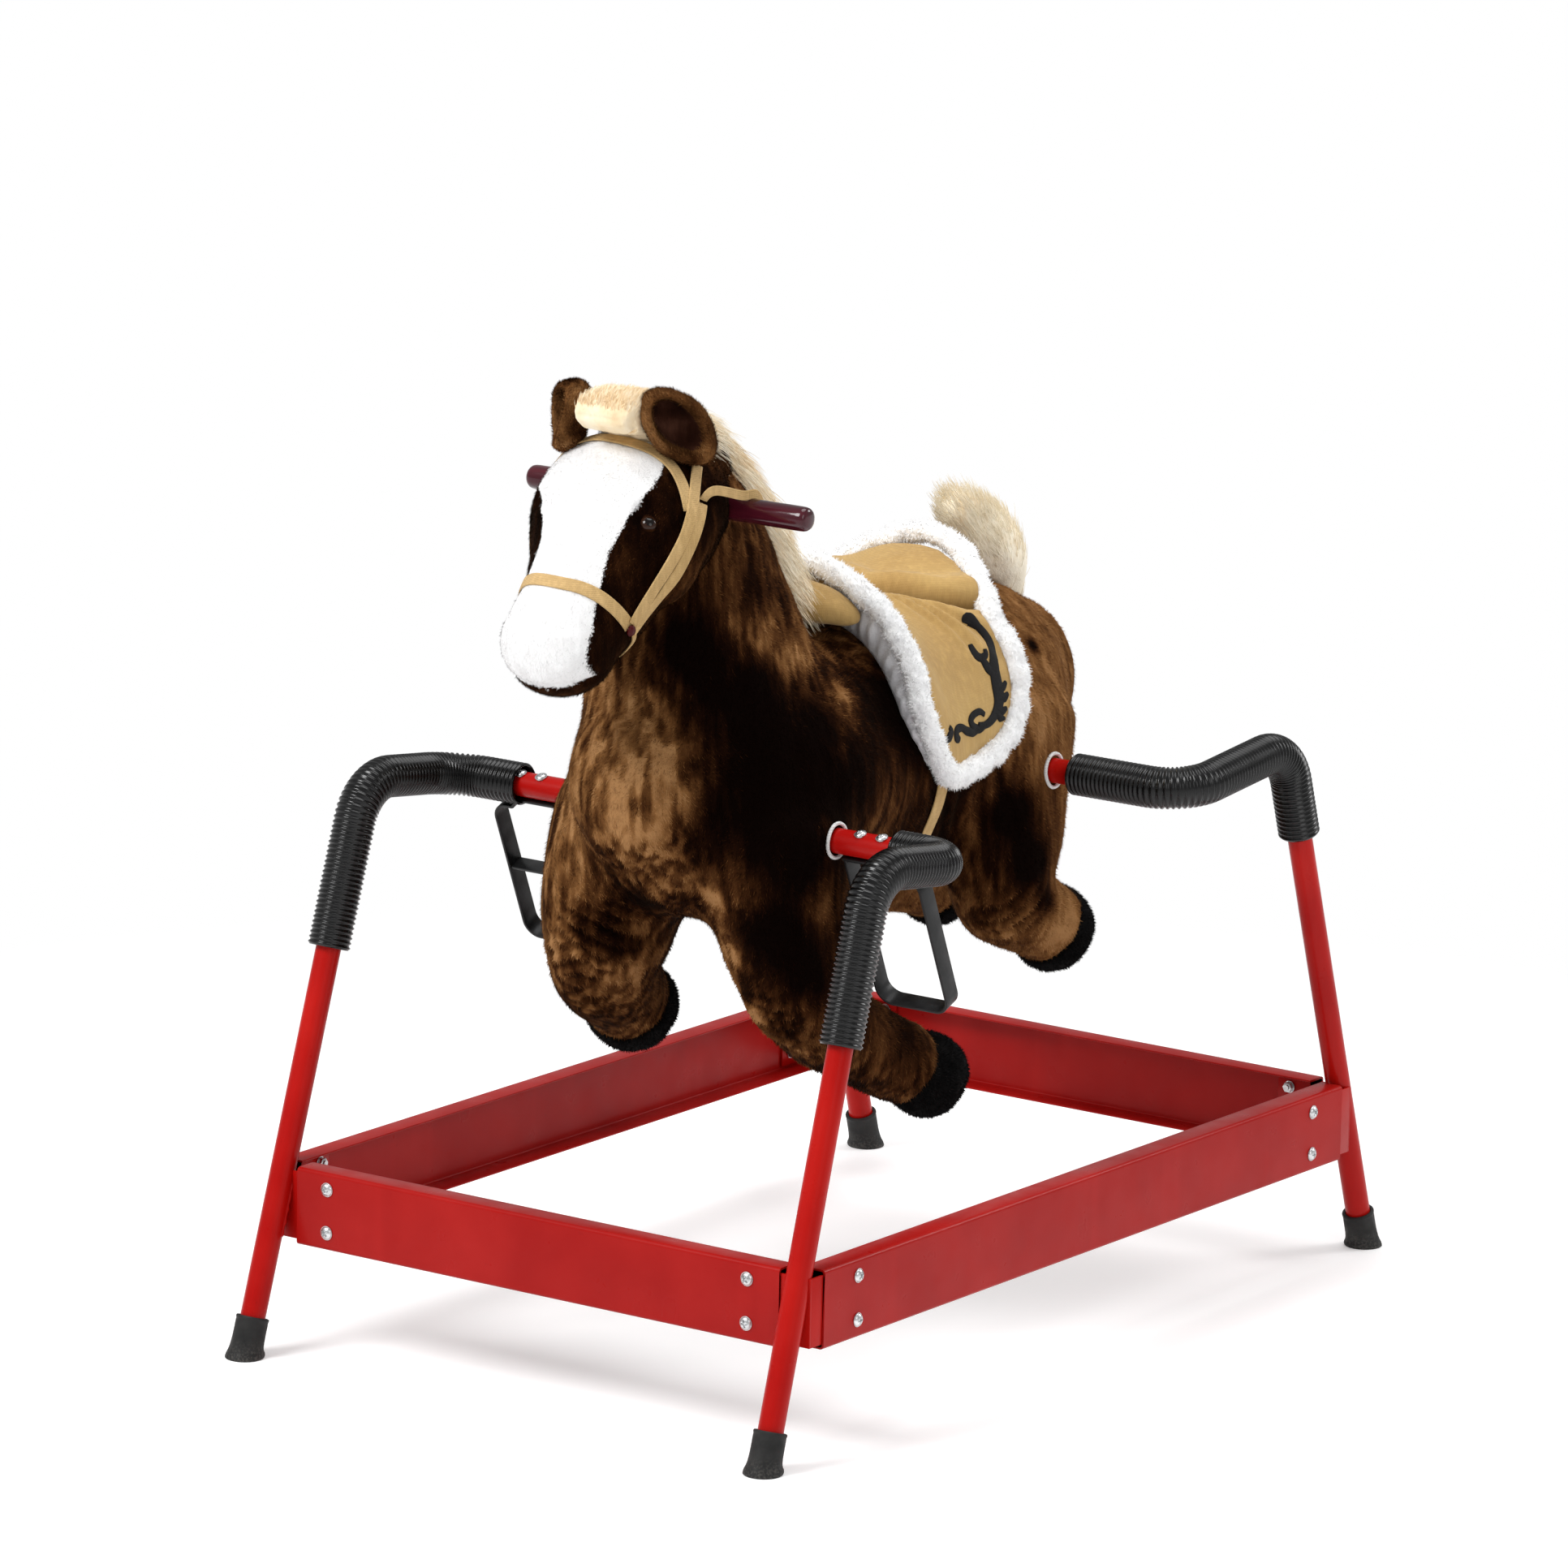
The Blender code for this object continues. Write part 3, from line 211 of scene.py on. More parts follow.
def lattice(cells, seed):
    """A number from 0 to 1 for each whole place."""
    x = cells.astype(np.int64)
    n = x[:, 0] * 374761393 + x[:, 1] * 668265263 + x[:, 2] * 2147483647 + seed * 1274126177
    n = (n ^ (n >> 13)) * 1274126177
    n = n ^ (n >> 16)
    return (n & 0xFFFFFF) / float(0xFFFFFF)


def value_noise(points, scale, seed):
    """Smooth noise from 0 to 1; scale is cells a metre, one number or one for each axis."""
    p = np.asarray(points, float) * np.asarray(scale, float) + 1000.5
    base = np.floor(p)
    f = p - base
    f = f * f * (3 - 2 * f)
    total = np.zeros(len(p))
    for dx in (0, 1):
        for dy in (0, 1):
            for dz in (0, 1):
                w = (f[:, 0] if dx else 1 - f[:, 0]) * (f[:, 1] if dy else 1 - f[:, 1])
                w = w * (f[:, 2] if dz else 1 - f[:, 2])
                total += w * lattice(base + (dx, dy, dz), seed)
    return total


def fbm(points, scale, octaves, seed):
    """Noise of several sizes laid over one another, from 0 to 1."""
    total = np.zeros(len(points))
    weight = 1.0
    sum_w = 0.0
    s = np.asarray(scale, float)
    for i in range(octaves):
        total += weight * value_noise(points, s, seed + i * 17)
        sum_w += weight
        weight *= 0.5
        s = s * 2.03
    return total / sum_w


def unit(v):
    v = np.asarray(v, float)
    n = np.linalg.norm(v, axis=-1, keepdims=True)
    return v / np.maximum(n, 1e-12)


def smoothstep(x, low, high):
    t = np.clip((np.asarray(x, float) - low) / (high - low), 0, 1)
    return t * t * (3 - 2 * t)


def circle(sides):
    return np.linspace(0, 2 * math.pi, sides, endpoint=False)


def oval(centre, across, up, wide, high, sides):
    """A ring of points round a centre, its two radii along two directions."""
    angle = circle(sides)
    return centre + np.outer(np.cos(angle) * wide, across) + np.outer(np.sin(angle) * high, up)


def squared(away, tangent):
    """Directions made square to the tangents, and the directions across both."""
    away = unit(away - tangent * (away * tangent).sum(1, keepdims=True))
    return away, np.cross(tangent, away)


def facing(axis):
    """An axis as a unit vector, and the turn that takes Z to it."""
    axis = Vector(axis).normalized()
    return np.array(axis), np.array(axis.to_track_quat("Z", "Y").to_matrix())


# Materials: each is a Principled shader with procedural colour, roughness and relief

class Shader:
    """A Principled material and the nodes put before it."""

    def __init__(self, mat):
        self.mat = mat
        self.tree = mat.node_tree
        self.bsdf = self.tree.nodes["Principled BSDF"]
        self.space = self.node("TexCoord").outputs["Object"]

    @classmethod
    def new(cls, name, rough, metal=0.0, **sockets):
        mat = bpy.data.materials.new(name)
        mat.use_nodes = True
        made = cls(mat)
        for key, value in {"Roughness": rough, "Metallic": metal, **sockets}.items():
            made.put(value, made.bsdf.inputs[key.replace("_", " ")])
        return made

    def node(self, kind, **sockets):
        """A node with its inputs set to numbers, colours or other nodes' outputs."""
        step = self.tree.nodes.new("ShaderNode" + kind)
        for key, value in sockets.items():
            self.put(value, step.inputs[key])
        return step

    def put(self, source, target):
        if isinstance(source, bpy.types.NodeSocket):
            self.tree.links.new(source, target)
        elif isinstance(source, (tuple, list)) and len(source) == 3 and target.type == "RGBA":
            target.default_value = (*source, 1)
        else:
            target.default_value = source

    def stretch(self, scale, rotation=(0, 0, 0)):
        return self.node("Mapping", Vector=self.space, Scale=scale, Rotation=rotation).outputs["Vector"]

    def noise(self, scale, detail=3.0, rough=0.5, space=None, distortion=0.0):
        return self.node("TexNoise", Vector=space or self.space, Scale=scale, Detail=detail,
                         Roughness=rough, Distortion=distortion).outputs["Fac"]

    def cells(self, scale):
        return self.node("TexVoronoi", Vector=self.space, Scale=scale).outputs["Distance"]

    def wave(self, scale, direction, distortion, detail=1.0):
        step = self.node("TexWave", Vector=self.space, Scale=scale, Distortion=distortion, Detail=detail)
        step.bands_direction = direction
        return step.outputs["Fac"]

    def ramp(self, factor, stops):
        """Stops are (place, colour), where one number is a grey."""
        step = self.node("ValToRGB", Fac=factor)
        band = step.color_ramp
        while len(band.elements) < len(stops):
            band.elements.new(0.5)
        for element, (place, colour) in zip(band.elements, stops):
            element.position = place
            if isinstance(colour, (int, float)):
                colour = (colour, colour, colour)
            element.color = (*colour, 1)
        return step.outputs["Color"]

    def cloud(self, scale, detail, *stops):
        return self.ramp(self.noise(scale, detail), stops)

    def mix(self, factor, a, b):
        step = self.node("Mix", Factor=factor)
        step.data_type = "RGBA"
        self.put(a, step.inputs[6])
        self.put(b, step.inputs[7])
        return step.outputs[2]

    def calc(self, operation, a, b):
        step = self.node("Math")
        step.operation = operation
        self.put(a, step.inputs[0])
        self.put(b, step.inputs[1])
        return step.outputs["Value"]

    def swing(self, factor, size):
        """A factor centred on 0 and scaled."""
        return self.calc("MULTIPLY", self.calc("SUBTRACT", factor, 0.5), size)

    def bump(self, height, distance, strength, below=None):
        step = self.node("Bump", Strength=strength, Distance=distance, Height=height)
        if below is not None:
            self.put(below, step.inputs["Normal"])
        return step.outputs["Normal"]

    def attribute(self, name):
        step = self.node("Attribute")
        step.attribute_name = name
        return step.outputs["Fac"]

    def height(self):
        return self.node("SeparateXYZ", Vector=self.space).outputs["Z"]

    def done(self, colour, normal=None, rough=None):
        for value, socket in ((colour, "Base Color"), (normal, "Normal"), (rough, "Roughness")):
            if value is not None:
                self.put(value, self.bsdf.inputs[socket])
        return self.mat


def dimmed(colour, share):
    return tuple(c * share for c in colour)


def paint_material(name, deep, light, coat):
    """Enamel on steel: faint mottling, orange peel, dust and rubbed spots."""
    s = Shader.new(name, 0.34, Coat_Weight=coat, Coat_Roughness=0.14, Specular_IOR_Level=0.08)
    base = s.mix(s.cloud(9.0, 4.0, (0.35, 0.0), (0.68, 1.0)), deep, light)
    specks = s.cloud(160.0, 3.0, (0.70, 0.0), (0.78, 1.0))
    base = s.mix(s.calc("MULTIPLY", specks, 0.25), base, dimmed(deep, 0.5))
    streak = s.noise(26.0, 2.0, space=s.stretch((1.0, 1.0, 0.12)))
    worn = tuple(min(1, c * 1.3 + 0.004) for c in light)
    base = s.mix(s.ramp(streak, ((0.60, 0.0), (0.80, 0.22))), base, worn)
    peel = s.bump(s.noise(520.0, 1.0), 0.00012, 0.35)
    dents = s.bump(s.noise(22.0, 2.0), 0.0006, 0.22, peel)
    return s.done(base, dents, s.cloud(34.0, 3.0, (0.3, 0.26), (0.75, 0.44)))


def steel_material(name, tint, rough):
    s = Shader.new(name, rough, 1.0)
    grain = s.noise(900.0, 2.0, space=s.stretch((1.0, 1.0, 0.15)))
    colour = s.mix(s.cloud(240.0, 3.0, (0.35, 0.0), (0.7, 1.0)), tint, dimmed(tint, 0.72))
    spots = s.cloud(700.0, 2.0, (0.68, 0.0), (0.76, 1.0))
    colour = s.mix(s.calc("MULTIPLY", spots, 0.4), colour, (0.16, 0.14, 0.12))
    return s.done(colour, s.bump(grain, 0.00008, 0.5),
                  s.ramp(grain, ((0.2, rough * 0.8), (0.8, rough * 1.5))))


def rubber_material(name):
    s = Shader.new(name, 0.62, Specular_IOR_Level=0.3)
    colour = s.cloud(60.0, 4.0, (0.3, 0.007), (0.75, (0.022, 0.021, 0.020)))
    dust = s.ramp(s.height(), ((0.0, 1.0), (0.02, 0.0)))
    grit = s.cloud(420.0, 2.0, (0.45, 0.0), (0.7, 1.0))
    colour = s.mix(s.calc("MULTIPLY", s.calc("MULTIPLY", dust, grit), 0.35), colour, (0.16, 0.145, 0.13))
    return s.done(colour, s.bump(s.noise(700.0, 2.0), 0.0002, 0.5),
                  s.cloud(80.0, 2.0, (0.3, 0.52), (0.7, 0.75)))


def worn_material(name, rough, shine, tone, wear, worn, relief, gloss):
    """Plain plastic or paint, rubbed in spots; tone, wear and gloss say what cloud takes."""
    s = Shader.new(name, rough, Specular_IOR_Level=shine)
    scale, distance, strength = relief
    return s.done(s.mix(s.cloud(*wear), s.cloud(*tone), worn),
                  s.bump(s.noise(scale, 2.0), distance, strength), s.cloud(*gloss))


def handle_material():
    s = Shader.new("maroon_lacquer", 0.20, Coat_Weight=0.45, Coat_Roughness=0.06, Specular_IOR_Level=0.2)
    grain = s.noise(60.0, 4.0, space=s.stretch((0.10, 1.0, 1.0)), distortion=0.6)
    colour = s.ramp(grain, ((0.25, (0.020, 0.002, 0.005)), (0.55, (0.055, 0.005, 0.011)),
                            (0.8, (0.10, 0.010, 0.018))))
    return s.done(colour, s.bump(grain, 0.0002, 0.12), s.ramp(grain, ((0.3, 0.12), (0.8, 0.24))))


def plush_material(name, stops, sheen, nap_scale=1.0):
    """Crushed pile: the tone comes with the mesh, and fine streaks are added to it."""
    s = Shader.new(name, 0.90, Sheen_Weight=0.03, Sheen_Roughness=0.4, Sheen_Tint=sheen,
                   Specular_IOR_Level=0.02)
    streak = s.noise(130.0 * nap_scale, 3.0, 0.6, s.stretch((1.0, 1.0, 0.16), (0.25, 0.1, 0.0)))
    fine = s.noise(900.0 * nap_scale, 2.0)
    total = s.calc("ADD", s.attribute("tone"), s.swing(streak, 0.34))
    total = s.calc("ADD", total, s.swing(fine, 0.14))
    return s.done(s.ramp(total, stops), s.bump(fine, 0.0006, 0.5, s.bump(streak, 0.0020, 0.6)))


def hair_material(name, dark, mid, pale):
    s = Shader.new(name, 0.7, Sheen_Weight=0.2, Sheen_Roughness=0.5, Sheen_Tint=pale,
                   Specular_IOR_Level=0.15)
    total = s.calc("ADD", s.attribute("tone"), s.swing(s.noise(60.0, 3.0, 0.6), 0.6))
    colour = s.ramp(total, ((0.15, dark), (0.5, mid), (0.85, pale)))
    return s.done(colour, s.bump(s.noise(500.0, 3.0, 0.6, s.stretch((1.0, 0.4, 0.4))), 0.0015, 0.7))


def fleece_material():
    s = Shader.new("white_fleece", 0.9, Sheen_Weight=0.3, Sheen_Roughness=0.5, Sheen_Tint=(1, 1, 1),
                   Specular_IOR_Level=0.1)
    colour = s.cloud(75.0, 4.0, (0.25, (0.88, 0.88, 0.89)), (0.55, 0.95), (0.8, 0.98))
    curl = s.bump(s.cells(190.0), 0.0018, 0.6)
    return s.done(colour, s.bump(s.noise(600.0, 3.0), 0.0008, 0.6, curl))


def cloth_material(name, dark, light, thread=0.00055, sheen=0.15, fuzz=0.35):
    """Plain weave cloth with slubs, soft wear and a little fuzz, darkened with painted shade where the mesh
    marks a crease.
    """
    s = Shader.new(name, 0.78, Sheen_Weight=sheen, Sheen_Roughness=0.4, Specular_IOR_Level=0.25)
    turns = 1 / thread / 6.2832
    across, warp, weft = [s.wave(turns, axis, 0.35) for axis in "XYZ"]
    weave = s.calc("MAXIMUM", s.calc("MULTIPLY", warp, weft), s.calc("MULTIPLY", across, weft))
    slub = s.noise(220.0, 3.0, space=s.stretch((1.0, 1.0, 0.2)))
    colour = s.mix(s.cloud(14.0, 4.0, (0.3, 0.0), (0.72, 1.0)), dark, light)
    colour = s.mix(s.calc("MULTIPLY", s.ramp(slub, ((0.45, 0.0), (0.8, 1.0))), fuzz), colour,
                   tuple(min(1.0, c * 1.35) for c in light))
    colour = s.mix(s.calc("MULTIPLY", weave, 0.22), colour, dimmed(dark, 0.62))
    # painted shade: darkened where the mesh's crease value is set, the shadow in the saddle seat's crease
    colour = s.mix(s.attribute("crease"), colour, dimmed(dark, 0.22))
    relief = s.bump(weave, thread * 0.6, 0.55)
    return s.done(colour, s.bump(s.noise(90.0, 3.0), 0.0012, 0.35, relief))


def thread_material(name, dark, light):
    s = Shader.new(name, 0.6, Sheen_Weight=0.04, Sheen_Roughness=0.35, Specular_IOR_Level=0.12)
    strand = s.wave(420.0, "DIAGONAL", 1.5, detail=2.0)
    return s.done(s.mix(strand, dark, light), s.bump(strand, 0.0005, 0.7))


def eye_material():
    s = Shader.new("eye_gloss", 0.08, Specular_IOR_Level=0.30)
    total = s.calc("ADD", s.attribute("tone"), s.calc("MULTIPLY", s.noise(900.0, 3.0), 0.15))
    return s.done(s.ramp(total, ((0.30, (0.002, 0.001, 0.001)), (0.45, (0.012, 0.004, 0.002)),
                                 (0.9, (0.030, 0.011, 0.005)))))


RED = paint_material("red_enamel", (0.37, 0.003, 0.002), (0.46, 0.008, 0.005), 0.14)
RAIL_RED = paint_material("rail_enamel", (0.33, 0.005, 0.004), (0.40, 0.010, 0.008), 0.08)
ZINC = steel_material("zinc_plate", (0.72, 0.73, 0.74), 0.28)
SPRING_STEEL = steel_material("spring_steel", (0.32, 0.32, 0.33), 0.34)
RUBBER = rubber_material("foot_rubber")
HOSE = worn_material(
    "ribbed_hose_plastic", 0.2, 0.36,
    (38.0, 4.0, (0.3, (0.0016, 0.0016, 0.0017)), (0.75, (0.0050, 0.0050, 0.0053))),
    (150.0, 3.0, (0.60, 0.0), (0.78, 0.10)), (0.040, 0.038, 0.036), (600.0, 0.00010, 0.3),
    (70.0, 3.0, (0.3, 0.16), (0.72, 0.30)))
STRIP_BLACK = worn_material(
    "black_strip_paint", 0.42, 0.3, (45.0, 3.0, (0.3, 0.005), (0.75, (0.013, 0.013, 0.014))),
    (120.0, 4.0, (0.66, 0.0), (0.76, 0.5)), (0.035, 0.035, 0.037), (480.0, 0.00015, 0.5),
    (60.0, 3.0, (0.3, 0.32), (0.75, 0.55)))
MAROON = handle_material()
PLUSH = plush_material("brown_crushed_plush", (
    (0.06, (0.0026, 0.0007, 0.0003)), (0.26, (0.0105, 0.0030, 0.0010)), (0.44, (0.040, 0.0135, 0.0040)),
    (0.60, (0.100, 0.040, 0.0125)), (0.78, (0.205, 0.092, 0.031)), (0.96, (0.35, 0.180, 0.072))),
    (0.62, 0.36, 0.16))
PLUSH_BLACK = plush_material("black_plush", (
    (0.15, 0.002), (0.6, (0.006, 0.0055, 0.0055)), (0.95, (0.020, 0.019, 0.019))),
    (0.20, 0.20, 0.21), 1.6)
EAR_INNER = plush_material("ear_lining", (
    (0.12, (0.008, 0.0025, 0.0015)), (0.5, (0.036, 0.012, 0.007)), (0.9, (0.11, 0.045, 0.028))),
    (0.5, 0.3, 0.22), 1.3)
WHITE_PLUSH = plush_material("white_plush", (
    (0.1, (0.74, 0.73, 0.73)), (0.5, 0.86), (0.9, 0.91)), (1, 1, 1), 1.3)
BLOND = hair_material("blond_hair", (0.66, 0.46, 0.25), (0.88, 0.71, 0.47), (0.95, 0.87, 0.71))
FLEECE = fleece_material()
TAN = cloth_material("tan_cotton", (0.42, 0.255, 0.085), (0.53, 0.345, 0.125))
TAN_WEB = cloth_material("tan_webbing", (0.47, 0.300, 0.115), (0.60, 0.405, 0.185), 0.0009, 0.1, 0.5)
LINING = cloth_material("white_lining", (0.86, 0.86, 0.89), (0.93, 0.93, 0.95), 0.0007, 0.1, 0.2)
BLACK_THREAD = thread_material("black_embroidery", (0.003, 0.003, 0.003), (0.014, 0.013, 0.014))
EYE_GLOSS = eye_material()
DARK_RED = paint_material("dark_red_stud", (0.040, 0.001, 0.002), (0.065, 0.003, 0.004), 0.15)
PLASTIC_WHITE = cloth_material("white_ring_cord", (0.66, 0.65, 0.64), (0.85, 0.85, 0.84), 0.0012, 0.1, 0.3)


# Mesh building

def edit(mesh, work):
    """Does some work on the editable form of a mesh."""
    bm = bmesh.new()
    bm.from_mesh(mesh)
    work(bm)
    bm.to_mesh(mesh)
    bm.free()


def face_out(bm):
    bmesh.ops.recalc_face_normals(bm, faces=bm.faces)


class Build:
    """Vertices and faces gathered from several shapes, then one mesh."""

    def __init__(self):
        self.co = []
        self.faces = []
        self.count = 0

    def add(self, co, faces):
        co = np.asarray(co, float).reshape(-1, 3)
        self.co.append(co)
        self.faces += [tuple(i + self.count for i in face) for face in faces]
        self.count += len(co)

    def grid(self, rings, around=True, cap_low=False, cap_high=False):
        """Rings of equal length, one after the other, joined by quads."""
        rows = len(rings)
        side = len(rings[0])
        faces = []
        for i in range(rows - 1):
            for k in range(side if around else side - 1):
                j = (k + 1) % side
                faces.append((i * side + k, i * side + j, (i + 1) * side + j, (i + 1) * side + k))
        co = np.concatenate([np.asarray(r, float) for r in rings])
        extra = []
        for cap, row in ((cap_low, 0), (cap_high, rows - 1)):
            if not cap:
                continue
            extra.append(np.asarray(rings[row], float).mean(0))
            pole = rows * side + len(extra) - 1
            for k in range(side):
                j = (k + 1) % side
                a, b = row * side + k, row * side + j
                faces.append((b, a, pole) if row == 0 else (a, b, pole))
        if extra:
            co = np.concatenate([co, np.array(extra)])
        self.add(co, faces)

    def solid(self, rings):
        self.grid(rings, cap_low=True, cap_high=True)

    def mesh(self, name, place=None):
        mesh = bpy.data.meshes.new(name)
        mesh.from_pydata(np.concatenate(self.co).tolist(), [], self.faces)
        if place:
            mesh.transform(place)
        edit(mesh, face_out)
        return mesh


def piece(name, mesh, mat, body=None, replaces=(), sharp=None, smooth=True):
    obj = bpy.data.objects.new(name, mesh)
    scene.collection.objects.link(obj)
    mesh.materials.clear()
    mesh.materials.append(mat)
    if smooth:
        mesh.shade_smooth()
        if sharp is not None:
            mesh.set_sharp_from_angle(angle=math.radians(sharp))
    if body:
        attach(obj, body)
    if replaces:
        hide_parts(*replaces)
    return obj


def frames_along(points):
    """For each point: the tangent and two directions across, without twist."""
    pts = np.asarray(points, float)
    seg = unit(pts[1:] - pts[:-1])
    tangent = np.concatenate([seg[:1], unit(seg[1:] + seg[:-1]), seg[-1:]])
    side = np.cross(tangent[0], np.eye(3)[np.argmin(abs(tangent[0]))])
    a = np.empty_like(pts)
    for i, t in enumerate(tangent):
        side = side - t * side.dot(t)
        side = side / np.linalg.norm(side)
        a[i] = side
    return tangent, a, np.cross(tangent, a)


def tube_rings(points, radii, sides):
    """Round rings along a line; radii is one number or one for each point."""
    _, a, b = frames_along(points)
    pts = np.asarray(points, float)
    radii = np.broadcast_to(np.asarray(radii, float), (len(pts),))
    return [oval(p, u, v, r, r, sides) for p, u, v, r in zip(pts, a, b, radii)]


def lathe(build, profile, origin, axis, sides):
    """profile is (radius, height) along the axis; a radius of 0 closes that end."""
    axis, turn = facing(axis)
    angle = circle(sides)
    turned = np.stack([np.cos(angle), np.sin(angle), np.zeros(sides)], 1) @ turn.T
    origin = np.asarray(origin, float)
    build.solid([origin + turned * max(r, 1e-5) + axis * h for r, h in profile])


def rounded_path(corners, radii, steps):
    """A line through the corners, each but the ends rounded to its radius."""
    points = [Vector(corners[0])]
    for i in range(1, len(corners) - 1):
        corner = Vector(corners[i])
        back = (Vector(corners[i - 1]) - corner).normalized()
        ahead = (Vector(corners[i + 1]) - corner).normalized()
        half = back.angle(ahead) / 2
        radius = radii[i - 1]
        reach = radius / math.tan(half)
        centre = corner + (back + ahead).normalized() * (radius / math.sin(half))
        start = corner + back * reach - centre
        end = corner + ahead * reach - centre
        turn = start.angle(end)
        for step in range(steps + 1):
            share = step / steps
            point = start * math.sin((1 - share) * turn) + end * math.sin(share * turn)
            points.append(centre + point / math.sin(turn))
    points.append(Vector(corners[-1]))
    return points


class Path:
    """A line measured by the distance along it."""

    def __init__(self, points):
        self.points = np.array([list(p) for p in points], float)
        steps = np.linalg.norm(self.points[1:] - self.points[:-1], axis=1)
        self.marks = np.concatenate([[0.0], np.cumsum(steps)])
        self.length = self.marks[-1]

    def at(self, distance):
        d = np.clip(np.atleast_1d(distance), 0, self.length)
        return np.stack([np.interp(d, self.marks, self.points[:, i]) for i in range(3)], 1)

    def where(self, test):
        """The first distance at which the test holds."""
        d = np.linspace(0, self.length, 6000)
        hits = np.nonzero(test(self.at(d)))[0]
        return d[hits[0]]

    def run(self, start, end):
        inside = (self.marks > start + 1e-4) & (self.marks < end - 1e-4)
        return np.concatenate([self.at(start), self.points[inside], self.at(end)])


BEND_STEPS = 14


def corner_path(sx, sy):
    """The middle line of a leg, its spring and its crossbar, from the floor to x 0."""
    bar_y = FRONT_BAR_Y if sy < 0 else REAR_BAR_Y
    corners = (
        (FOOT_X * sx, FOOT_Y * sy, 0.0),
        (BEND_X * sx, BEND_Y * sy, BEND_Z),
        (BEND_X * sx, bar_y, BAR_Z),
        (0.0, bar_y, BAR_Z),
    )
    return Path(rounded_path(corners, (BEND_R, ELBOW_R), BEND_STEPS))


def rounded_box(build, low, high, radius):
    """A box with its edges bevelled round."""
    low = np.asarray(low, float)
    high = np.asarray(high, float)
    size = high - low
    bm = bmesh.new()
    bmesh.ops.create_cube(bm, size=1.0)
    bmesh.ops.scale(bm, vec=size, verts=bm.verts)
    bmesh.ops.translate(bm, vec=(low + high) / 2, verts=bm.verts)
    bmesh.ops.bevel(bm, geom=bm.edges[:], offset=min(radius, size.min() * 0.45), segments=2,
                    affect="EDGES", profile=0.5)
    bm.verts.index_update()
    build.add([v.co[:] for v in bm.verts], [[v.index for v in f.verts] for f in bm.faces])
    bm.free()


def catmull(points, per):
    """A smooth curve through the points."""
    p = np.asarray(points, float)
    ext = np.concatenate([2 * p[:1] - p[1:2], p, 2 * p[-1:] - p[-2:-1]])
    out = []
    t = np.linspace(0, 1, per, endpoint=False)[:, None]
    for i in range(1, len(ext) - 2):
        a, b, c, d = ext[i - 1], ext[i], ext[i + 1], ext[i + 2]
        out.append(0.5 * (2 * b + (c - a) * t + (2 * a - 5 * b + 4 * c - d) * t ** 2
                          + (3 * b - a - 3 * c + d) * t ** 3))
    return np.concatenate([*out, p[-1:]])


# The steel frame

LEG_WALL = 0.0012
BRACKET_GAP = 0.0003
BEAD_STEPS = 15


def foot_of(path):
    """Where a leg meets the floor, and the way it leans."""
    foot = path.at(0.0)[0]
    return foot, unit(path.at(0.2)[0] - foot)


def make_legs():
    for name, sx, sy in CORNERS:
        path = corner_path(sx, sy)
        end = path.marks[1 + BEND_STEPS] + ARM_PAST_BEND
        run = path.run(0.0052, end)
        b = Build()
        rings = tube_rings(run, TUBE_R, 36)
        mouth = tube_rings(run[-2:], TUBE_R - LEG_WALL, 36)[-1]
        rings += [mouth, mouth + (path.at(end - 0.012)[0] - run[-1])]
        b.solid(rings)
        face_y = END_RAIL_FACE - RAIL_T - BRACKET_GAP
        face_x = SIDE_RAIL_FACE - RAIL_T - BRACKET_GAP
        low = RAIL_LOW + RAIL_T + 0.003
        high = RAIL_HIGH - RAIL_T - 0.003
        wing_x = END_RAIL_HALF - BOLT_IN_END_RAIL - 0.014
        wing_y = SIDE_RAIL_HALF - BOLT_IN_SIDE_RAIL - 0.014
        for (x1, y1), (x2, y2) in (
            ((wing_x, face_y - BRACKET_T), (face_x, face_y)),
            ((face_x - BRACKET_T, wing_y), (face_x, face_y - BRACKET_T / 2)),
        ):
            xs = sorted((x1 * sx, x2 * sx))
            ys = sorted((y1 * sy, y2 * sy))
            rounded_box(b, (xs[0], ys[0], low), (xs[1], ys[1], high), 0.0006)
        foot, lean = foot_of(path)
        for out in ((0, -sy), (-sx, 0)):
            bead = []
            for i in range(BEAD_STEPS):
                z = low + 0.004 + (high - low - 0.008) * i / 14
                centre = foot + lean * (z / lean[2])
                edge = centre + np.array([out[0], out[1], 0.0]) * TUBE_R * 0.93
                if out[1]:
                    edge[1] = centre[1] + out[1] * 0.004
                    edge[0] = centre[0] - sx * TUBE_R * 0.9
                else:
                    edge[0] = centre[0] + out[0] * 0.004
                    edge[1] = centre[1] - sy * TUBE_R * 0.9
                bead.append(edge)
            radii = [0.0020 + 0.0005 * math.sin(i * 2.4) for i in range(BEAD_STEPS)]
            b.solid(tube_rings(bead, radii, 10))
        piece(name + "_leg_tube", b.mesh(name), RED, "frame", [name + "_frame_leg"], 38)


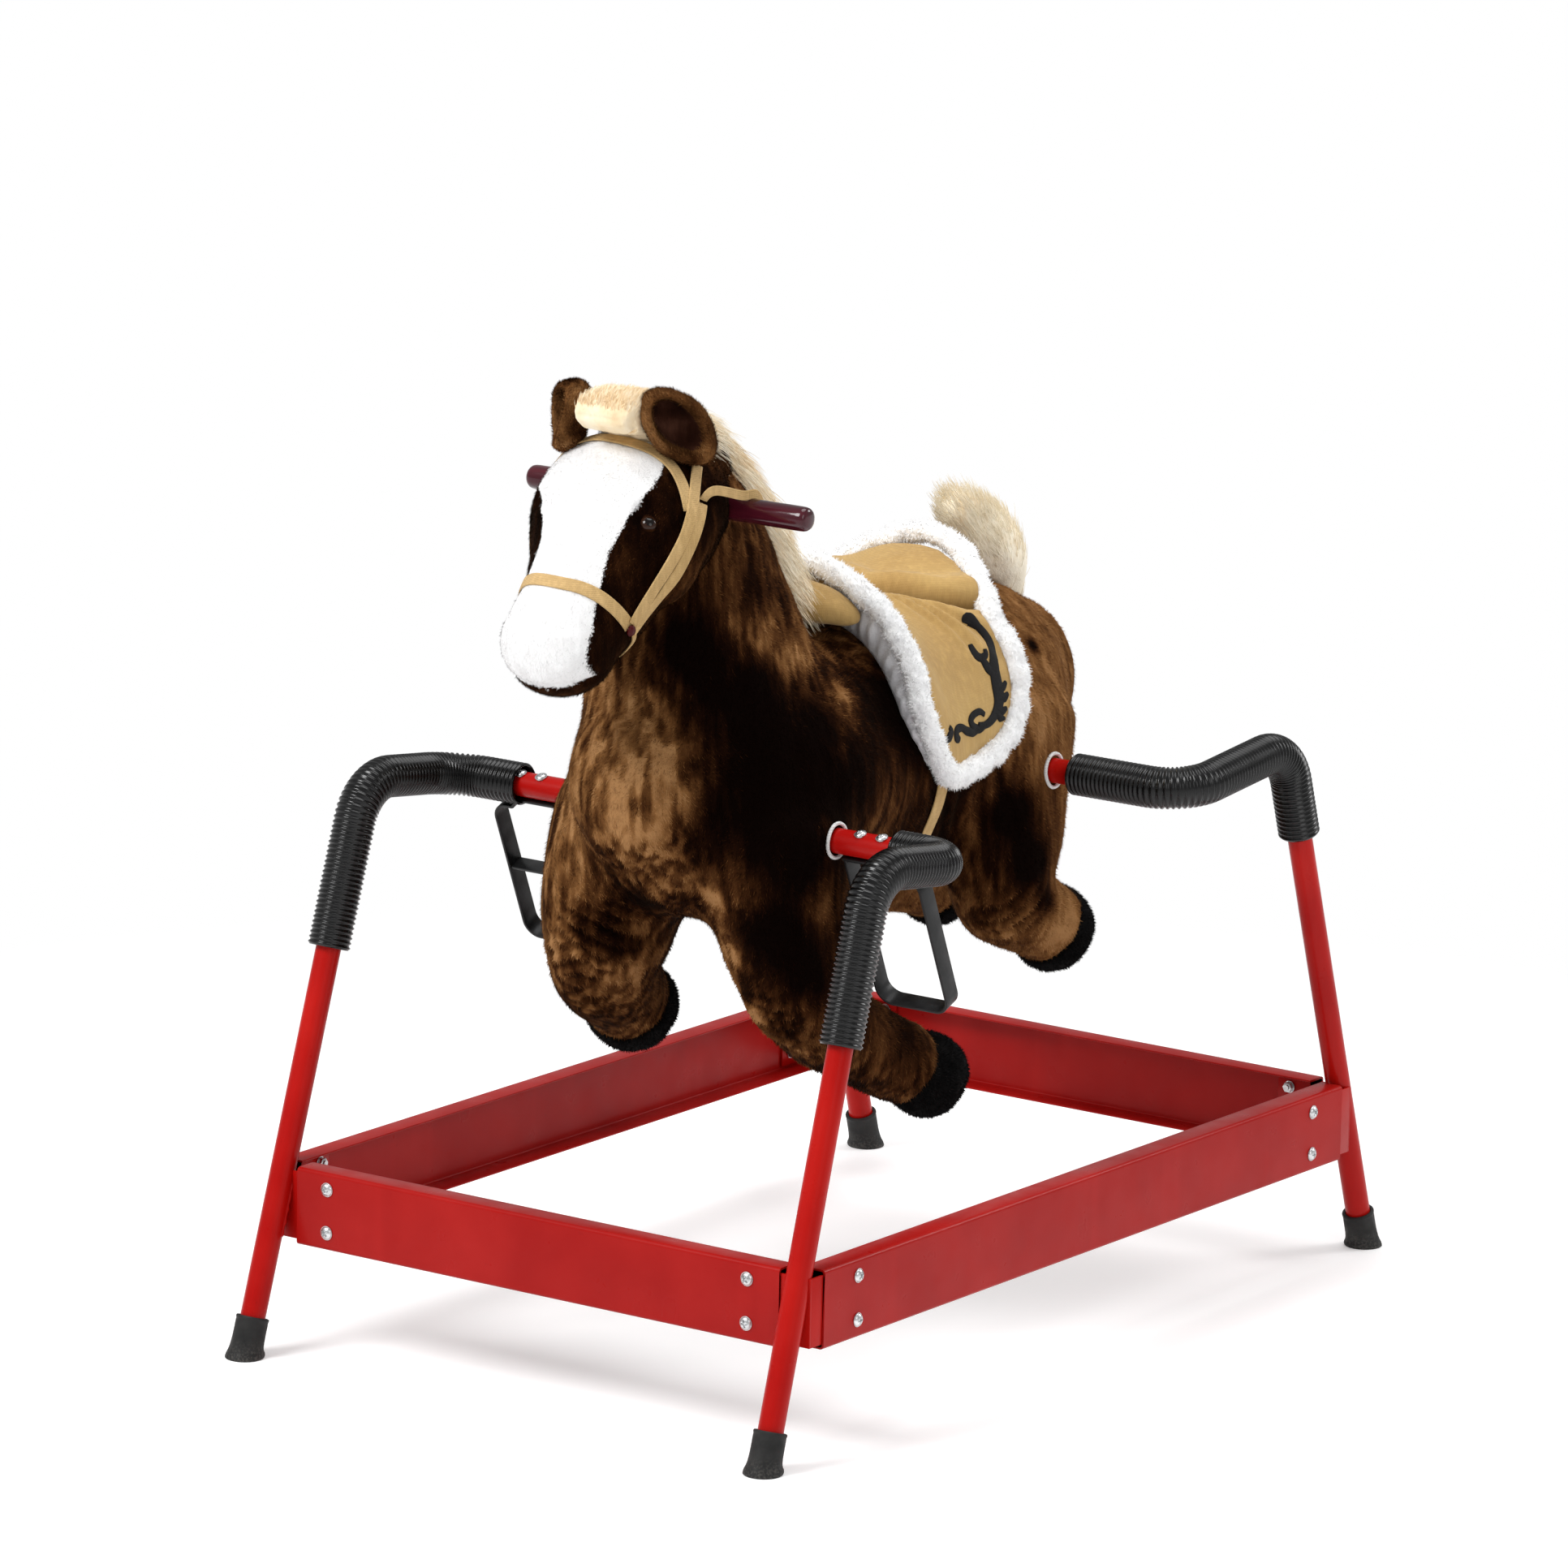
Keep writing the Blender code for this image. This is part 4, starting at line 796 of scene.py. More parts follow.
def make_foot_caps():
    profile = (
        (0.0120, 0.0000), (0.0186, 0.0000), (0.0194, 0.0008), (0.0195, 0.0024), (0.0190, 0.0046),
        (0.0178, 0.0070), (0.0169, 0.0100), (0.0164, 0.0135), (0.0161, 0.0180), (0.0160, 0.0240),
        (0.0160, 0.0340), (0.0159, 0.0372), (0.0163, 0.0378), (0.0164, 0.0392), (0.0160, 0.0402),
        (0.0150, 0.0406), (0.0132, 0.0402), (0.0128, 0.0380),
    )
    for name, sx, sy in CORNERS:
        foot, lean = foot_of(corner_path(sx, sy))
        rings = []
        for r, h in profile:
            share = float(smoothstep(h, 0.002, 0.016))
            normal = unit(np.array([0, 0, 1.0]) * (1 - share) + lean * share)
            side = unit(np.cross(normal, [0, 1, 0]))
            other = np.cross(normal, side)
            centre = foot + lean * h if share > 0 else foot + np.array([0, 0, h])
            ring = oval(centre, side, other, r, r, 40)
            ring[:, 2] = np.maximum(ring[:, 2], 0.0)
            rings.append(ring)
        b = Build()
        b.grid(rings, cap_low=True)
        piece(name + "_rubber_foot", b.mesh(name), RUBBER, "frame", [name + "_foot_cap"],
              50)


def rail_section():
    """Outline of the channel as (out, height), out measured back from the outer face."""
    r = RAIL_EDGE_R
    d = RAIL_FLANGE
    outer = [(d, RAIL_HIGH)]
    inner = [(d, RAIL_HIGH - RAIL_T)]
    for z, start in ((RAIL_HIGH - r, 90), (RAIL_LOW + r, 180)):
        for i in range(7):
            a = math.radians(start + 90 * i / 6)
            outer.append((r + r * math.cos(a), z + r * math.sin(a)))
            inner.append((r + (r - RAIL_T) * math.cos(a), z + (r - RAIL_T) * math.sin(a)))
    outer.append((d, RAIL_LOW))
    inner.append((d, RAIL_LOW + RAIL_T))

    def lip(middle):
        """The rounded edge of a flange."""
        return [(d + RAIL_T * 0.42 * math.sin(t), middle + RAIL_T / 2 * math.cos(t))
                for t in (2.5, 1.57, 0.6)]

    return outer + lip(RAIL_LOW + RAIL_T / 2) + inner[::-1] + lip(RAIL_HIGH - RAIL_T / 2)


def make_rails():
    section = rail_section()
    n = len(section)

    def close_ends(bm):
        bm.verts.ensure_lookup_table()
        for first in (0, len(bm.verts) - n):
            bm.faces.new([bm.verts[first + k] for k in range(n)])
        bmesh.ops.triangulate(bm, faces=[f for f in bm.faces if len(f.verts) > 4])
        face_out(bm)

    for name, half, face, along_x, sign in (
        ("front_rail", END_RAIL_HALF, END_RAIL_FACE, True, -1),
        ("rear_rail", END_RAIL_HALF, END_RAIL_FACE, True, 1),
        ("left_side_rail", SIDE_RAIL_HALF, SIDE_RAIL_FACE, False, 1),
        ("right_side_rail", SIDE_RAIL_HALF, SIDE_RAIL_FACE, False, -1),
    ):
        stops = [-half, -half + 0.0006, *np.linspace(-half + 0.02, half - 0.02, 24), half - 0.0006, half]
        rings = []
        for s in stops:
            outs = [((face - back) * sign, z) for back, z in section]
            rings.append([(s, out, z) if along_x else (out, s, z) for out, z in outs])
        b = Build()
        b.grid(rings)
        mesh = b.mesh(name)
        edit(mesh, close_ends)
        piece(name + "_channel", mesh, RAIL_RED, "frame", [name], 30)


def bolt_places(sx, sy):
    """The place and axis of each bolt at one corner: two in the end rail, two in the side rail."""
    end_x = (END_RAIL_HALF - BOLT_IN_END_RAIL) * sx
    side_y = (SIDE_RAIL_HALF - BOLT_IN_SIDE_RAIL) * sy
    places = [((end_x, END_RAIL_FACE * sy, z), (0, sy, 0)) for z in BOLT_HEIGHTS]
    return places + [((SIDE_RAIL_FACE * sx, side_y, z), (sx, 0, 0)) for z in BOLT_HEIGHTS]


DOME_SHARES = (1.0, 1.0, 0.985, 0.94, 0.86, 0.76, 0.66, 0.58, 0.5, 0.42, 0.34, 0.26, 0.18, 0.1, 0.03)


def domed_head(build, origin, axis, radius, height, spin):
    """A domed head with a cross recess."""
    _, turn = facing(axis)
    angle = circle(32)
    c, s = math.cos(spin), math.sin(spin)
    rings = []
    for share in DOME_SHARES:
        x = np.cos(angle) * (radius * share)
        y = np.sin(angle) * (radius * share)
        h = height * (1 - share ** 2.2) ** 0.62 if share < 1.0 else 0.0
        if not rings:
            h = -0.0002
        xr, yr = abs(x * c - y * s), abs(x * s + y * c)
        in_arm = smoothstep(-np.minimum(xr, yr), -radius * 0.15, -radius * 0.10)
        in_reach = smoothstep(-np.maximum(xr, yr), -radius * 0.56, -radius * 0.48)
        z = h - in_arm * in_reach * height * 0.55
        rings.append(np.stack([x, y, z], 1) @ turn.T + np.asarray(origin, float))
    build.solid(rings)


def make_bolts():
    for name, sx, sy in CORNERS:
        for number, (point, axis) in enumerate(bolt_places(sx, sy), start=1):
            b = Build()
            p = np.asarray(point, float)
            a = np.asarray(axis, float)
            domed_head(b, p + a * 0.0008, axis, 0.0066, 0.0036, 0.2 + number * 0.9 + sx * 0.3)
            lathe(b, ((0.0032, 0.0003), (0.0070, 0.0003), (0.0070, 0.0009), (0.0032, 0.0010)), p, axis, 32)
            grip = RAIL_T + BRACKET_GAP + BRACKET_T
            lathe(b, ((0.0029, -grip - 0.0075), (0.0029, 0.0)), p, axis, 16)
            lathe(b, ((0.0062, -grip - 0.0010), (0.0062, -grip - 0.0004)), p, axis, 24)
            lathe(b, ((0.0048, -grip - 0.0056), (0.0055, -grip - 0.0052), (0.0055, -grip - 0.0016),
                      (0.0048, -grip - 0.0011)), p, axis, 6)
            piece(f"{name}_domed_bolt_{number}", b.mesh(name), ZINC, "frame", [f"{name}_bolt_{number}"],
                  35)


# Springs and their ribbed covers. The front ones are made in two parts: from the frame to the
# level of the rear crossbar, and from there to the front crossbar.

STAGE_Y, STAGE_Z, COVER_TOP_Z = -0.262, 0.540, 0.548


def blend_stages(sx, sy):
    """For each stage: its suffix, two body names and the two places at its ends; the covers and coils read
    only the suffix.
    """
    x = BEND_X * sx
    if sy > 0:
        return (("", "frame", "rear_crossbar", (x, 0.312, COVER_TOP_Z), (0.250 * sx, REAR_BAR_Y, BAR_Z)),)
    meet = (x, STAGE_Y, STAGE_Z)
    return (
        ("_outer", "frame", "rear_crossbar", (x, -0.315, COVER_TOP_Z), meet),
        ("_inner", "rear_crossbar", "horse", meet, (0.250 * sx, FRONT_BAR_Y, BAR_Z)),
    )


def spans(path, stages, start, end):
    """Each stage with the part of the path from start to end that falls to it."""
    marks = [start, end]
    if len(stages) > 1:
        marks.insert(1, path.where(lambda p: p[:, 1] >= STAGE_Y))
    return zip(stages, marks, marks[1:])


COVER_PITCH = 0.0050
RIB_SHAPE = ((0.0, 0.0), (0.20, 0.25), (0.38, 1.0), (0.62, 1.0), (0.80, 0.25))
MOUTH_DEPTHS = np.array([0.024, 0.012, 0.0])
MOUTH_RADII = [COVER_BORE_R - 0.0004, COVER_BORE_R, COVER_BORE_R + 0.0012]


def cover_line(path, start, end, open_low, open_high):
    """Points and radii of the ribs, turned in at an open end."""
    count = max(1, round((end - start) / COVER_PITCH))
    step = (end - start) / count
    marks = [start + (i + share) * step for i in range(count) for share, _ in RIB_SHAPE]
    radii = [COVER_VALLEY_R + (COVER_R - COVER_VALLEY_R) * r for _ in range(count) for _, r in RIB_SHAPE]
    points = path.at(np.array([*marks, end]))
    radii.append(COVER_VALLEY_R)
    if open_low:
        points = np.concatenate([path.at(start + MOUTH_DEPTHS), points])
        radii = MOUTH_RADII + radii
    if open_high:
        points = np.concatenate([points, path.at(end - MOUTH_DEPTHS[::-1])])
        radii = radii + MOUTH_RADII[::-1]
    return points, radii


def cover_rings(points, radii, sides):
    """Tube rings whose frames ignore repeated points at the mouths."""
    pts = np.asarray(points, float)
    nudged = pts.copy()
    for i in range(1, len(nudged)):
        if np.linalg.norm(nudged[i] - nudged[i - 1]) < 1e-7:
            nudged[i] += 1e-6
    seg = nudged[1:] - nudged[:-1]
    away = np.concatenate([seg[:1], seg])
    forward = pts[len(pts) // 2 + 1] - pts[len(pts) // 2]
    tangents = []
    last = None
    for i in range(len(pts)):
        lo, hi = max(i - 6, 0), min(i + 6, len(pts) - 1)
        t = pts[hi] - pts[lo]
        if np.linalg.norm(t) < 1e-6:
            t = away[i]
        t = unit(t)
        if last is not None and t.dot(last) < 0:
            t = -t
        elif last is None and t.dot(forward) < -0.5:
            t = -t
        last = t
        tangents.append(t)
    side = None
    rings = []
    for p, t, r in zip(pts, tangents, radii):
        if side is None:
            side = np.cross(t, np.eye(3)[np.argmin(abs(t))])
        side = unit(side - t * side.dot(t))
        rings.append(oval(p, side, np.cross(t, side), r, r, sides))
    return rings


HOSE_SLID = {"front_right": 0.017}
COIL_PITCH = 0.0042


def make_covers():
    sides = 40
    for name, sx, sy in CORNERS:
        path = corner_path(sx, sy)
        low_z = FRONT_COVER_LOW if sy < 0 else REAR_COVER_LOW
        end_x = FRONT_COVER_END_X if sy < 0 else REAR_COVER_END_X
        stages = blend_stages(sx, sy)
        start = path.where(lambda p: p[:, 2] >= low_z)
        end = path.where(lambda p: abs(p[:, 0]) <= end_x) + HOSE_SLID.get(name, 0.0)
        for (suffix, low_body, high_body, a, c), lo, hi in spans(path, stages, start, end):
            points, radii = cover_line(path, lo, hi, lo == start, hi == end)
            b = Build()
            b.grid(cover_rings(points, radii, sides))
            obj = piece(f"{name}_ribbed_hose{suffix}", b.mesh(name), HOSE,
                        replaces=[name + "_spring_cover"])
            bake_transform(obj)
        start = path.marks[1 + BEND_STEPS] + ARM_PAST_BEND - SPRING_GRIP
        end = path.where(lambda p: abs(p[:, 0]) <= BAR_END_X) + SPRING_GRIP
        turns_per = 1 / COIL_PITCH
        for (suffix, low_body, high_body, a, c), lo, hi in spans(path, stages, start, end):
            marks = np.linspace(lo, hi, int((hi - lo) * turns_per * 10) + 1)
            centre = path.at(marks)
            _, u, v = frames_along(centre)
            angle = (marks - start) * turns_per * 2 * math.pi
            coil = centre + (u * np.cos(angle)[:, None] + v * np.sin(angle)[:, None]) * SPRING_R
            b = Build()
            b.solid(tube_rings(coil, SPRING_WIRE_R, 5))
            obj = piece(f"{name}_coil{suffix}", b.mesh(name), SPRING_STEEL,
                        replaces=[name + "_spring"])
            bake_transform(obj)


# Crossbars, inner frame, handle and stirrups

CHAMFER = 0.0008
WELD_R = 0.0018
SPINE_R, POST_R, SLEEVE_R, SOCKET_R, SLEEVE_HALF = 0.0115, 0.0105, 0.0168, 0.0158, 0.035


def bar_rings(start, end, radius, sides=36):
    start = np.asarray(start, float)
    end = np.asarray(end, float)
    way = unit(end - start)
    points = [start, start + way * CHAMFER, end - way * CHAMFER, end]
    return tube_rings(points, [radius - CHAMFER, radius, radius, radius - CHAMFER], sides)


def cross_bar(half, y, z, radius, sides=36):
    return bar_rings((-half, y, z), (half, y, z), radius, sides)


def weld_ring(build, centre, axis, radius):
    """An uneven bead of weld round a bar."""
    axis, turn = facing(axis)
    count = 44
    angle = circle(count)
    ring = np.stack([np.cos(angle) * radius, np.sin(angle) * radius, np.zeros(count)], 1) @ turn.T
    ring = ring + np.asarray(centre, float)
    rings = []
    for k in (*range(count), 0):
        out = unit(ring[k] - np.asarray(centre, float))
        r = WELD_R * (1 + 0.18 * math.sin(k * 1.9))
        rings.append(oval(ring[k], out, axis, r, r, 8))
    build.grid(rings)


def make_bars():
    front, rear = (0, FRONT_BAR_Y, BAR_Z), (0, REAR_BAR_Y, BAR_Z)
    b = Build()
    b.solid(cross_bar(BAR_END_X, *front[1:], TUBE_R))
    b.solid(bar_rings(front, rear, SPINE_R, 28))
    b.solid(bar_rings(front, (0, HANDLE_Y, HANDLE_Z), POST_R, 28))
    b.solid(cross_bar(SLEEVE_HALF, *rear[1:], SLEEVE_R, 32))
    b.solid(cross_bar(SLEEVE_HALF, HANDLE_Y, HANDLE_Z, SOCKET_R, 32))
    weld_ring(b, (0, FRONT_BAR_Y + TUBE_R, BAR_Z), (0, 1, 0), 0.0117)
    weld_ring(b, (0, REAR_BAR_Y - 0.0165, BAR_Z), (0, 1, 0), 0.0117)
    piece("front_crossbar_and_spine", b.mesh("bars"), RED, "horse", ["horse_frame"], 38)
    b = Build()
    b.solid(cross_bar(BAR_END_X, *rear[1:], TUBE_R))
    piece("rear_crossbar_tube", b.mesh("rear_bar"), RED, "rear_crossbar", ["rear_crossbar"], 38)
    b = Build()
    profile = [(0.0001, -HANDLE_HALF), (0.0070, -HANDLE_HALF + 0.0001), (0.0098, -HANDLE_HALF + 0.0012),
               (0.0112, -HANDLE_HALF + 0.0032), (0.0118, -HANDLE_HALF + 0.0058),
               (0.0120, -HANDLE_HALF + 0.010)]
    middle = [(0.0120 - 0.00025 * math.cos(x * 60) * 0.2, x)
              for x in np.linspace(-HANDLE_HALF + 0.02, HANDLE_HALF - 0.02, 20)]
    profile = profile + middle + [(r, -h) for r, h in reversed(profile)]
    lathe(b, profile, (0, HANDLE_Y, HANDLE_Z), (1, 0, 0), 40)
    piece("grab_handle", b.mesh("handle"), MAROON, "horse", ["handlebar"], 50)


def strip_rings(line, width, thickness):
    """A bent flat strip with rounded edges, mitred at its bends; it lies in a plane of constant y."""
    line = np.asarray(line, float)
    seg = unit(line[1:] - line[:-1])
    tangent = np.concatenate([seg[:1], unit(seg[1:] + seg[:-1]), seg[-1:]])
    w, t, e = width / 2, thickness / 2, 0.0007
    outline = ((t, w - e), (t - e * 0.3, w - e * 0.3), (t - e, w), (-t + e, w), (-t + e * 0.3, w - e * 0.3),
               (-t, w - e), (-t, -w + e), (-t + e * 0.3, -w + e * 0.3), (-t + e, -w), (t - e, -w),
               (t - e * 0.3, -w + e * 0.3), (t, -w + e))
    rings = []
    for i, p in enumerate(line):
        across = np.array([-tangent[i][2], 0, tangent[i][0]])
        stretch = 1.0
        if 0 < i < len(line) - 1:
            stretch = 1 / max(0.5, abs(seg[i - 1].dot(tangent[i])))
        rings.append([p + across * a * stretch + np.array([0, c, 0]) for a, c in outline])
    return rings


def make_stirrups():
    inner = STIRRUP_IN_X
    half_w, half_t = STRIP_W / 2, STRIP_T / 2
    top = -TUBE_R - 0.0003 - half_t
    under = -COVER_R - 0.0015 - half_t
    loop = (
        (STIRRUP_TOP_IN, 0, top),
        (STIRRUP_STEP_X - 0.004, 0, top),
        (STIRRUP_STEP_X + 0.004, 0, under),
        (STIRRUP_OUT_X, 0, under),
        (STIRRUP_OUT_X, 0, -STIRRUP_DROP),
        (inner, 0, -STIRRUP_DROP),
        (inner, 0, top - STRIP_T - 0.0003),
    )
    line = rounded_path(loop, (0.004, 0.004, 0.016, 0.016, 0.016), 9)
    for name, sx, cross in (("left", 1, False), ("right", -1, True)):
        parts = Build()
        parts.solid(strip_rings([p[:] for p in line], STRIP_W, STRIP_T))
        rounded_box(parts, (inner - half_t, -half_w, top - STRIP_T), (inner + half_t, half_w, top), 0.0005)
        bead = [(inner + 0.0016, -0.008 + 0.016 * i / 9, top - half_t - 0.0008) for i in range(10)]
        parts.solid(tube_rings(bead, [0.0012 + 0.0003 * math.sin(i * 2.1) for i in range(10)], 8))
        if cross:
            rounded_box(parts, (inner, -half_w + 0.001, -STIRRUP_TREAD_DROP - half_t),
                        (STIRRUP_OUT_X, half_w - 0.001, -STIRRUP_TREAD_DROP + half_t), 0.0007)
            for x in (inner + 0.0018, STIRRUP_OUT_X - 0.0018):
                bead = [(x, -0.007 + 0.014 * i / 9, -STIRRUP_TREAD_DROP - half_t) for i in range(10)]
                parts.solid(tube_rings(bead, 0.0012, 8))
        studs = Build()
        for x in STIRRUP_BOLTS_X:
            at, up = (x, 0, 0), (0, 0, 1)
            lathe(studs, ((0.0050, TUBE_R - 0.0008), (0.0062, TUBE_R + 0.0002), (0.0062, TUBE_R + 0.0010),
                          (0.0030, TUBE_R + 0.0012)), at, up, 24)
            domed_head(studs, (x, 0, TUBE_R + 0.0009), up, 0.0052, 0.0021, 0.5)
            lathe(studs, ((0.0045, top - 0.0058), (0.0050, top - 0.0054), (0.0050, top - 0.0020),
                          (0.0045, top - 0.0016)), at, up, 6)
            lathe(studs, ((0.0022, top - 0.0075), (0.0022, TUBE_R)), at, up, 12)
        place = (Matrix.Translation((0, FRONT_BAR_Y, BAR_Z)) @ Matrix.Rotation(STIRRUP_LEAN, 4, "X")
                 @ Matrix.Scale(sx, 4, (1, 0, 0)))
        for build, label, mat, slot, node in (
            (parts, "stirrup_strip", STRIP_BLACK, "black_steel", [name + "_stirrup"]),
            (studs, "stirrup_bolts", ZINC, "zinc", []),
        ):
            piece(f"{name}_{label}", build.mesh(name + label, place), mat, "horse", node, 35)


# Stuffed forms

def station_curve(stations, per):
    """Stations softened as one subdivision does it, then a smooth curve through them."""
    s = np.array(stations, float)
    soft = s.copy()
    soft[1:-1] = s[1:-1] * 0.75 + (s[:-2] + s[2:]) * 0.125
    return catmull(soft, per)


DOME = 0.55


def loft_rings(stations, sides, per=6, grow=0.0, power=2.0):
    """Rings over (x, y, z, half width, half depth) stations, domed at both ends."""
    s = station_curve(stations, per)
    centres = s[:, :3]
    n = len(s)
    tangent = np.empty((n, 3))
    for i in range(n):
        tangent[i] = unit(centres[min(i + 1, n - 1)] - centres[max(i - 1, 0)])
    c, d = np.cos(circle(sides)), np.sin(circle(sides))
    ca = np.sign(c) * abs(c) ** (2 / power)
    sa = np.sign(d) * abs(d) ** (2 / power)

    def ring(centre, t, w, d):
        side = unit(np.array([1.0, 0, 0]) - t * t[0])
        return centre + np.outer(ca * w, side) + np.outer(sa * d, np.cross(t, side))

    def dome(end, out):
        w, d = s[end, 3] + grow, s[end, 4] + grow
        reach = DOME * min(s[end, 3], s[end, 4]) * 1.15 + grow
        caps = []
        for k in range(6, 0, -1):
            a = math.pi / 2 * k / 6.35
            centre = centres[end] + out * reach * math.sin(a)
            caps.append(ring(centre, tangent[end], w * math.cos(a), d * math.cos(a)))
        return caps

    body = [ring(centres[i], tangent[i], s[i, 3] + grow, s[i, 4] + grow) for i in range(n)]
    return dome(0, -tangent[0]) + body + dome(n - 1, tangent[-1])[::-1]


def loft(stations, **kw):
    b = Build()
    b.solid(loft_rings(stations, **kw))
    return b


def evaluated(obj):
    graph = bpy.context.evaluated_depsgraph_get()
    return bpy.data.meshes.new_from_object(obj.evaluated_get(graph))


def voxel_skin(name, mesh, voxel):
    """A scratch object with the mesh, and one skin round all the mesh's shapes."""
    obj = bpy.data.objects.new(name, mesh)
    scene.collection.objects.link(obj)
    step = obj.modifiers.new("skin", "REMESH")
    step.mode = "VOXEL"
    step.voxel_size = voxel
    bpy.context.view_layer.update()
    return obj, evaluated(obj)


def remeshed(name, build, voxel):
    obj, out = voxel_skin(name + "_raw", build.mesh(name), voxel)
    bpy.data.objects.remove(obj)
    out.name = name
    return out


def arrays(mesh):
    co = np.empty(len(mesh.vertices) * 3)
    mesh.vertices.foreach_get("co", co)
    normal = np.empty(len(mesh.vertices) * 3)
    mesh.vertices.foreach_get("normal", normal)
    return co.reshape(-1, 3), normal.reshape(-1, 3)


def set_points(mesh, co):
    mesh.vertices.foreach_set("co", np.asarray(co, np.float32).ravel())
    mesh.update()


def neighbour_mean(mesh):
    """A function that gives the mean of each point's neighbours."""
    e = np.empty(len(mesh.edges) * 2, np.int64)
    mesh.edges.foreach_get("vertices", e)
    n = len(mesh.vertices)
    degree = np.maximum(np.bincount(e, minlength=n), 1).astype(float)[:, None]
    e = e.reshape(-1, 2)

    def mean(co):
        total = np.zeros_like(co)
        for axis in range(3):
            total[:, axis] = (np.bincount(e[:, 0], co[e[:, 1], axis], n)
                              + np.bincount(e[:, 1], co[e[:, 0], axis], n))
        return total / degree

    return mean


def relax(mesh, rounds):
    """Smoothing that keeps volume: one step in, one step out."""
    co, _ = arrays(mesh)
    mean = neighbour_mean(mesh)
    for _ in range(rounds):
        for factor in (0.5, -0.52):
            co = co + (mean(co) - co) * factor
    set_points(mesh, co)


def melt(mesh, rounds):
    """Fills the creases where forms meet: only hollow places move, and only outwards."""
    co, _ = arrays(mesh)
    mean = neighbour_mean(mesh)
    for i in range(rounds):
        step = mean(co) - co
        if i % 10 == 0:
            set_points(mesh, co)
            _, normal = arrays(mesh)
        outward = (step * normal).sum(1)
        co = co + step * np.where(outward > 0, 0.75, 0.06)[:, None]
    set_points(mesh, co)
    relax(mesh, 6)


def ruffle(mesh, scale, octaves, seed, height, middle=0.5):
    """Moves a surface in and out by noise."""
    co, normal = arrays(mesh)
    set_points(mesh, co + normal * ((fbm(co, scale, octaves, seed) - middle) * height)[:, None])


def set_value(mesh, name, values):
    """One number for each point, which the material reads by name."""
    attribute = mesh.attributes.get(name) or mesh.attributes.new(name, "FLOAT", "POINT")
    attribute.data.foreach_set("value", np.asarray(values, np.float32))


def set_tone(mesh, values):
    set_value(mesh, "tone", values)


def sample_surface(mesh, count, seed):
    """Points spread over a mesh by area: places, smooth normals and the draws that go on from there."""
    mesh.calc_loop_triangles()
    tri = np.empty(len(mesh.loop_triangles) * 3, np.int64)
    mesh.loop_triangles.foreach_get("vertices", tri)
    tri = tri.reshape(-1, 3)
    co, normal = arrays(mesh)
    a, b, c = co[tri[:, 0]], co[tri[:, 1]], co[tri[:, 2]]
    area = np.linalg.norm(np.cross(b - a, c - a), axis=1) / 2
    rng = np.random.default_rng(seed)
    pick = rng.choice(len(tri), size=count, p=area / area.sum())
    r1 = np.sqrt(rng.random(count))[:, None]
    r2 = rng.random(count)[:, None]
    t = tri[pick]
    wa, wb, wc = 1 - r1, r1 * (1 - r2), r1 * r2
    place = co[t[:, 0]] * wa + co[t[:, 1]] * wb + co[t[:, 2]] * wc
    across = unit(normal[t[:, 0]] * wa + normal[t[:, 1]] * wb + normal[t[:, 2]] * wc)
    return place, across, rng


def array_mesh(name, co, faces):
    """A mesh from an array of points and one of faces, which all have as many corners."""
    mesh = bpy.data.meshes.new(name)
    mesh.vertices.add(co.size // 3)
    mesh.vertices.foreach_set("co", co.astype(np.float32).ravel())
    mesh.loops.add(faces.size)
    mesh.loops.foreach_set("vertex_index", faces.astype(np.int32).ravel())
    mesh.polygons.add(len(faces))
    mesh.polygons.foreach_set("loop_start", np.arange(0, faces.size, faces.shape[1], dtype=np.int32))
    mesh.update(calc_edges=True)
    mesh.validate()
    return mesh


PILE_ROOT = 0.0006
LOCK_PARTS, LOCK_TAPER = 6, 0.25


def pile(name, mat, place, normal, flow, length, width, lean, tone, rng):
    """Short pile on the horse: one thin leaning triangle for each tuft."""
    n = len(place)
    flow = unit(flow - normal * (flow * normal).sum(1, keepdims=True))
    wander = rng.normal(0, 0.35, n)[:, None]
    flow = unit(flow + np.cross(normal, flow) * wander)
    side = np.cross(normal, flow)
    lean = np.clip(lean + rng.normal(0, 0.14, n), 0.1, 1.4)[:, None]
    long = (length * rng.uniform(0.6, 1.25, n))[:, None]
    half = (width * rng.uniform(0.7, 1.3, n))[:, None] / 2
    root = place - normal * PILE_ROOT
    tip = root + (flow * np.sin(lean) + normal * np.cos(lean)) * long
    co = np.stack([root + side * half, root - side * half, tip], 1)
    mesh = array_mesh(name, co, np.arange(n * 3).reshape(-1, 3))
    spread = np.repeat(tone, 3)
    spread[2::3] += 0.10
    set_tone(mesh, spread)
    piece(name, mesh, mat, "horse", smooth=False)


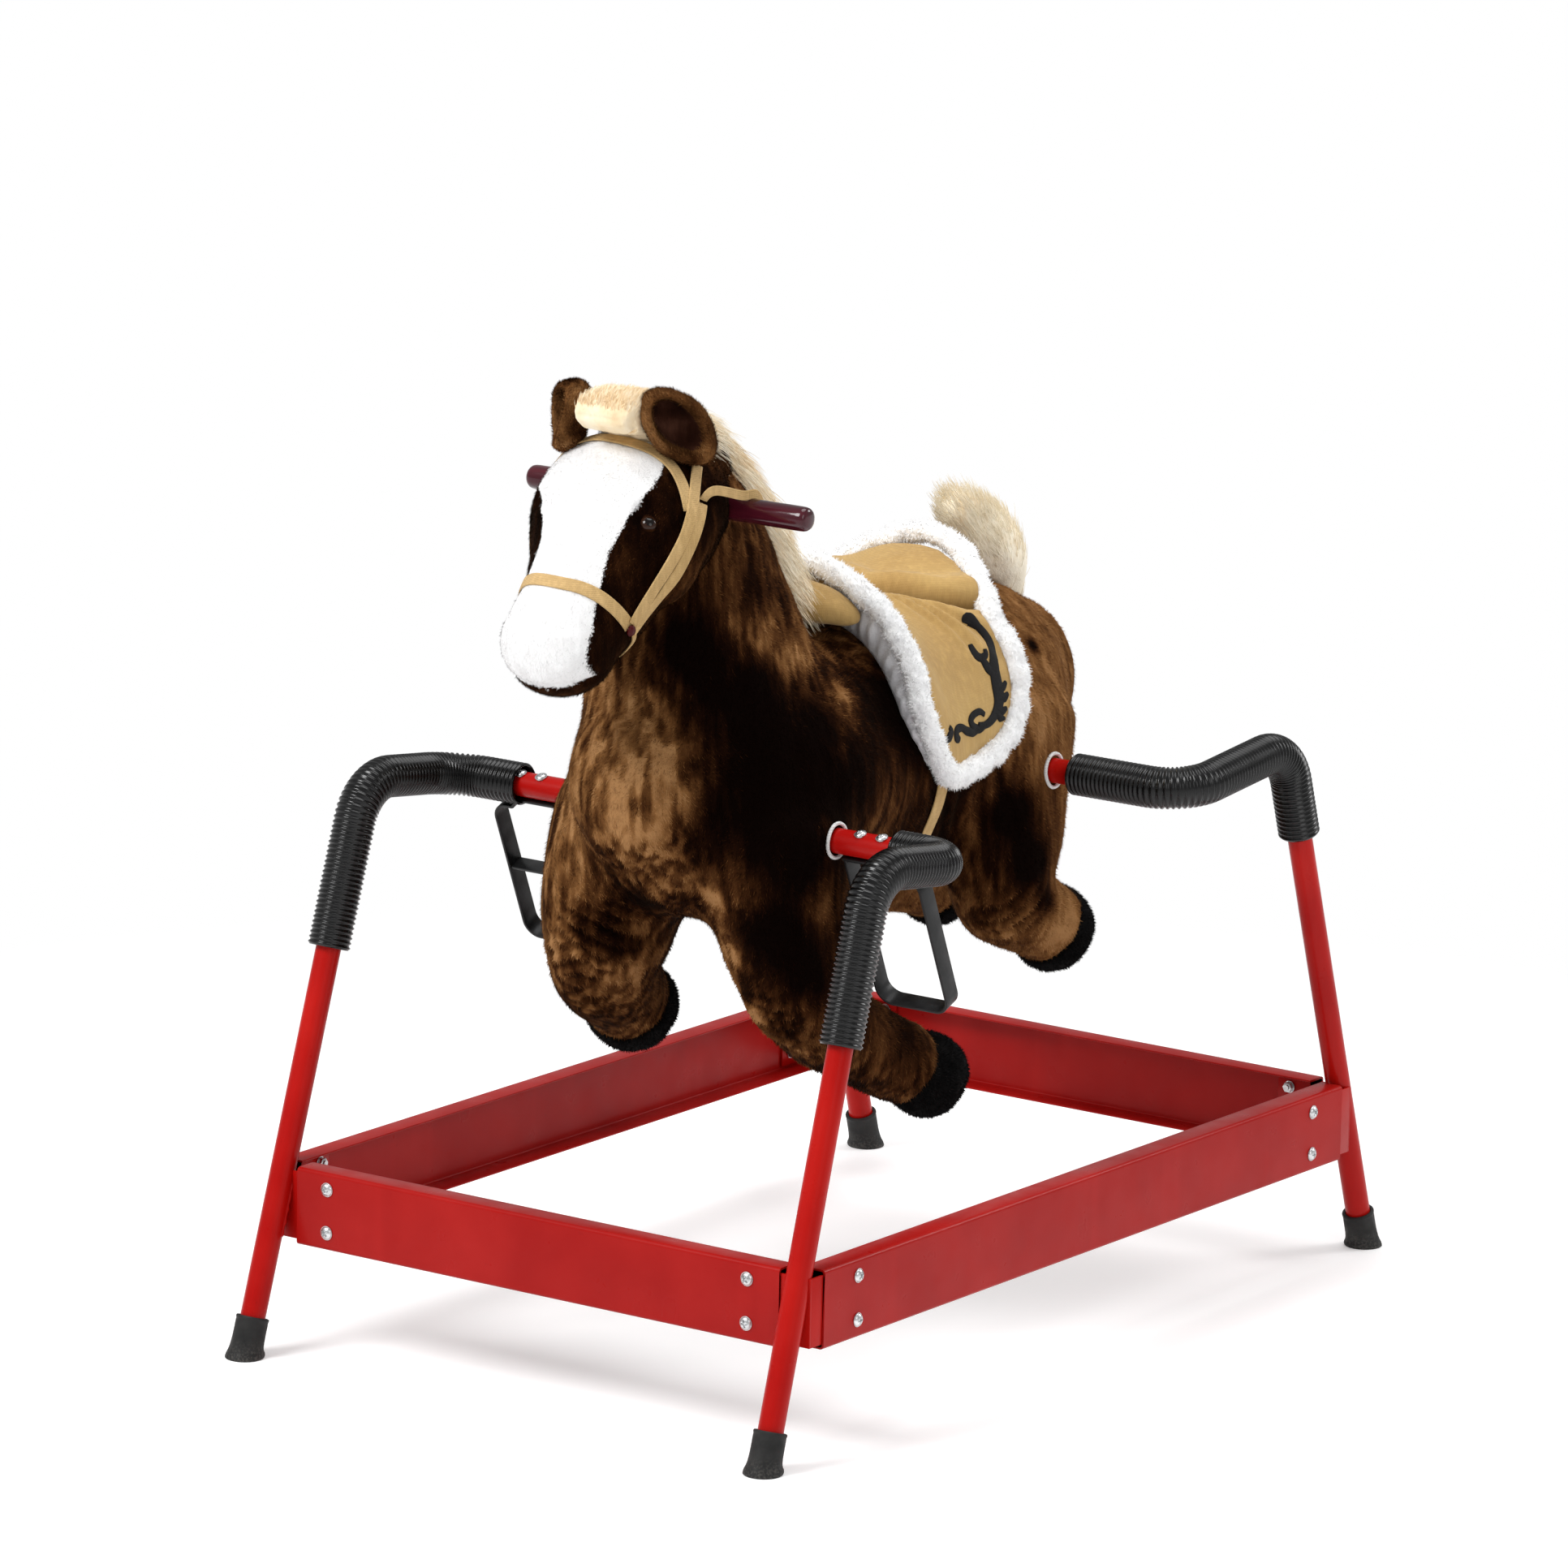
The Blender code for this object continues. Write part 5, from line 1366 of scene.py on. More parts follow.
def strand_mesh(name, root, way, bend, length, width, tone, rng):
    """Long hair: narrow ribbons that start along way and are drawn towards bend."""
    n = len(root)
    length = np.broadcast_to(np.asarray(length, float), (n,)) * rng.uniform(0.75, 1.15, n)
    step = (length / LOCK_PARTS)[:, None]
    pos = root.copy()
    d = unit(way)
    turn = rng.normal(0, 1, (n, 3))
    side0 = unit(np.cross(d, turn))
    rows = []
    for k in range(LOCK_PARTS + 1):
        half = width * (1 - (1 - LOCK_TAPER) * (k / LOCK_PARTS) ** 1.5) / 2
        side = unit(side0 - d * (side0 * d).sum(1, keepdims=True))
        rows += [pos - side * half, pos + side * half]
        d = unit(d + (bend + rng.normal(0, 0.10, (n, 3))) * (1.0 / LOCK_PARTS))
        pos = pos + d * step
    base = np.arange(n)[:, None] * len(rows)
    faces = [base + k + np.array([0, 1, 3, 2]) for k in range(0, LOCK_PARTS * 2, 2)]
    mesh = array_mesh(name, np.stack(rows, 1), np.concatenate(faces))
    set_tone(mesh, np.repeat(tone, len(rows)))
    mesh.shade_smooth()
    return mesh


def tree_of(mesh):
    mesh.calc_loop_triangles()
    return BVHTree.FromPolygons([v.co for v in mesh.vertices], [t.vertices[:] for t in mesh.loop_triangles])


def photo_points(tree, pixels):
    """Points of the photograph laid on a surface."""
    hits = [tree.ray_cast(CAM_POS, pixel_ray(u, v))[0] for u, v in pixels]
    return [hit[:] for hit in hits if hit is not None]


def nearest(tree, points):
    """The nearest places of a surface, and its directions there."""
    hits = [tree.find_nearest(Vector(p)) for p in points]
    return np.array([list(h[0]) for h in hits]), np.array([list(h[1]) for h in hits])


PILE = 0.0050

# Spots where the pile is painted darker (amount below 0) or lighter: place, radius, amount. Partly crushed or
# brushed pile, partly painted light and shade: lighter on the chest's side towards the key light, darker on
# the side and legs turned from it, under the belly and on the far side, with painted highlights along lit
# edges
CRUSH_AND_PAINTED_LIGHT = (
    ((-0.020, -0.362, 0.600), 0.060, 0.30), ((-0.095, -0.305, 0.531), 0.045, 0.28),
    ((0.040, -0.358, 0.600), 0.040, 0.16), ((0.023, -0.349, 0.644), 0.040, 0.12),
    ((-0.097, -0.313, 0.475), 0.045, 0.20), ((0.008, -0.365, 0.541), 0.040, 0.12),
    ((-0.055, -0.320, 0.680), 0.045, 0.20), ((0.070, -0.310, 0.684), 0.040, -0.38),
    ((0.057, -0.320, 0.731), 0.030, -0.45), ((0.121, -0.258, 0.603), 0.055, -0.60),
    ((0.100, -0.271, 0.658), 0.045, -0.45), ((0.150, -0.270, 0.522), 0.050, -0.55),
    ((0.095, -0.300, 0.566), 0.040, -0.38), ((0.082, -0.307, 0.518), 0.030, -0.20),
    ((0.154, -0.195, 0.557), 0.045, -0.28), ((0.147, -0.132, 0.602), 0.040, -0.30),
    ((0.118, -0.078, 0.645), 0.040, -0.50), ((0.136, -0.048, 0.610), 0.035, -0.45),
    ((0.095, -0.253, 0.726), 0.026, 0.50), ((0.104, -0.204, 0.695), 0.028, 0.50),
    ((0.122, -0.160, 0.659), 0.024, 0.38), ((0.082, -0.282, 0.752), 0.020, 0.25),
    ((-0.059, -0.298, 0.422), 0.022, -0.35), ((-0.041, -0.267, 0.407), 0.016, -0.35),
    ((-0.074, -0.311, 0.446), 0.012, -0.25), ((-0.104, -0.301, 0.391), 0.025, 0.22),
    ((-0.061, -0.265, 0.359), 0.028, 0.14), ((-0.016, -0.290, 0.460), 0.025, -0.35),
    ((0.079, -0.296, 0.476), 0.013, 0.45), ((0.083, -0.271, 0.415), 0.013, 0.50),
    ((0.090, -0.247, 0.355), 0.014, 0.50), ((0.121, -0.214, 0.318), 0.014, 0.42),
    ((0.129, -0.277, 0.448), 0.035, -0.55), ((0.152, -0.241, 0.405), 0.035, -0.50),
    ((0.160, -0.169, 0.352), 0.030, -0.30), ((0.101, 0.202, 0.650), 0.009, -0.70),
    ((0.140, 0.175, 0.590), 0.060, 0.10), ((0.140, 0.106, 0.503), 0.022, -0.60),
    ((0.154, 0.132, 0.451), 0.024, -0.65), ((0.154, 0.162, 0.404), 0.014, -0.45),
    ((0.145, 0.193, 0.355), 0.030, 0.22), ((0.134, 0.121, 0.375), 0.025, 0.12),
    ((0.091, 0.052, 0.464), 0.030, -0.20), ((0.130, 0.020, 0.520), 0.045, -0.22),
    ((-0.130, -0.200, 0.600), 0.060, -0.25), ((-0.120, -0.060, 0.560), 0.070, -0.25),
    ((-0.115, 0.120, 0.450), 0.050, -0.35), ((-0.105, 0.190, 0.640), 0.014, -0.50),
    ((0.000, 0.330, 0.540), 0.050, -0.12), ((0.000, -0.100, 0.420), 0.090, -0.30),
    ((0.145, -0.020, 0.520), 0.090, -0.22), ((0.125, 0.050, 0.600), 0.060, -0.15),
    ((0.125, -0.195, 0.345), 0.035, -0.32), ((0.150, -0.100, 0.310), 0.045, -0.34),
    ((0.140, -0.200, 0.640), 0.050, -0.25), ((0.135, 0.134, 0.518), 0.035, -0.28),
    ((0.135, 0.146, 0.472), 0.042, -0.34), ((0.135, 0.139, 0.414), 0.038, -0.32),
    ((0.130, -0.160, 0.690), 0.045, -0.20), ((0.100, -0.295, 0.775), 0.055, -0.24),
    ((0.110, -0.255, 0.720), 0.050, -0.20), ((-0.040, -0.265, 0.565), 0.070, -0.12),
    ((-0.030, -0.250, 0.480), 0.050, -0.12), ((0.000, -0.270, 0.620), 0.060, -0.12),
)

# Puckers drawn into the seams: place, radius, way across the folds, their spacing and depth. Their height is
# also painted into the pile's tone: painted shade in the valleys, painted light on the crests
FOLDS = (
    ((-0.058, -0.300, 0.418), 0.042, (0.45, 0.0, 0.90), 0.0135, 0.0036),
    ((-0.098, -0.300, 0.392), 0.036, (-0.35, 0.0, 0.94), 0.0150, 0.0018),
    ((-0.095, -0.262, 0.352), 0.026, (0.10, -0.5, 0.86), 0.0120, 0.0028),
    ((0.020, -0.345, 0.650), 0.060, (0.80, 0.0, 0.60), 0.0240, 0.0022),
    ((0.000, -0.340, 0.480), 0.050, (0.95, 0.0, 0.30), 0.0150, 0.0026),
    ((0.100, -0.235, 0.352), 0.034, (0.20, -0.5, 0.84), 0.0140, 0.0028),
    ((0.140, 0.130, 0.400), 0.036, (0.10, -0.7, 0.70), 0.0150, 0.0026),
    ((0.140, 0.060, 0.520), 0.060, (0.10, 0.9, 0.42), 0.0260, 0.0020),
    ((-0.130, 0.130, 0.420), 0.040, (0.10, -0.7, 0.70), 0.0160, 0.0026),
    ((-0.130, -0.080, 0.560), 0.070, (0.10, 0.9, 0.42), 0.0280, 0.0022),
)


def crisp(values, soft):
    """Noise turned into patches with fairly sharp borders, from -0.5 to 0.5."""
    return smoothstep(values, 0.5 - soft, 0.5 + soft) - 0.5


def fold_wave(co):
    """Height of the puckers at each place."""
    wave = np.zeros(len(co))
    bend = (value_noise(co, 24, 61) - 0.5) * 5.0
    for place, radius, across, spacing, depth in FOLDS:
        rel = co - np.array(place)
        near = np.exp(-((rel ** 2).sum(1) / radius ** 2) ** 1.5)
        phase = rel @ unit(np.array(across)) / spacing * 2 * math.pi
        wave = wave + depth * near * np.cos(phase + bend)
    return wave


def coat_tone(co, normal):
    """How light the pile is at each place, from 0 to 1: crushed patches and streaks, with painted light and
    shade from the spots, the folds and the faces turned down.
    """
    y = co[:, 1]
    broad = fbm(co, (9, 9, 6), 3, 3)
    patch = fbm(co, (36, 36, 16), 3, 11)
    streak = fbm(co, (170, 170, 20), 2, 23)
    crackle = fbm(co, (95, 95, 55), 2, 29)
    rump = smoothstep(y, 0.08, 0.17)
    rough = 1 - 0.60 * rump
    tone = 0.53 + 0.15 * rump + (broad - 0.5) * 0.36 * rough
    # painted light and shade, with some crushed pile, from the table of spots
    for place, radius, amount in CRUSH_AND_PAINTED_LIGHT:
        d = ((co - np.array(place)) ** 2).sum(1) / radius ** 2
        tone = tone + amount * np.exp(-d * (0.55 + 0.9 * patch))
    detail = crisp(patch, 0.12) * 0.16 + crisp(streak, 0.12) * 0.30 + crisp(crackle, 0.10) * 0.13
    tone = tone + detail * rough * (0.35 + 0.75 * smoothstep(tone, 0.15, 0.75))
    # painted shade in the fold valleys and painted light on their crests
    tone = tone + fold_wave(co) * 38
    # painted shade: darker where the surface faces down
    return tone - 0.10 * smoothstep(-normal[:, 2], 0.25, 0.8)


def coat_flow(co):
    """The way the pile lies: back and down, turned about in patches."""
    n = len(co)
    flow = np.stack([np.zeros(n), np.full(n, 0.45), np.full(n, -1.0)], 1)
    turn = (fbm(co, 14, 2, 41) - 0.5) * 4.2
    lift = (fbm(co, 17, 2, 57) - 0.5) * 2.4
    flow[:, 0] += turn
    flow[:, 1] += lift
    return flow


SHANK_PAST = 0.024


def shank(name, stations):
    """A leg's stations, carried on into its hoof; the front left leg ends in a ball instead."""
    if name == "front_left":
        return stations
    end = np.array(stations[-1][:3])
    tip = end + unit(end - np.array(stations[-2][:3])) * SHANK_PAST
    return (*stations, (*tip, *stations[-1][3:]))


def make_hide():
    """Torso, neck and legs in one sewn skin, with seams and a crushed pile that carries painted light and
    shade.
    """
    b = loft(BODY, sides=56)
    for part in (loft(NECK, sides=48), *(loft(shank(n, s), sides=40) for n, s in LEGS)):
        b.add(np.concatenate(part.co), part.faces)
    mesh = remeshed("hide", b, 0.0048)
    melt(mesh, 70)
    co, normal = arrays(mesh)
    lumps = (fbm(co, (15, 15, 11), 3, 5) - 0.5) * 0.0095
    folds = (fbm(co, (52, 52, 22), 2, 9) - 0.5) * 0.0034 + fold_wave(co)
    seam = np.exp(-(co[:, 0] / 0.0030) ** 2) * 0.0016
    set_points(mesh, co + normal * (lumps + folds - seam)[:, None])
    co, normal = arrays(mesh)
    # painted shade along the middle seam's groove, darker with the dent's depth
    tone = coat_tone(co, normal) - seam * 60
    set_tone(mesh, tone)
    nodes = ["torso", "neck"] + [n + "_horse_leg" for n, _ in LEGS]
    hide = piece("horse_hide", mesh, PLUSH, "horse", nodes)
    count = 190000
    place, across, rng = sample_surface(mesh, count, 7)
    # the pile takes the same painted light and shade as the hide
    tone = coat_tone(place, across) + rng.normal(0, 0.075, count)
    pile("horse_hide_pile", PLUSH, place, across, coat_flow(place), PILE, 0.0010, 1.05,
         tone, rng)
    return mesh


# Head

def head_axes(co):
    """Down the face from the poll, and out from the head's axis towards the forehead."""
    way = unit(np.array([0, -0.452 + 0.312, 0.744 - 0.858]))
    front = np.array([0, way[2], -way[1]])
    rel = co - np.array([0, -0.312, 0.858])
    return rel @ way, rel @ front, way, front


def forehead_swell(x, s):
    """The forehead is stuffed fuller on the horse's right than on its left."""
    along = smoothstep(s, -0.06, -0.02) * (1 - smoothstep(s, 0.03, 0.14))
    return 1 + 0.15 * smoothstep(-x, 0.0, 0.04) * along


def make_head():
    b = loft(HEAD, sides=56)
    ball = bmesh.new()
    bmesh.ops.create_icosphere(ball, subdivisions=4, radius=1.0)
    for centre, size in (
        ((0, -0.452, 0.742), (0.0575, 0.052, 0.050)),
        ((0.043, -0.350, 0.812), (0.045, 0.052, 0.052)),
        ((-0.043, -0.350, 0.812), (0.045, 0.052, 0.052)),
    ):
        b.add([[v.co[i] * size[i] + centre[i] for i in range(3)] for v in ball.verts],
              [[v.index for v in f.verts] for f in ball.faces])
    ball.free()
    mesh = remeshed("head", b, 0.0036)
    relax(mesh, 12)
    co, _ = arrays(mesh)
    s, f, _, front = head_axes(co)
    jaw = smoothstep(s, -0.03, 0.01) * (1 - smoothstep(s, 0.09, 0.14))
    co = co - front * (np.minimum(f, 0) * 0.20 * jaw)[:, None]
    co[:, 0] *= (1 - 0.06 * jaw * smoothstep(-f, -0.01, 0.04)) * forehead_swell(co[:, 0], s)
    set_points(mesh, co)
    co, normal = arrays(mesh)
    for side in (-1, 1):
        eye = np.array([0.0595 * side, -0.394, 0.866])
        d = np.linalg.norm(co - eye, axis=1)
        co = co - normal * (0.0035 * np.exp(-(d / 0.013) ** 2))[:, None]
        co = co + normal * (0.0022 * np.exp(-((d - 0.019) / 0.005) ** 2))[:, None]
    mouth = np.exp(-((co[:, 2] - 0.713 - 0.25 * (co[:, 1] + 0.47)) / 0.0028) ** 2)
    mouth = mouth * smoothstep(-co[:, 1], 0.448, 0.462)
    co = co - normal * (0.0035 * mouth)[:, None]
    co = co + normal * ((fbm(co, 22, 2, 15) - 0.5) * 0.0045)[:, None]
    set_points(mesh, co)
    return mesh


make_legs()
make_foot_caps()
make_rails()
make_bolts()
make_covers()
make_bars()
make_stirrups()
HIDE = make_hide()
HEAD_MESH = make_head()


# Places measured on two zoomed parts of the photograph

def face(x, y):
    return (600 + x / 3.26, 440 + y / 3.26)


def flank(x, y):
    return (880 + x / 2.418, 560 + y / 2.418)


def on_face(points):
    """Points of the zoomed head, laid on it."""
    return photo_points(HEAD_TREE, [face(*p) for p in points])


def mirror(points):
    return [(-p[0], p[1], p[2]) for p in points]


# The outer edge of the blaze and muzzle, which is crisp in the pile

BLAZE_EDGE = ((760, 330), (720, 400), (700, 470), (660, 530), (600, 610), (550, 680), (490, 780),
              (450, 940), (435, 1000), (425, 1100), (405, 1170))


def plush_face_material():
    mat = PLUSH.copy()
    mat.name = "brown_and_white_plush"
    s = Shader(mat)
    brown = s.bsdf.inputs["Base Color"].links[0].from_socket
    edge = s.calc("ADD", s.attribute("white"), s.swing(s.noise(420.0, 3.0), 0.006))
    inside = s.ramp(s.calc("ADD", s.calc("MULTIPLY", edge, 500.0), 0.5), ((0.1, 0.0), (0.9, 1.0)))
    cloud = s.cloud(60.0, 3.0, (0.3, (0.80, 0.79, 0.79)), (0.7, 0.90))
    s.put(s.mix(inside, brown, cloud), s.bsdf.inputs["Base Color"])
    return mat


FACE = plush_face_material()


def white_depth(co, table):
    """Distance inside the white part of the face, negative outside it."""
    s, f, _, _ = head_axes(co)
    half = np.interp(s, table[0], table[1])
    half = half * (1 + 0.40 * (co[:, 0] < 0) * smoothstep(co[:, 2], 0.845, 0.890))
    depth = half - abs(co[:, 0]) / forehead_swell(co[:, 0], s)
    mouth = co[:, 2] - (0.7105 + 0.25 * (co[:, 1] + 0.47))
    depth = np.minimum(depth, mouth)
    return np.minimum(depth, (f + 0.012) * 0.8)


def blaze_table():
    """Half the width of the white part against the way down the face."""
    points = np.array(on_face(BLAZE_EDGE))
    s, _, _, _ = head_axes(points)
    order = np.argsort(s)
    return s[order], abs(points[order, 0])


def head_tone(co):
    broad = fbm(co, (16, 16, 12), 3, 63)
    streak = fbm(co, (120, 120, 45), 2, 71)
    tone = 0.25 + (broad - 0.5) * 0.75 + (streak - 0.5) * 0.4
    return tone + 0.20 * smoothstep(co[:, 2], 0.865, 0.92)


def finish_head(mesh):
    table = blaze_table()
    co, _ = arrays(mesh)
    set_tone(mesh, head_tone(co))
    set_value(mesh, "white", white_depth(co, table))
    head = piece("horse_head", mesh, FACE, "horse", ["head"])
    count = 60000
    place, across, rng = sample_surface(mesh, count, 19)
    inside = white_depth(place, table) + rng.normal(0, 0.0010, count)
    flow = np.tile(head_axes(place)[2], (count, 1)) + (fbm(place, 30, 2, 77)[:, None] - 0.5)
    tone = head_tone(place) + rng.normal(0, 0.09, count)
    for label, keep, mat, long in (
        ("brown", inside <= 0, PLUSH, 0.0040),
        ("white", inside > 0, WHITE_PLUSH, 0.0032),
    ):
        shade = tone[keep] if label == "brown" else rng.uniform(0.2, 1.0, int(keep.sum()))
        pile(f"horse_head_{label}_pile", mat, place[keep], across[keep], flow[keep], long,
             0.0008, 0.95, shade, rng)


def make_eyes():
    hit = Vector(on_face([(650, 668)])[0])
    _, normal, _, _ = HEAD_TREE.find_nearest(hit)
    for side, label in ((1, "left"), (-1, "right")):
        n = Vector((normal.x * side, normal.y, normal.z)).normalized()
        at = Vector((hit.x * side, hit.y, hit.z))
        centre = at - n * 0.0028
        turn = n.to_track_quat("Z", "Y").to_matrix()
        bm = bmesh.new()
        bmesh.ops.create_icosphere(bm, subdivisions=4, radius=0.0088)
        flat = [v.co.copy() for v in bm.verts]
        for v in bm.verts:
            v.co.z *= 0.86
        bmesh.ops.transform(bm, matrix=Matrix.Translation(centre) @ turn.to_4x4(), verts=bm.verts)
        mesh = bpy.data.meshes.new(label + "_eye")
        bm.to_mesh(mesh)
        bm.free()
        set_tone(mesh, [0.25 if p.z > 0.0075 else 0.75 for p in flat])
        piece(label + "_glass_eye", mesh, EYE_GLOSS, "horse", [label + "_eye"])
        angle = circle(40)
        ring = np.stack([np.cos(angle) * 0.0090, np.sin(angle) * 0.0080,
                         0.0018 - 0.0016 * np.cos(angle * 2)], 1)
        ring = ring @ np.array(turn).T + np.array(centre)
        b = Build()
        b.grid(ring_tube(ring, 0.0013 + 0.0003 * np.sin(angle * 3), 10))
        mesh = b.mesh(label + "_lid")
        set_tone(mesh, np.full(len(mesh.vertices), 0.30))
        piece(label + "_eyelid", mesh, PLUSH, "horse")


def ring_tube(points, radii, sides):
    """Rings of a closed tube, the first repeated at the end."""
    pts = np.asarray(points, float)
    n = len(pts)
    radii = np.broadcast_to(np.asarray(radii, float), (n,))
    centre = pts.mean(0)
    rings = []
    for k in (*range(n), 0):
        t = unit(pts[(k + 1) % n] - pts[k - 1])
        out = pts[k] - centre
        out = unit(out - t * out.dot(t))
        rings.append(oval(pts[k], out, np.cross(t, out), radii[k], radii[k], sides))
    return rings


# Rings of an ear: half length, half width, height over the rim and shift, from lining to back
EAR_RINGS = (
    (0.0030, 0.0024, -0.0165, 0.005), (0.0180, 0.0092, -0.0160, 0.005), (0.0272, 0.0146, -0.0110, 0.004),
    (0.0308, 0.0172, -0.0020, 0.003), (0.0336, 0.0196, 0.0060, 0.002), (0.0368, 0.0224, 0.0090, 0.001),
    (0.0402, 0.0256, 0.0076, 0.0), (0.0430, 0.0280, 0.0030, 0.0), (0.0445, 0.0290, -0.0035, 0.0),
    (0.0435, 0.0282, -0.0100, 0.0), (0.0390, 0.0250, -0.0155, 0.0), (0.0300, 0.0190, -0.0195, 0.0),
    (0.0160, 0.0105, -0.0218, 0.0), (0.0030, 0.0020, -0.0225, 0.0),
)
EAR_AT = (0.0675, -0.3560, 0.9440)
RIGHT_EAR_DROP = (-0.003, 0.000, -0.005)


def make_ears():
    angle = circle(56)
    for side, label in ((1, "left"), (-1, "right")):
        long = unit([-0.50 * side, -0.50, 0.71])
        out = np.array([0.665 * side, -0.743, 0.082])
        out = unit(out - long * out.dot(long))
        across = np.cross(out, long) * side
        at = np.array([EAR_AT[0] * side, EAR_AT[1], EAR_AT[2]])
        if side < 0:
            at = at + RIGHT_EAR_DROP
        rings = []
        for a, b, h, shift in EAR_RINGS:
            c = np.cos(angle)
            width = b * (1 - 0.16 * np.clip(-c, 0, 1) ** 1.2)
            bend = -0.006 * np.clip(c, 0, 1) ** 2 - 0.004 * np.clip(-c, 0, 1) ** 2
            rings.append(at + np.outer(c * a + shift, long) + np.outer(np.sin(angle) * width, across)
                         + np.outer(h + bend * a / 0.04, out))
        for part, rows, mat in (("lining", rings[:4], EAR_INNER), ("shell", rings[3:], PLUSH)):
            b = Build()
            b.grid(densify(rows, 3), cap_low=part == "lining", cap_high=part == "shell")
            mesh = b.mesh(f"{label}_ear_{part}")
            ruffle(mesh, 45, 2, 83, 0.004 if part == "shell" else 0.002)
            co, _ = arrays(mesh)
            if part == "lining":
                set_tone(mesh, 0.45 + (fbm(co, 60, 3, 87) - 0.5) * 0.9)
            else:
                set_tone(mesh, 0.64 + (fbm(co, (40, 40, 26), 3, 87) - 0.5) * 0.9)
            obj = piece(f"{label}_ear_{part}", mesh, mat, "horse", [label + "_ear"])
            if part == "shell":
                count = 9000
                place, away, rng = sample_surface(mesh, count, 91)
                flow = np.tile(long, (count, 1))
                shade = 0.64 + (fbm(place, (40, 40, 26), 3, 87) - 0.5) * 0.9 + rng.normal(0, 0.10, count)
                pile(label + "_ear_pile", PLUSH, place, away, flow, 0.0042, 0.0009, 0.9,
                     shade, rng)


def densify(rings, per):
    """More rings between the given ones, on smooth curves through them."""
    stack = np.array(rings)
    return list(np.stack([catmull(stack[:, k], per) for k in range(stack.shape[1])], 1))


# Straps that lie on a surface

def eased(line):
    """A line drawn half way towards its neighbours' means, its ends kept."""
    line[1:-1] = line[1:-1] * 0.5 + (line[:-2] + line[2:]) * 0.25


def laid(tree, guide, lift):
    """A guide line drawn on to a surface: places and the surface's directions there."""
    path = Path(guide)
    pts = path.at(np.linspace(0, path.length, max(4, int(path.length / 0.004))))
    for _ in range(3):
        pts, _ = nearest(tree, pts)
        eased(pts)
    on, away = nearest(tree, pts)
    for _ in range(3):
        eased(away)
        on[1:-1] = on[1:-1] * 0.6 + (on[:-2] + on[2:]) * 0.2
    away = unit(away)
    return on + away * lift, away


# Section of a webbing strap: its width across, its thickness up, with two rows of stitching
BAND_OUTLINE = ((-0.5, -0.4), (-0.5, 0.4), (-0.46, 0.8), (-0.34, 1.0), (-0.30, 0.82), (-0.15, 1.04),
                (0.0, 1.1), (0.15, 1.04), (0.30, 0.82), (0.34, 1.0), (0.46, 0.8), (0.5, 0.4),
                (0.5, -0.4), (0.25, -1.0), (-0.25, -1.0))


def band_rings(points, away, width, thickness):
    """A flat strap: its width across the line, its thickness along away."""
    pts = np.asarray(points, float)
    tangent = unit(np.concatenate([pts[1:2] - pts[:1], pts[2:] - pts[:-2], pts[-1:] - pts[-2:-1]]))
    away, side = squared(away, tangent)
    t = thickness / 2
    return [[p + across * (a * width) + up * (c * t) for a, c in BAND_OUTLINE]
            for p, across, up in zip(pts, side, away)]


def strap(build, guide, width, lift):
    points, away = laid(HEAD_TREE, guide, lift)
    build.solid(band_rings(points, away, width, 0.0022))


HIDDEN_STRAP_BACK = 0.026


NOSE_LINE = ((190, 935), (230, 920), (300, 912), (370, 925), (440, 955), (500, 1000), (545, 1048),
             (566, 1080))
BROW_LINE = ((385, 345), (420, 333), (460, 328), (507, 336), (601, 356), (696, 400), (743, 443), (780, 509),
             (795, 556), (808, 619))
CHEEK_LINE_1 = ((575, 1072), (600, 1030), (642, 965), (702, 875), (757, 785), (795, 705), (820, 620),
                (826, 550), (832, 480), (838, 440))
CHEEK_LINE_2 = ((580, 1105), (645, 1015), (708, 940), (760, 870), (796, 800), (834, 712), (854, 640),
                (860, 592))


def make_bridle():
    """Noseband, browband, and on each side two cheek straps, a chin strap and a stud."""
    nose, brow = on_face(NOSE_LINE), on_face(BROW_LINE)
    cheek_1, cheek_2 = on_face(CHEEK_LINE_1), on_face(CHEEK_LINE_2)
    build = Build()

    def set_back(points):
        """A line of the hidden side, drawn further back round the fuller forehead."""
        return [(x, y + HIDDEN_STRAP_BACK, z) for x, y, z in mirror(points)]

    left = [p for p in nose if p[0] > 0.004]
    strap(build, mirror(left)[::-1] + left, 0.0130, 0.0016)
    low = [p for p in brow if p[0] > 0.004 and p[2] < 0.895]
    strap(build, set_back(low)[::-1] + brow, 0.0120, 0.0022)
    for turn in (lambda p: p, set_back):
        strap(build, turn(cheek_1), 0.0118, 0.0030)
        strap(build, turn(cheek_2), 0.0118, 0.0020)
        junction = np.array(turn([cheek_1[0]])[0])
        below = junction + np.array([0, 0.022, -0.030])
        strap(build, [junction, below, (below[0] * 0.4, below[1] + 0.006, below[2] - 0.024)], 0.0060, 0.0012)
    piece("webbing_bridle", build.mesh("bridle"), TAN_WEB, "horse", ["bridle"])
    stud = Build()
    at = Vector(on_face([(566, 1095)])[0])
    _, normal, _, _ = HEAD_TREE.find_nearest(at)
    for side in (1, -1):
        p = Vector((at.x * side, at.y, at.z))
        n = Vector((normal.x * side, normal.y, normal.z)).normalized()
        lathe(stud, ((0.0050, 0.0030), (0.0056, 0.0040), (0.0054, 0.0052), (0.0044, 0.0062), (0.0028, 0.0068),
                     (0.0, 0.0070)), p, n, 24)
    piece("bridle_studs", stud.mesh("studs"), DARK_RED, "horse")


# Mane, forelock and tail

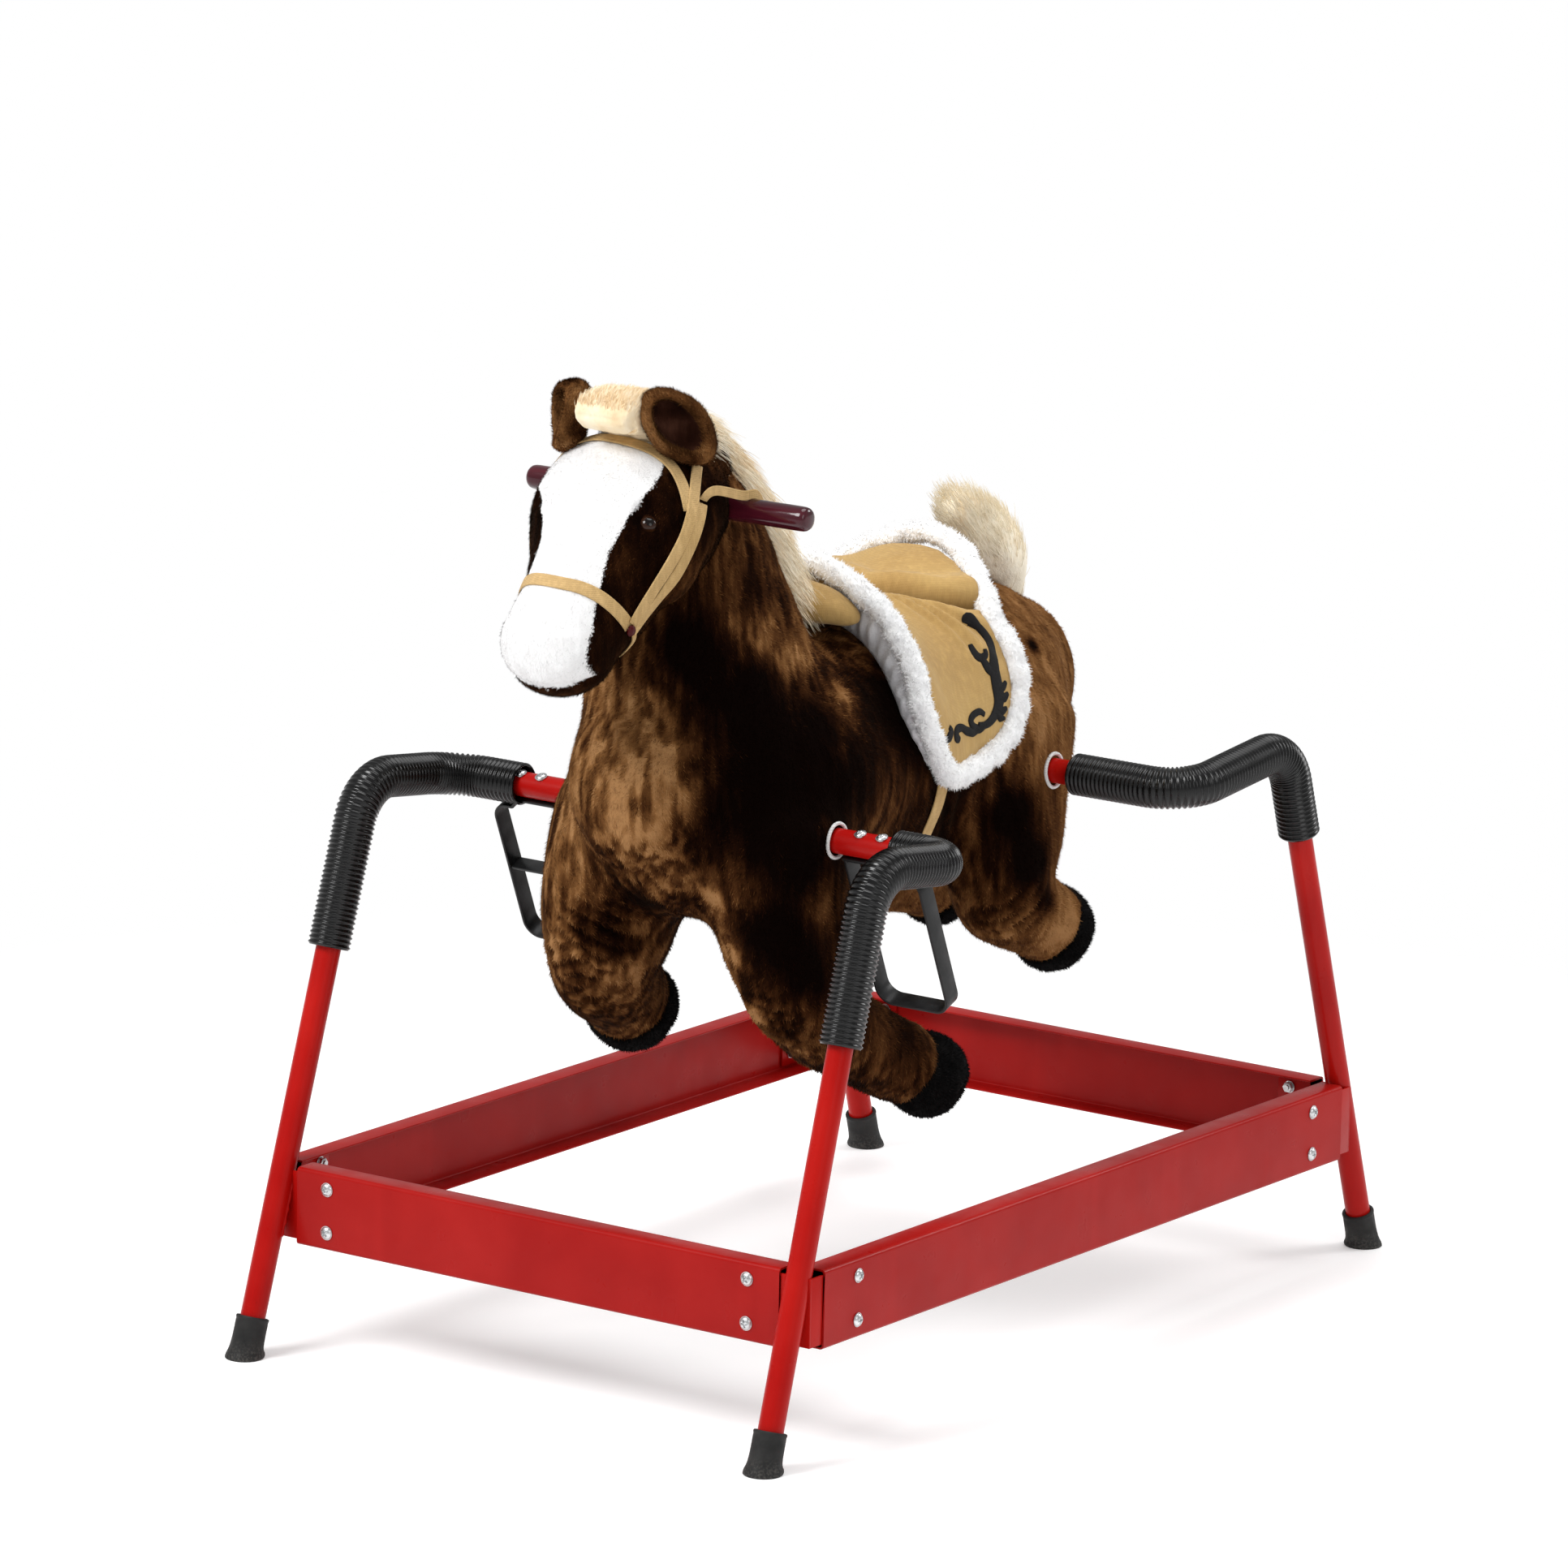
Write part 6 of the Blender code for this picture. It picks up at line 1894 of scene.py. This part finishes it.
def hair(name, stations, replaced, seed, count, length, grow, spread, pale, ridge=0.010, power=2.0,
         fall=0.0):
    """A soft core with long locks laid along it."""
    mesh = loft(stations, sides=28, per=8, grow=grow, power=power).mesh(name + "_core")
    ruffle(mesh, (110, 30, 30), 3, seed, ridge)
    co, _ = arrays(mesh)
    # pale lifts the tone of core and locks; on the mane and tail it is painted light against the shade they
    # lie in
    set_tone(mesh, 0.50 + pale + (fbm(co, (60, 25, 25), 3, seed + 1) - 0.5) * 0.9)
    core = piece(name + "_core", mesh, BLOND, "horse", replaced)
    count = count
    root, away, rng = sample_surface(mesh, count, seed)
    centres = station_curve(stations, 10)[:, :3]
    near = np.argmin(((root[:, None, :] - centres[None]) ** 2).sum(2), 1)
    tangent = unit(np.gradient(centres, axis=0))[near]
    way = tangent * 1.0 + away * spread[0] + rng.normal(0, spread[1], (count, 3))
    way[:, 0] += np.clip(root[:, 0] / 0.02, -1, 1) * fall
    bend = tangent * 0.5 + away * -0.35 + np.array([0, 0.0, -spread[2]])
    tone = 0.58 + pale + (fbm(root, (70, 30, 30), 3, seed + 2) - 0.5) * 0.9 + rng.normal(0, 0.10, count)
    locks = strand_mesh(name + "_locks", root - away * 0.003, way, bend, length, 0.0008, tone, rng)
    piece(name + "_locks", locks, BLOND, "horse")


TAIL_LOCKS = TAIL[:2] + (
    (0, 0.272, 0.729, 0.037, 0.037),
    (0, 0.241, 0.752, 0.034, 0.034),
    (0, 0.214, 0.774, 0.021, 0.021),
)
MANE_LOCKS = tuple((x, y, z, w * 1.25, d) for x, y, z, w, d in MANE[1:])
FORELOCK = (
    (0.002, -0.391, 0.945, 0.033, 0.013),
    (0.002, -0.385, 0.953, 0.037, 0.020),
    (0.002, -0.366, 0.954, 0.037, 0.023),
    (0.002, -0.336, 0.949, 0.032, 0.022),
)


def make_hair():
    # The mane and tail get pale 0.15 and 0.40 against 0.00 on the forelock: painted light that makes up for
    # the shade their locks lie in.
    hair("horse_mane", MANE_LOCKS, ["mane"], 101, 11000, 0.036, 0.003, (0.50, 0.18, 0.30), 0.15, fall=0.9)
    hair("horse_tail", TAIL_LOCKS, ["tail"], 131, 5000, 0.026, -0.003, (0.40, 0.18, -0.30), 0.40)
    hair("horse_forelock", FORELOCK, [], 151, 9000, 0.012, -0.003, (0.75, 0.14, -0.6), 0.00, 0.003, 5.0)


# Hooves

HOOF_PROFILE = ((0.860, 0.0280), (0.985, 0.0292), (1.030, 0.0325), (1.045, 0.0390), (1.040, 0.0465),
                (1.000, 0.0535), (0.910, 0.0590), (0.760, 0.0620), (0.540, 0.0635), (0.270, 0.0640),
                (0.0, 0.0640))
BALL_PROFILE = ((0.0260, -0.030), (0.0340, -0.022), (0.0390, -0.012), (0.0415, -0.002), (0.0420, 0.008),
                (0.0405, 0.018), (0.0370, 0.027), (0.0320, 0.034), (0.0250, 0.0385), (0.0170, 0.0410),
                (0.0080, 0.0420), (0.0, 0.0420))


def make_hooves():
    for name, stations in LEGS:
        origin = np.array(stations[-1][:3])
        ahead = unit(origin - np.array(stations[-2][:3]))
        if name == "front_left":
            origin = origin + ahead * (HOOF_R - HOOF_OVERLAP)
            profile = BALL_PROFILE
        else:
            profile = [(r * max(stations[-1][3:]), h) for r, h in HOOF_PROFILE]
        fine = catmull(np.array([(r, h, 0) for r, h in profile]), 3)[:, :2]
        b = Build()
        lathe(b, fine, origin, ahead, 56)
        mesh = b.mesh(name + "_hoof")
        ruffle(mesh, 40, 2, 171, 0.005)
        co, _ = arrays(mesh)
        set_tone(mesh, 0.4 + (fbm(co, 70, 3, 173) - 0.5) * 1.2)
        hoof = piece(name + "_plush_hoof", mesh, PLUSH_BLACK, "horse", [name + "_hoof"])
        count = 6000
        place, away, rng = sample_surface(mesh, count, 175)
        pile(name + "_hoof_pile", PLUSH_BLACK, place, away, np.tile(ahead, (count, 1)),
             0.0040, 0.0010, 0.8, 0.45 + rng.normal(0, 0.2, count), rng)


EXIT_RING_R = 0.0168


def make_exit_rings():
    """White cord rings sewn round the holes that the crossbars come out of."""
    for label, y, z in (("front", FRONT_BAR_Y, BAR_Z), ("rear", REAR_BAR_Y, BAR_Z)):
        b = Build()
        for side in (1, -1):
            inward = Vector((-side, 0, 0))
            hit = HIDE_TREE.ray_cast(Vector((0.30 * side, y, z)), inward)[0]
            x = (abs(hit.x) if hit else 0.15) - 0.002
            count = 48
            ring = []
            for i in range(count):
                a = 2 * math.pi * i / count
                p = Vector((0.30 * side, y + math.cos(a) * EXIT_RING_R, z + math.sin(a) * EXIT_RING_R))
                on = HIDE_TREE.ray_cast(p, inward)[0]
                px = on.x if on else x * side
                ring.append((px + 0.0012 * side, p.y, p.z))
            ring = np.array(ring)
            for _ in range(4):
                ring[:, 0] = ring[:, 0] * 0.5 + (np.roll(ring[:, 0], 1) + np.roll(ring[:, 0], -1)) * 0.25
            b.grid(ring_tube(ring, 0.0019, 10))
        piece(label + "_exit_rings", b.mesh(label + "_rings"), PLASTIC_WHITE, "horse")


# Saddle: laid out in (y, angle round the back), the angle 0 on top

BACK = station_curve(BODY, 12)
FRONT_EDGE = ((0, -0.0520), (16, -0.0530), (24, -0.0560), (32, -0.0565), (42, -0.0575), (51, -0.0600),
              (62, -0.0665), (69, -0.0610), (76, -0.0510), (83, -0.0380), (89, -0.0240), (93, -0.0100),
              (94, -0.0040))
REAR_EDGE = ((0, 0.1640), (14, 0.1580), (27, 0.1410), (36, 0.1270), (44, 0.1195), (51, 0.1240),
             (58, 0.1270), (67, 0.1260), (75, 0.1200), (84, 0.1040), (89, 0.0820), (92, 0.0560),
             (93, 0.0360), (94, 0.0100))
# Height of the pad along the top, and the angle of the seat's crease, against y
SEAT_PADS = ((-0.130, 0.020), (-0.085, 0.044), (-0.045, 0.058), (-0.005, 0.030), (0.035, 0.020),
             (0.080, 0.030), (0.125, 0.040), (0.158, 0.042), (0.200, 0.026))
CREASE = ((-0.05, 2), (0.03, 4), (0.049, 8), (0.062, 18), (0.0765, 27), (0.0925, 33.5), (0.12, 38.5),
          (0.15, 42))
FLAP_END = 93.6
SIDE_PAD = 0.0125


def table_at(table, x):
    t = np.array(table, float)
    return np.interp(x, t[:, 0], t[:, 1])


PADS_SMOOTH = catmull(np.array([(y, p, 0) for y, p in SEAT_PADS]), 8)


def pad_at(y):
    return np.interp(y, PADS_SMOOTH[:, 0], PADS_SMOOTH[:, 1])


def back_size(y):
    """Height of the back's axis at y, and the two radii round it."""
    return [np.interp(y, BACK[:, 1], BACK[:, i]) for i in (2, 3, 4)]


def back_point(y, deg, lift):
    """Places that stand off the back by lift, and the way out from it there."""
    z, w, d = back_size(y)
    a = np.radians(deg)
    base = np.stack([np.sin(a) * w, y, z + np.cos(a) * d], -1)
    away = unit(np.stack([np.sin(a) / w, np.zeros_like(a), np.cos(a) / d], -1))
    return base + away * np.asarray(lift)[..., None], away


def pad_lift(y, deg):
    """Height of the pad over the back: full on top, thin on the flaps."""
    a = np.radians(np.clip(abs(deg), 0, 90))
    g = (1 + np.cos(a)) / 2 * np.cos(a)
    return SIDE_PAD + np.maximum(pad_at(y) - SIDE_PAD, 0) * g


def seat_relief(y, deg):
    """The crease round the seat, the soft rolls beside it and the gathers that spread from it; also the
    painted shade in the crease.
    """
    front = table_at(FRONT_EDGE, abs(deg))
    rear = table_at(REAR_EDGE, abs(deg))
    ends = smoothstep(np.minimum(y - front, rear - y), 0.004, 0.020)
    crease = np.array(CREASE)
    slope = np.gradient(crease[:, 1], crease[:, 0])
    steep = np.interp(y, crease[:, 0], slope) * math.pi / 180 * 0.14
    arc = (abs(deg) - table_at(CREASE, y)) * math.pi / 180 * 0.14 / np.sqrt(1 + steep ** 2)
    seen = ends * smoothstep(y, 0.015, 0.045)
    relief = -0.0160 * np.exp(-(arc / 0.0038) ** 2) * seen
    relief = relief + 0.0085 * np.exp(-((arc + 0.016) / 0.013) ** 2) * seen
    flap = smoothstep(arc, 0.003, 0.020) * ends
    bearing = np.arctan2(y - 0.040, np.maximum(arc + 0.006, 1e-4))
    wander = value_noise(np.stack([deg, y, deg * 0], -1), (0.06, 12, 1), 5)
    reach = smoothstep(-arc, -0.060, -0.010)
    relief = relief + 0.0034 * np.cos(bearing * 15 + 2.6 * wander) * flap * reach
    # the second value is painted shade for the crease, darkest at its bottom
    return relief, 0.75 * np.exp(-(arc / 0.0026) ** 2) * seen


CLOTH_FRAMES = 20


def swelled(name, mesh, voxel, cap):
    """A sewn form blown up by a cloth simulation, in which no point moves further than cap."""
    obj, base = voxel_skin(name + "_cloth", mesh, voxel)
    obj.modifiers.clear()
    obj.data = base
    before, _ = arrays(base)
    cloth = obj.modifiers.new("cloth", "CLOTH")
    cloth.settings.quality = 5
    cloth.settings.use_pressure = True
    cloth.settings.uniform_pressure_force = 4.0
    cloth.settings.effector_weights.gravity = 0.0
    cloth.point_cache.frame_start = 1
    cloth.point_cache.frame_end = CLOTH_FRAMES
    for number in range(1, CLOTH_FRAMES + 1):
        scene.frame_set(number)
    after, _ = arrays(evaluated(obj))
    obj.modifiers.clear()
    scene.frame_set(1)
    move = after - before
    far = np.linalg.norm(move, axis=1, keepdims=True)
    set_points(base, before + move * np.minimum(1, cap / np.maximum(far, 1e-9)))
    finer = obj.modifiers.new("finer", "SUBSURF")
    finer.levels = 1
    bpy.context.view_layer.update()
    out = evaluated(obj)
    bpy.data.objects.remove(obj)
    return out


def back_place(co):
    """The y, angle and lift over the back of given points, and the way out from it."""
    y = co[:, 1]
    z, w, d = back_size(y)
    deg = np.degrees(np.arctan2(co[:, 0] / w, (co[:, 2] - z) / d))
    base, away = back_point(y, deg, np.zeros(len(co)))
    return y, deg, ((co - base) * away).sum(1), away


def make_saddle_pad():
    rows, cols = 60, 110
    degs = np.linspace(-FLAP_END, FLAP_END, cols)
    u, deg = np.meshgrid(np.linspace(0, 1, rows), degs, indexing="ij")
    front = table_at(FRONT_EDGE, abs(deg))
    rear = table_at(REAR_EDGE, abs(deg))
    y = front + (rear - front) * u
    from_edge = np.minimum(u, 1 - u) * (rear - front)
    lift = pad_lift(y, deg) * (0.45 + 0.55 * smoothstep(from_edge, 0.0, 0.016)) - 0.0030
    top, _ = back_point(y, deg, lift)
    low_y = y + 0.012 * (1 - smoothstep(u, 0.0, 0.2))
    low, _ = back_point(low_y, deg, np.full_like(y, -0.0030))
    b = Build()
    b.solid([np.concatenate([top[:, i], low[::-1, i]]) for i in range(cols)])
    mesh = swelled("saddle_pad", b.mesh("saddle_pad"), 0.0050, 0.0060)
    relax(mesh, 3)
    co, normal = arrays(mesh)
    y, deg, lift, away = back_place(co)
    outer = smoothstep((normal * away).sum(1), 0.1, 0.5) * smoothstep(lift, 0.002, 0.008)
    wave = (fbm(co, 30, 3, 201) - 0.5) * 0.0034
    relief, dark = seat_relief(y, deg)
    set_points(mesh, co + away * ((relief + wave) * outer)[:, None])
    # painted shade: the crease's dark line, which the cloth material reads
    set_value(mesh, "crease", dark * outer)
    obj = piece("saddle_seat_and_flaps", mesh, TAN, "horse", ["saddle"])
    return mesh


def trim_lift(y, deg, rear):
    """Height of the trim's middle over the back: it rides up on the pommel and the cantle."""
    share = abs(deg)
    if rear:
        ride = np.interp(share, (0, 14, 30, 60), (1.22, 1.04, 0.94, 0.90))
    else:
        ride = np.interp(share, (0, 15, 60), (1.0, 0.88, 0.90))
    return pad_lift(y, deg) * ride + 0.0010


def make_fleece():
    degs = np.linspace(-FLAP_END + 0.4, FLAP_END - 0.4, 220)
    front = table_at(FRONT_EDGE, abs(degs)) + 0.0035
    rear = table_at(REAR_EDGE, abs(degs)) - 0.0035
    ahead, _ = back_point(front, degs, trim_lift(front, degs, False))
    behind, _ = back_point(rear, degs, trim_lift(rear, degs, True))
    path = Path(np.concatenate([ahead, behind[::-1], ahead[:1]]))
    count = 900
    line = path.at(np.linspace(0, path.length, count + 1)[:-1])
    for _ in range(10):
        line = line * 0.5 + (np.roll(line, 1, 0) + np.roll(line, -1, 0)) * 0.25
    tangent = unit(np.roll(line, -1, 0) - np.roll(line, 1, 0))
    z, w, d = back_size(np.clip(line[:, 1], -0.31, 0.30))
    away = unit(np.stack([line[:, 0] / w ** 2, np.zeros(count), (line[:, 2] - z) / d ** 2], 1))
    away, side = squared(away, tangent)
    b = Build()
    b.grid([oval(line[k], side[k], away[k], 0.0118, 0.0100, 28) for k in (*range(count), 0)])
    mesh = b.mesh("fleece")
    edit(mesh, lambda bm: bmesh.ops.remove_doubles(bm, verts=bm.verts, dist=1e-5))
    ruffle(mesh, 85, 3, 211, 0.0080, 0.42)
    obj = piece("saddle_fleece_trim", mesh, FLEECE, "horse", ["saddle"])
    n = 26000
    place, across, rng = sample_surface(mesh, n, 213)
    flow = rng.normal(0, 1, (n, 3))
    pile("saddle_fleece_pile", FLEECE, place, across, flow, 0.0050, 0.0012, 0.90,
         rng.uniform(0.3, 1, n), rng)


def make_pommel():
    """A tan bolster over the withers, in front of the fleece."""
    count = 90
    degs = np.linspace(-27, 27, count)
    share = abs(degs) / 27
    y = -0.087 + 0.026 * share ** 2
    radius = 0.0185 * (1 - share ** 3) ** 0.5
    radius = np.maximum(radius, 0.0016)
    lift = 0.027 + 0.001 * (1 - share)
    centre, away = back_point(y, degs, lift)
    tangent = unit(np.gradient(centre, axis=0))
    away, side = squared(away, tangent)
    angle = circle(36)
    rings = []
    for k in range(count):
        rings.append(centre[k] + np.outer(np.cos(angle) * radius[k] * 1.60, side[k])
                     + np.outer(np.sin(angle) * radius[k], away[k]))
    b = Build()
    b.solid(rings)
    mesh = swelled("pommel", b.mesh("pommel"), 0.0045, 0.0040)
    ruffle(mesh, 32, 3, 221, 0.005)
    obj = piece("saddle_pommel_roll", mesh, TAN, "horse", ["saddle"])


LINING_FOOT = ((8, -0.038), (15, -0.041), (26, -0.046), (40, -0.054), (54, -0.063), (64, -0.066),
               (74, -0.058), (84, -0.042), (90, -0.026))


def make_lining():
    """The pad's white front wall, from under the fleece down to the hide, on both sides."""
    b = Build()
    for side in (-1, 1):
        degs = np.linspace(10, 86, 90)
        top_y = table_at(FRONT_EDGE, degs) + 0.006
        foot_y = table_at(LINING_FOOT, degs)
        top_lift = trim_lift(top_y, degs, False)
        rows = []
        for skin, shares in ((0.0, np.linspace(0, 1, 12)), (0.0030, np.linspace(1, 0, 12))):
            for share in shares:
                fold = 0.0022 * np.sin(degs * 0.42 + share * 2.5) + 0.0014 * np.sin(degs * 1.1 - share * 4)
                y = top_y + (foot_y - top_y) * share - (0.0075 + fold) * math.sin(math.pi * share) + skin
                lift = top_lift + (0.0010 - top_lift) * share
                rows.append(back_point(y, degs * side, lift)[0])
        stack = np.array(rows)
        b.solid([stack[:, k] for k in range(len(degs))])
    lining = piece("saddle_front_wall", b.mesh("lining"), LINING, "horse")


GIRTH_Y = -0.004


def make_girth():
    """A strap under the belly, from flap to flap."""
    count = 120
    pts, away = back_point(np.full(count, GIRTH_Y), np.linspace(86, 274, count), np.full(count, 0.0030))
    hits = []
    for p, n in zip(pts, away):
        on = HIDE_TREE.ray_cast(Vector(p + n * 0.05), Vector(-n))[0]
        hits.append(list(on) if on is not None else list(p))
    hits = np.array(hits)
    for _ in range(6):
        eased(hits)
    b = Build()
    b.solid(band_rings(hits + away * 0.0018, away, 0.0180, 0.0024))
    piece("girth_strap", b.mesh("girth"), TAN_WEB, "horse")


# Scroll ornament: strokes as zoomed-view points with the stroke's width there
SCROLL = (
    ((752, 505, 10), (757, 492, 15), (770, 500, 12), (786, 514, 8), (804, 534, 9), (820, 560, 11),
     (829, 590, 12), (833, 620, 13), (836, 652, 15), (843, 690, 17), (848, 725, 17), (842, 760, 14),
     (826, 790, 11), (806, 806, 8), (786, 806, 6)),
    ((762, 566, 5), (770, 584, 9), (782, 600, 10), (796, 606, 9), (808, 596, 7), (806, 580, 5)),
    ((796, 606, 6), (806, 622, 9), (818, 640, 11), (832, 652, 10)),
    ((846, 700, 6), (860, 692, 9), (868, 678, 5)),
    ((849, 728, 6), (864, 724, 10), (874, 712, 5)),
    ((842, 760, 6), (858, 764, 10), (870, 756, 5)),
    ((838, 770, 6), (852, 784, 9), (864, 786, 4)),
    ((806, 806, 8), (790, 818, 9), (772, 812, 9), (764, 794, 9), (772, 776, 8), (790, 766, 7), (804, 774, 6)),
    ((790, 818, 6), (772, 828, 9), (752, 824, 9), (736, 814, 8), (722, 822, 10), (722, 842, 12),
     (730, 850, 7)),
    ((700, 812, 6), (706, 826, 9), (700, 842, 11), (690, 852, 6)),
)


def make_scroll():
    """Black satin stitch on both flaps."""
    b = Build()
    for side in (1, -1):
        for stroke in SCROLL:
            pts = []
            for x, y, width in stroke:
                hit = photo_points(SADDLE_TREE, [flank(x, y)])
                if hit:
                    pts.append((*hit[0], width))
            if len(pts) < 3:
                continue
            pts = np.array(pts)
            line = catmull(pts[:, :3], 6)
            widths = np.interp(np.linspace(0, len(pts) - 1, len(line)), range(len(pts)), pts[:, 3])
            line[:, 0] *= side
            on, away = nearest(SADDLE_TREE, line)
            b.solid(satin_rings(on + away * 0.0004, away, widths * 0.00100, 0.0022))
    piece("saddle_scroll_embroidery", b.mesh("scroll"), BLACK_THREAD, "horse")


def satin_rings(points, away, width, height):
    """An oval cord of stitches; width is one number for each point."""
    away, side = squared(away, unit(np.gradient(points, axis=0)))
    half = np.maximum(width, 0.0012) / 2
    return [oval(p, across, up, w, height / 2, 12) for p, across, up, w in zip(points, side, away, half)]


def make_rein():
    """A strap from each cheek to the handle bar, its end round the bar."""
    b = Build()
    x0, y0, z0 = on_face([(868, 592)])[0]
    guide = (
        (x0 - 0.004, y0, z0),
        (x0 + 0.004, y0 + 0.012, z0 + 0.012),
        (x0 + 0.010, HANDLE_Y - 0.012, HANDLE_Z + 0.0165),
        (x0 + 0.014, HANDLE_Y + 0.004, HANDLE_Z + 0.0155),
        (x0 + 0.014, HANDLE_Y + 0.0155, HANDLE_Z + 0.002),
    )
    for side in (1, -1):
        line = catmull(np.array(guide), 8)
        line[:, 0] *= side
        out = line - np.array([0, HANDLE_Y, HANDLE_Z])
        out[:, 0] = 0
        out = unit(out + np.array([0.3 * side, 0, 0]))
        b.solid(band_rings(line, out, 0.0095, 0.0018))
    piece("rein_straps", b.mesh("rein"), TAN_WEB, "horse")


HEAD_TREE = tree_of(HEAD_MESH)
HIDE_TREE = tree_of(HIDE)
finish_head(HEAD_MESH)
make_eyes()
make_ears()
make_bridle()
make_hair()
make_hooves()
make_exit_rings()
SADDLE_MESH = make_saddle_pad()
SADDLE_TREE = tree_of(SADDLE_MESH)
make_fleece()
make_pommel()
make_lining()
make_girth()
make_scroll()
make_rein()


# Floor, white surroundings and lights

FLOOR_GLOW = 0.24


def make_floor():
    size = 14.0
    mesh = bpy.data.meshes.new("floor")
    corners = [(-size, -size, 0), (size, -size, 0), (size, size, 0), (-size, size, 0)]
    mesh.from_pydata(corners, [], [(0, 1, 2, 3)])
    floor = bpy.data.objects.new("studio_floor", mesh)
    scene.collection.objects.link(floor)
    s = Shader.new("studio_floor_white", 0.55, Specular_IOR_Level=0.2)
    colour = s.cloud(3.0, 3.0, (0.3, 0.89), (0.7, 0.91))
    s.done(colour)
    # Seen directly it glows a little near the object and is plain white further out
    paths = s.node("LightPath").outputs
    seen = s.calc("MAXIMUM", paths["Is Camera Ray"], s.calc("MAXIMUM", paths["Is Glossy Ray"],
                                                            paths["Is Transmission Ray"]))
    away = s.node("VectorMath")
    away.operation = "LENGTH"
    s.put(s.space, away.inputs[0])
    far = s.ramp(s.calc("MULTIPLY", away.outputs["Value"], 0.25), ((0.20, 0.0), (0.42, 1.0)))
    white = s.node("Emission", Strength=1.0)
    lift = s.node("Emission", Strength=FLOOR_GLOW)
    near = s.node("AddShader")
    s.put(s.bsdf.outputs[0], near.inputs[0])
    s.put(lift.outputs[0], near.inputs[1])
    ground = s.node("MixShader")
    s.put(far, ground.inputs[0])
    s.put(near.outputs[0], ground.inputs[1])
    s.put(white.outputs[0], ground.inputs[2])
    shown = s.node("MixShader")
    s.put(seen, shown.inputs[0])
    s.put(s.bsdf.outputs[0], shown.inputs[1])
    s.put(ground.outputs[0], shown.inputs[2])
    s.put(shown.outputs[0], s.tree.nodes["Material Output"].inputs["Surface"])
    mesh.materials.append(s.mat)


def make_world():
    world = bpy.data.worlds.new("studio")
    scene.world = world
    world.use_nodes = True
    tree = world.node_tree
    soft = tree.nodes["Background"]
    soft.inputs["Color"].default_value = (1.0, 1.0, 1.0, 1)
    soft.inputs["Strength"].default_value = 0.45
    white = tree.nodes.new("ShaderNodeBackground")
    white.inputs["Color"].default_value = (1, 1, 1, 1)
    white.inputs["Strength"].default_value = 1.0
    paths = tree.nodes.new("ShaderNodeLightPath")
    seen = tree.nodes.new("ShaderNodeMath")
    seen.operation = "MAXIMUM"
    tree.links.new(paths.outputs["Is Camera Ray"], seen.inputs[0])
    tree.links.new(paths.outputs["Is Transmission Ray"], seen.inputs[1])
    mix = tree.nodes.new("ShaderNodeMixShader")
    tree.links.new(seen.outputs[0], mix.inputs[0])
    tree.links.new(soft.outputs[0], mix.inputs[1])
    tree.links.new(white.outputs[0], mix.inputs[2])
    tree.links.new(mix.outputs[0], tree.nodes["World Output"].inputs["Surface"])


def make_light(name, place, target, size, power):
    data = bpy.data.lights.new(name, "AREA")
    data.shape = "DISK"
    data.size = size
    data.energy = power
    light = bpy.data.objects.new(name, data)
    scene.collection.objects.link(light)
    light.location = place
    light.rotation_euler = (Vector(target) - Vector(place)).to_track_quat("-Z", "Y").to_euler()


make_floor()
make_world()
for lamp in (
    ("key", (-1.6, -3.6, 4.0), (0, 0, 0.45), 2.2, 180),
    ("fill", (4.6, -2.4, 3.0), (0, 0, 0.60), 3.0, 50),
    ("top", (0.2, 0.6, 4.8), (0, 0, 0.4), 3.0, 85),
    ("rim", (2.4, 3.4, 2.8), (0, 0.2, 0.70), 1.8, 60),
):
    make_light(*lamp)
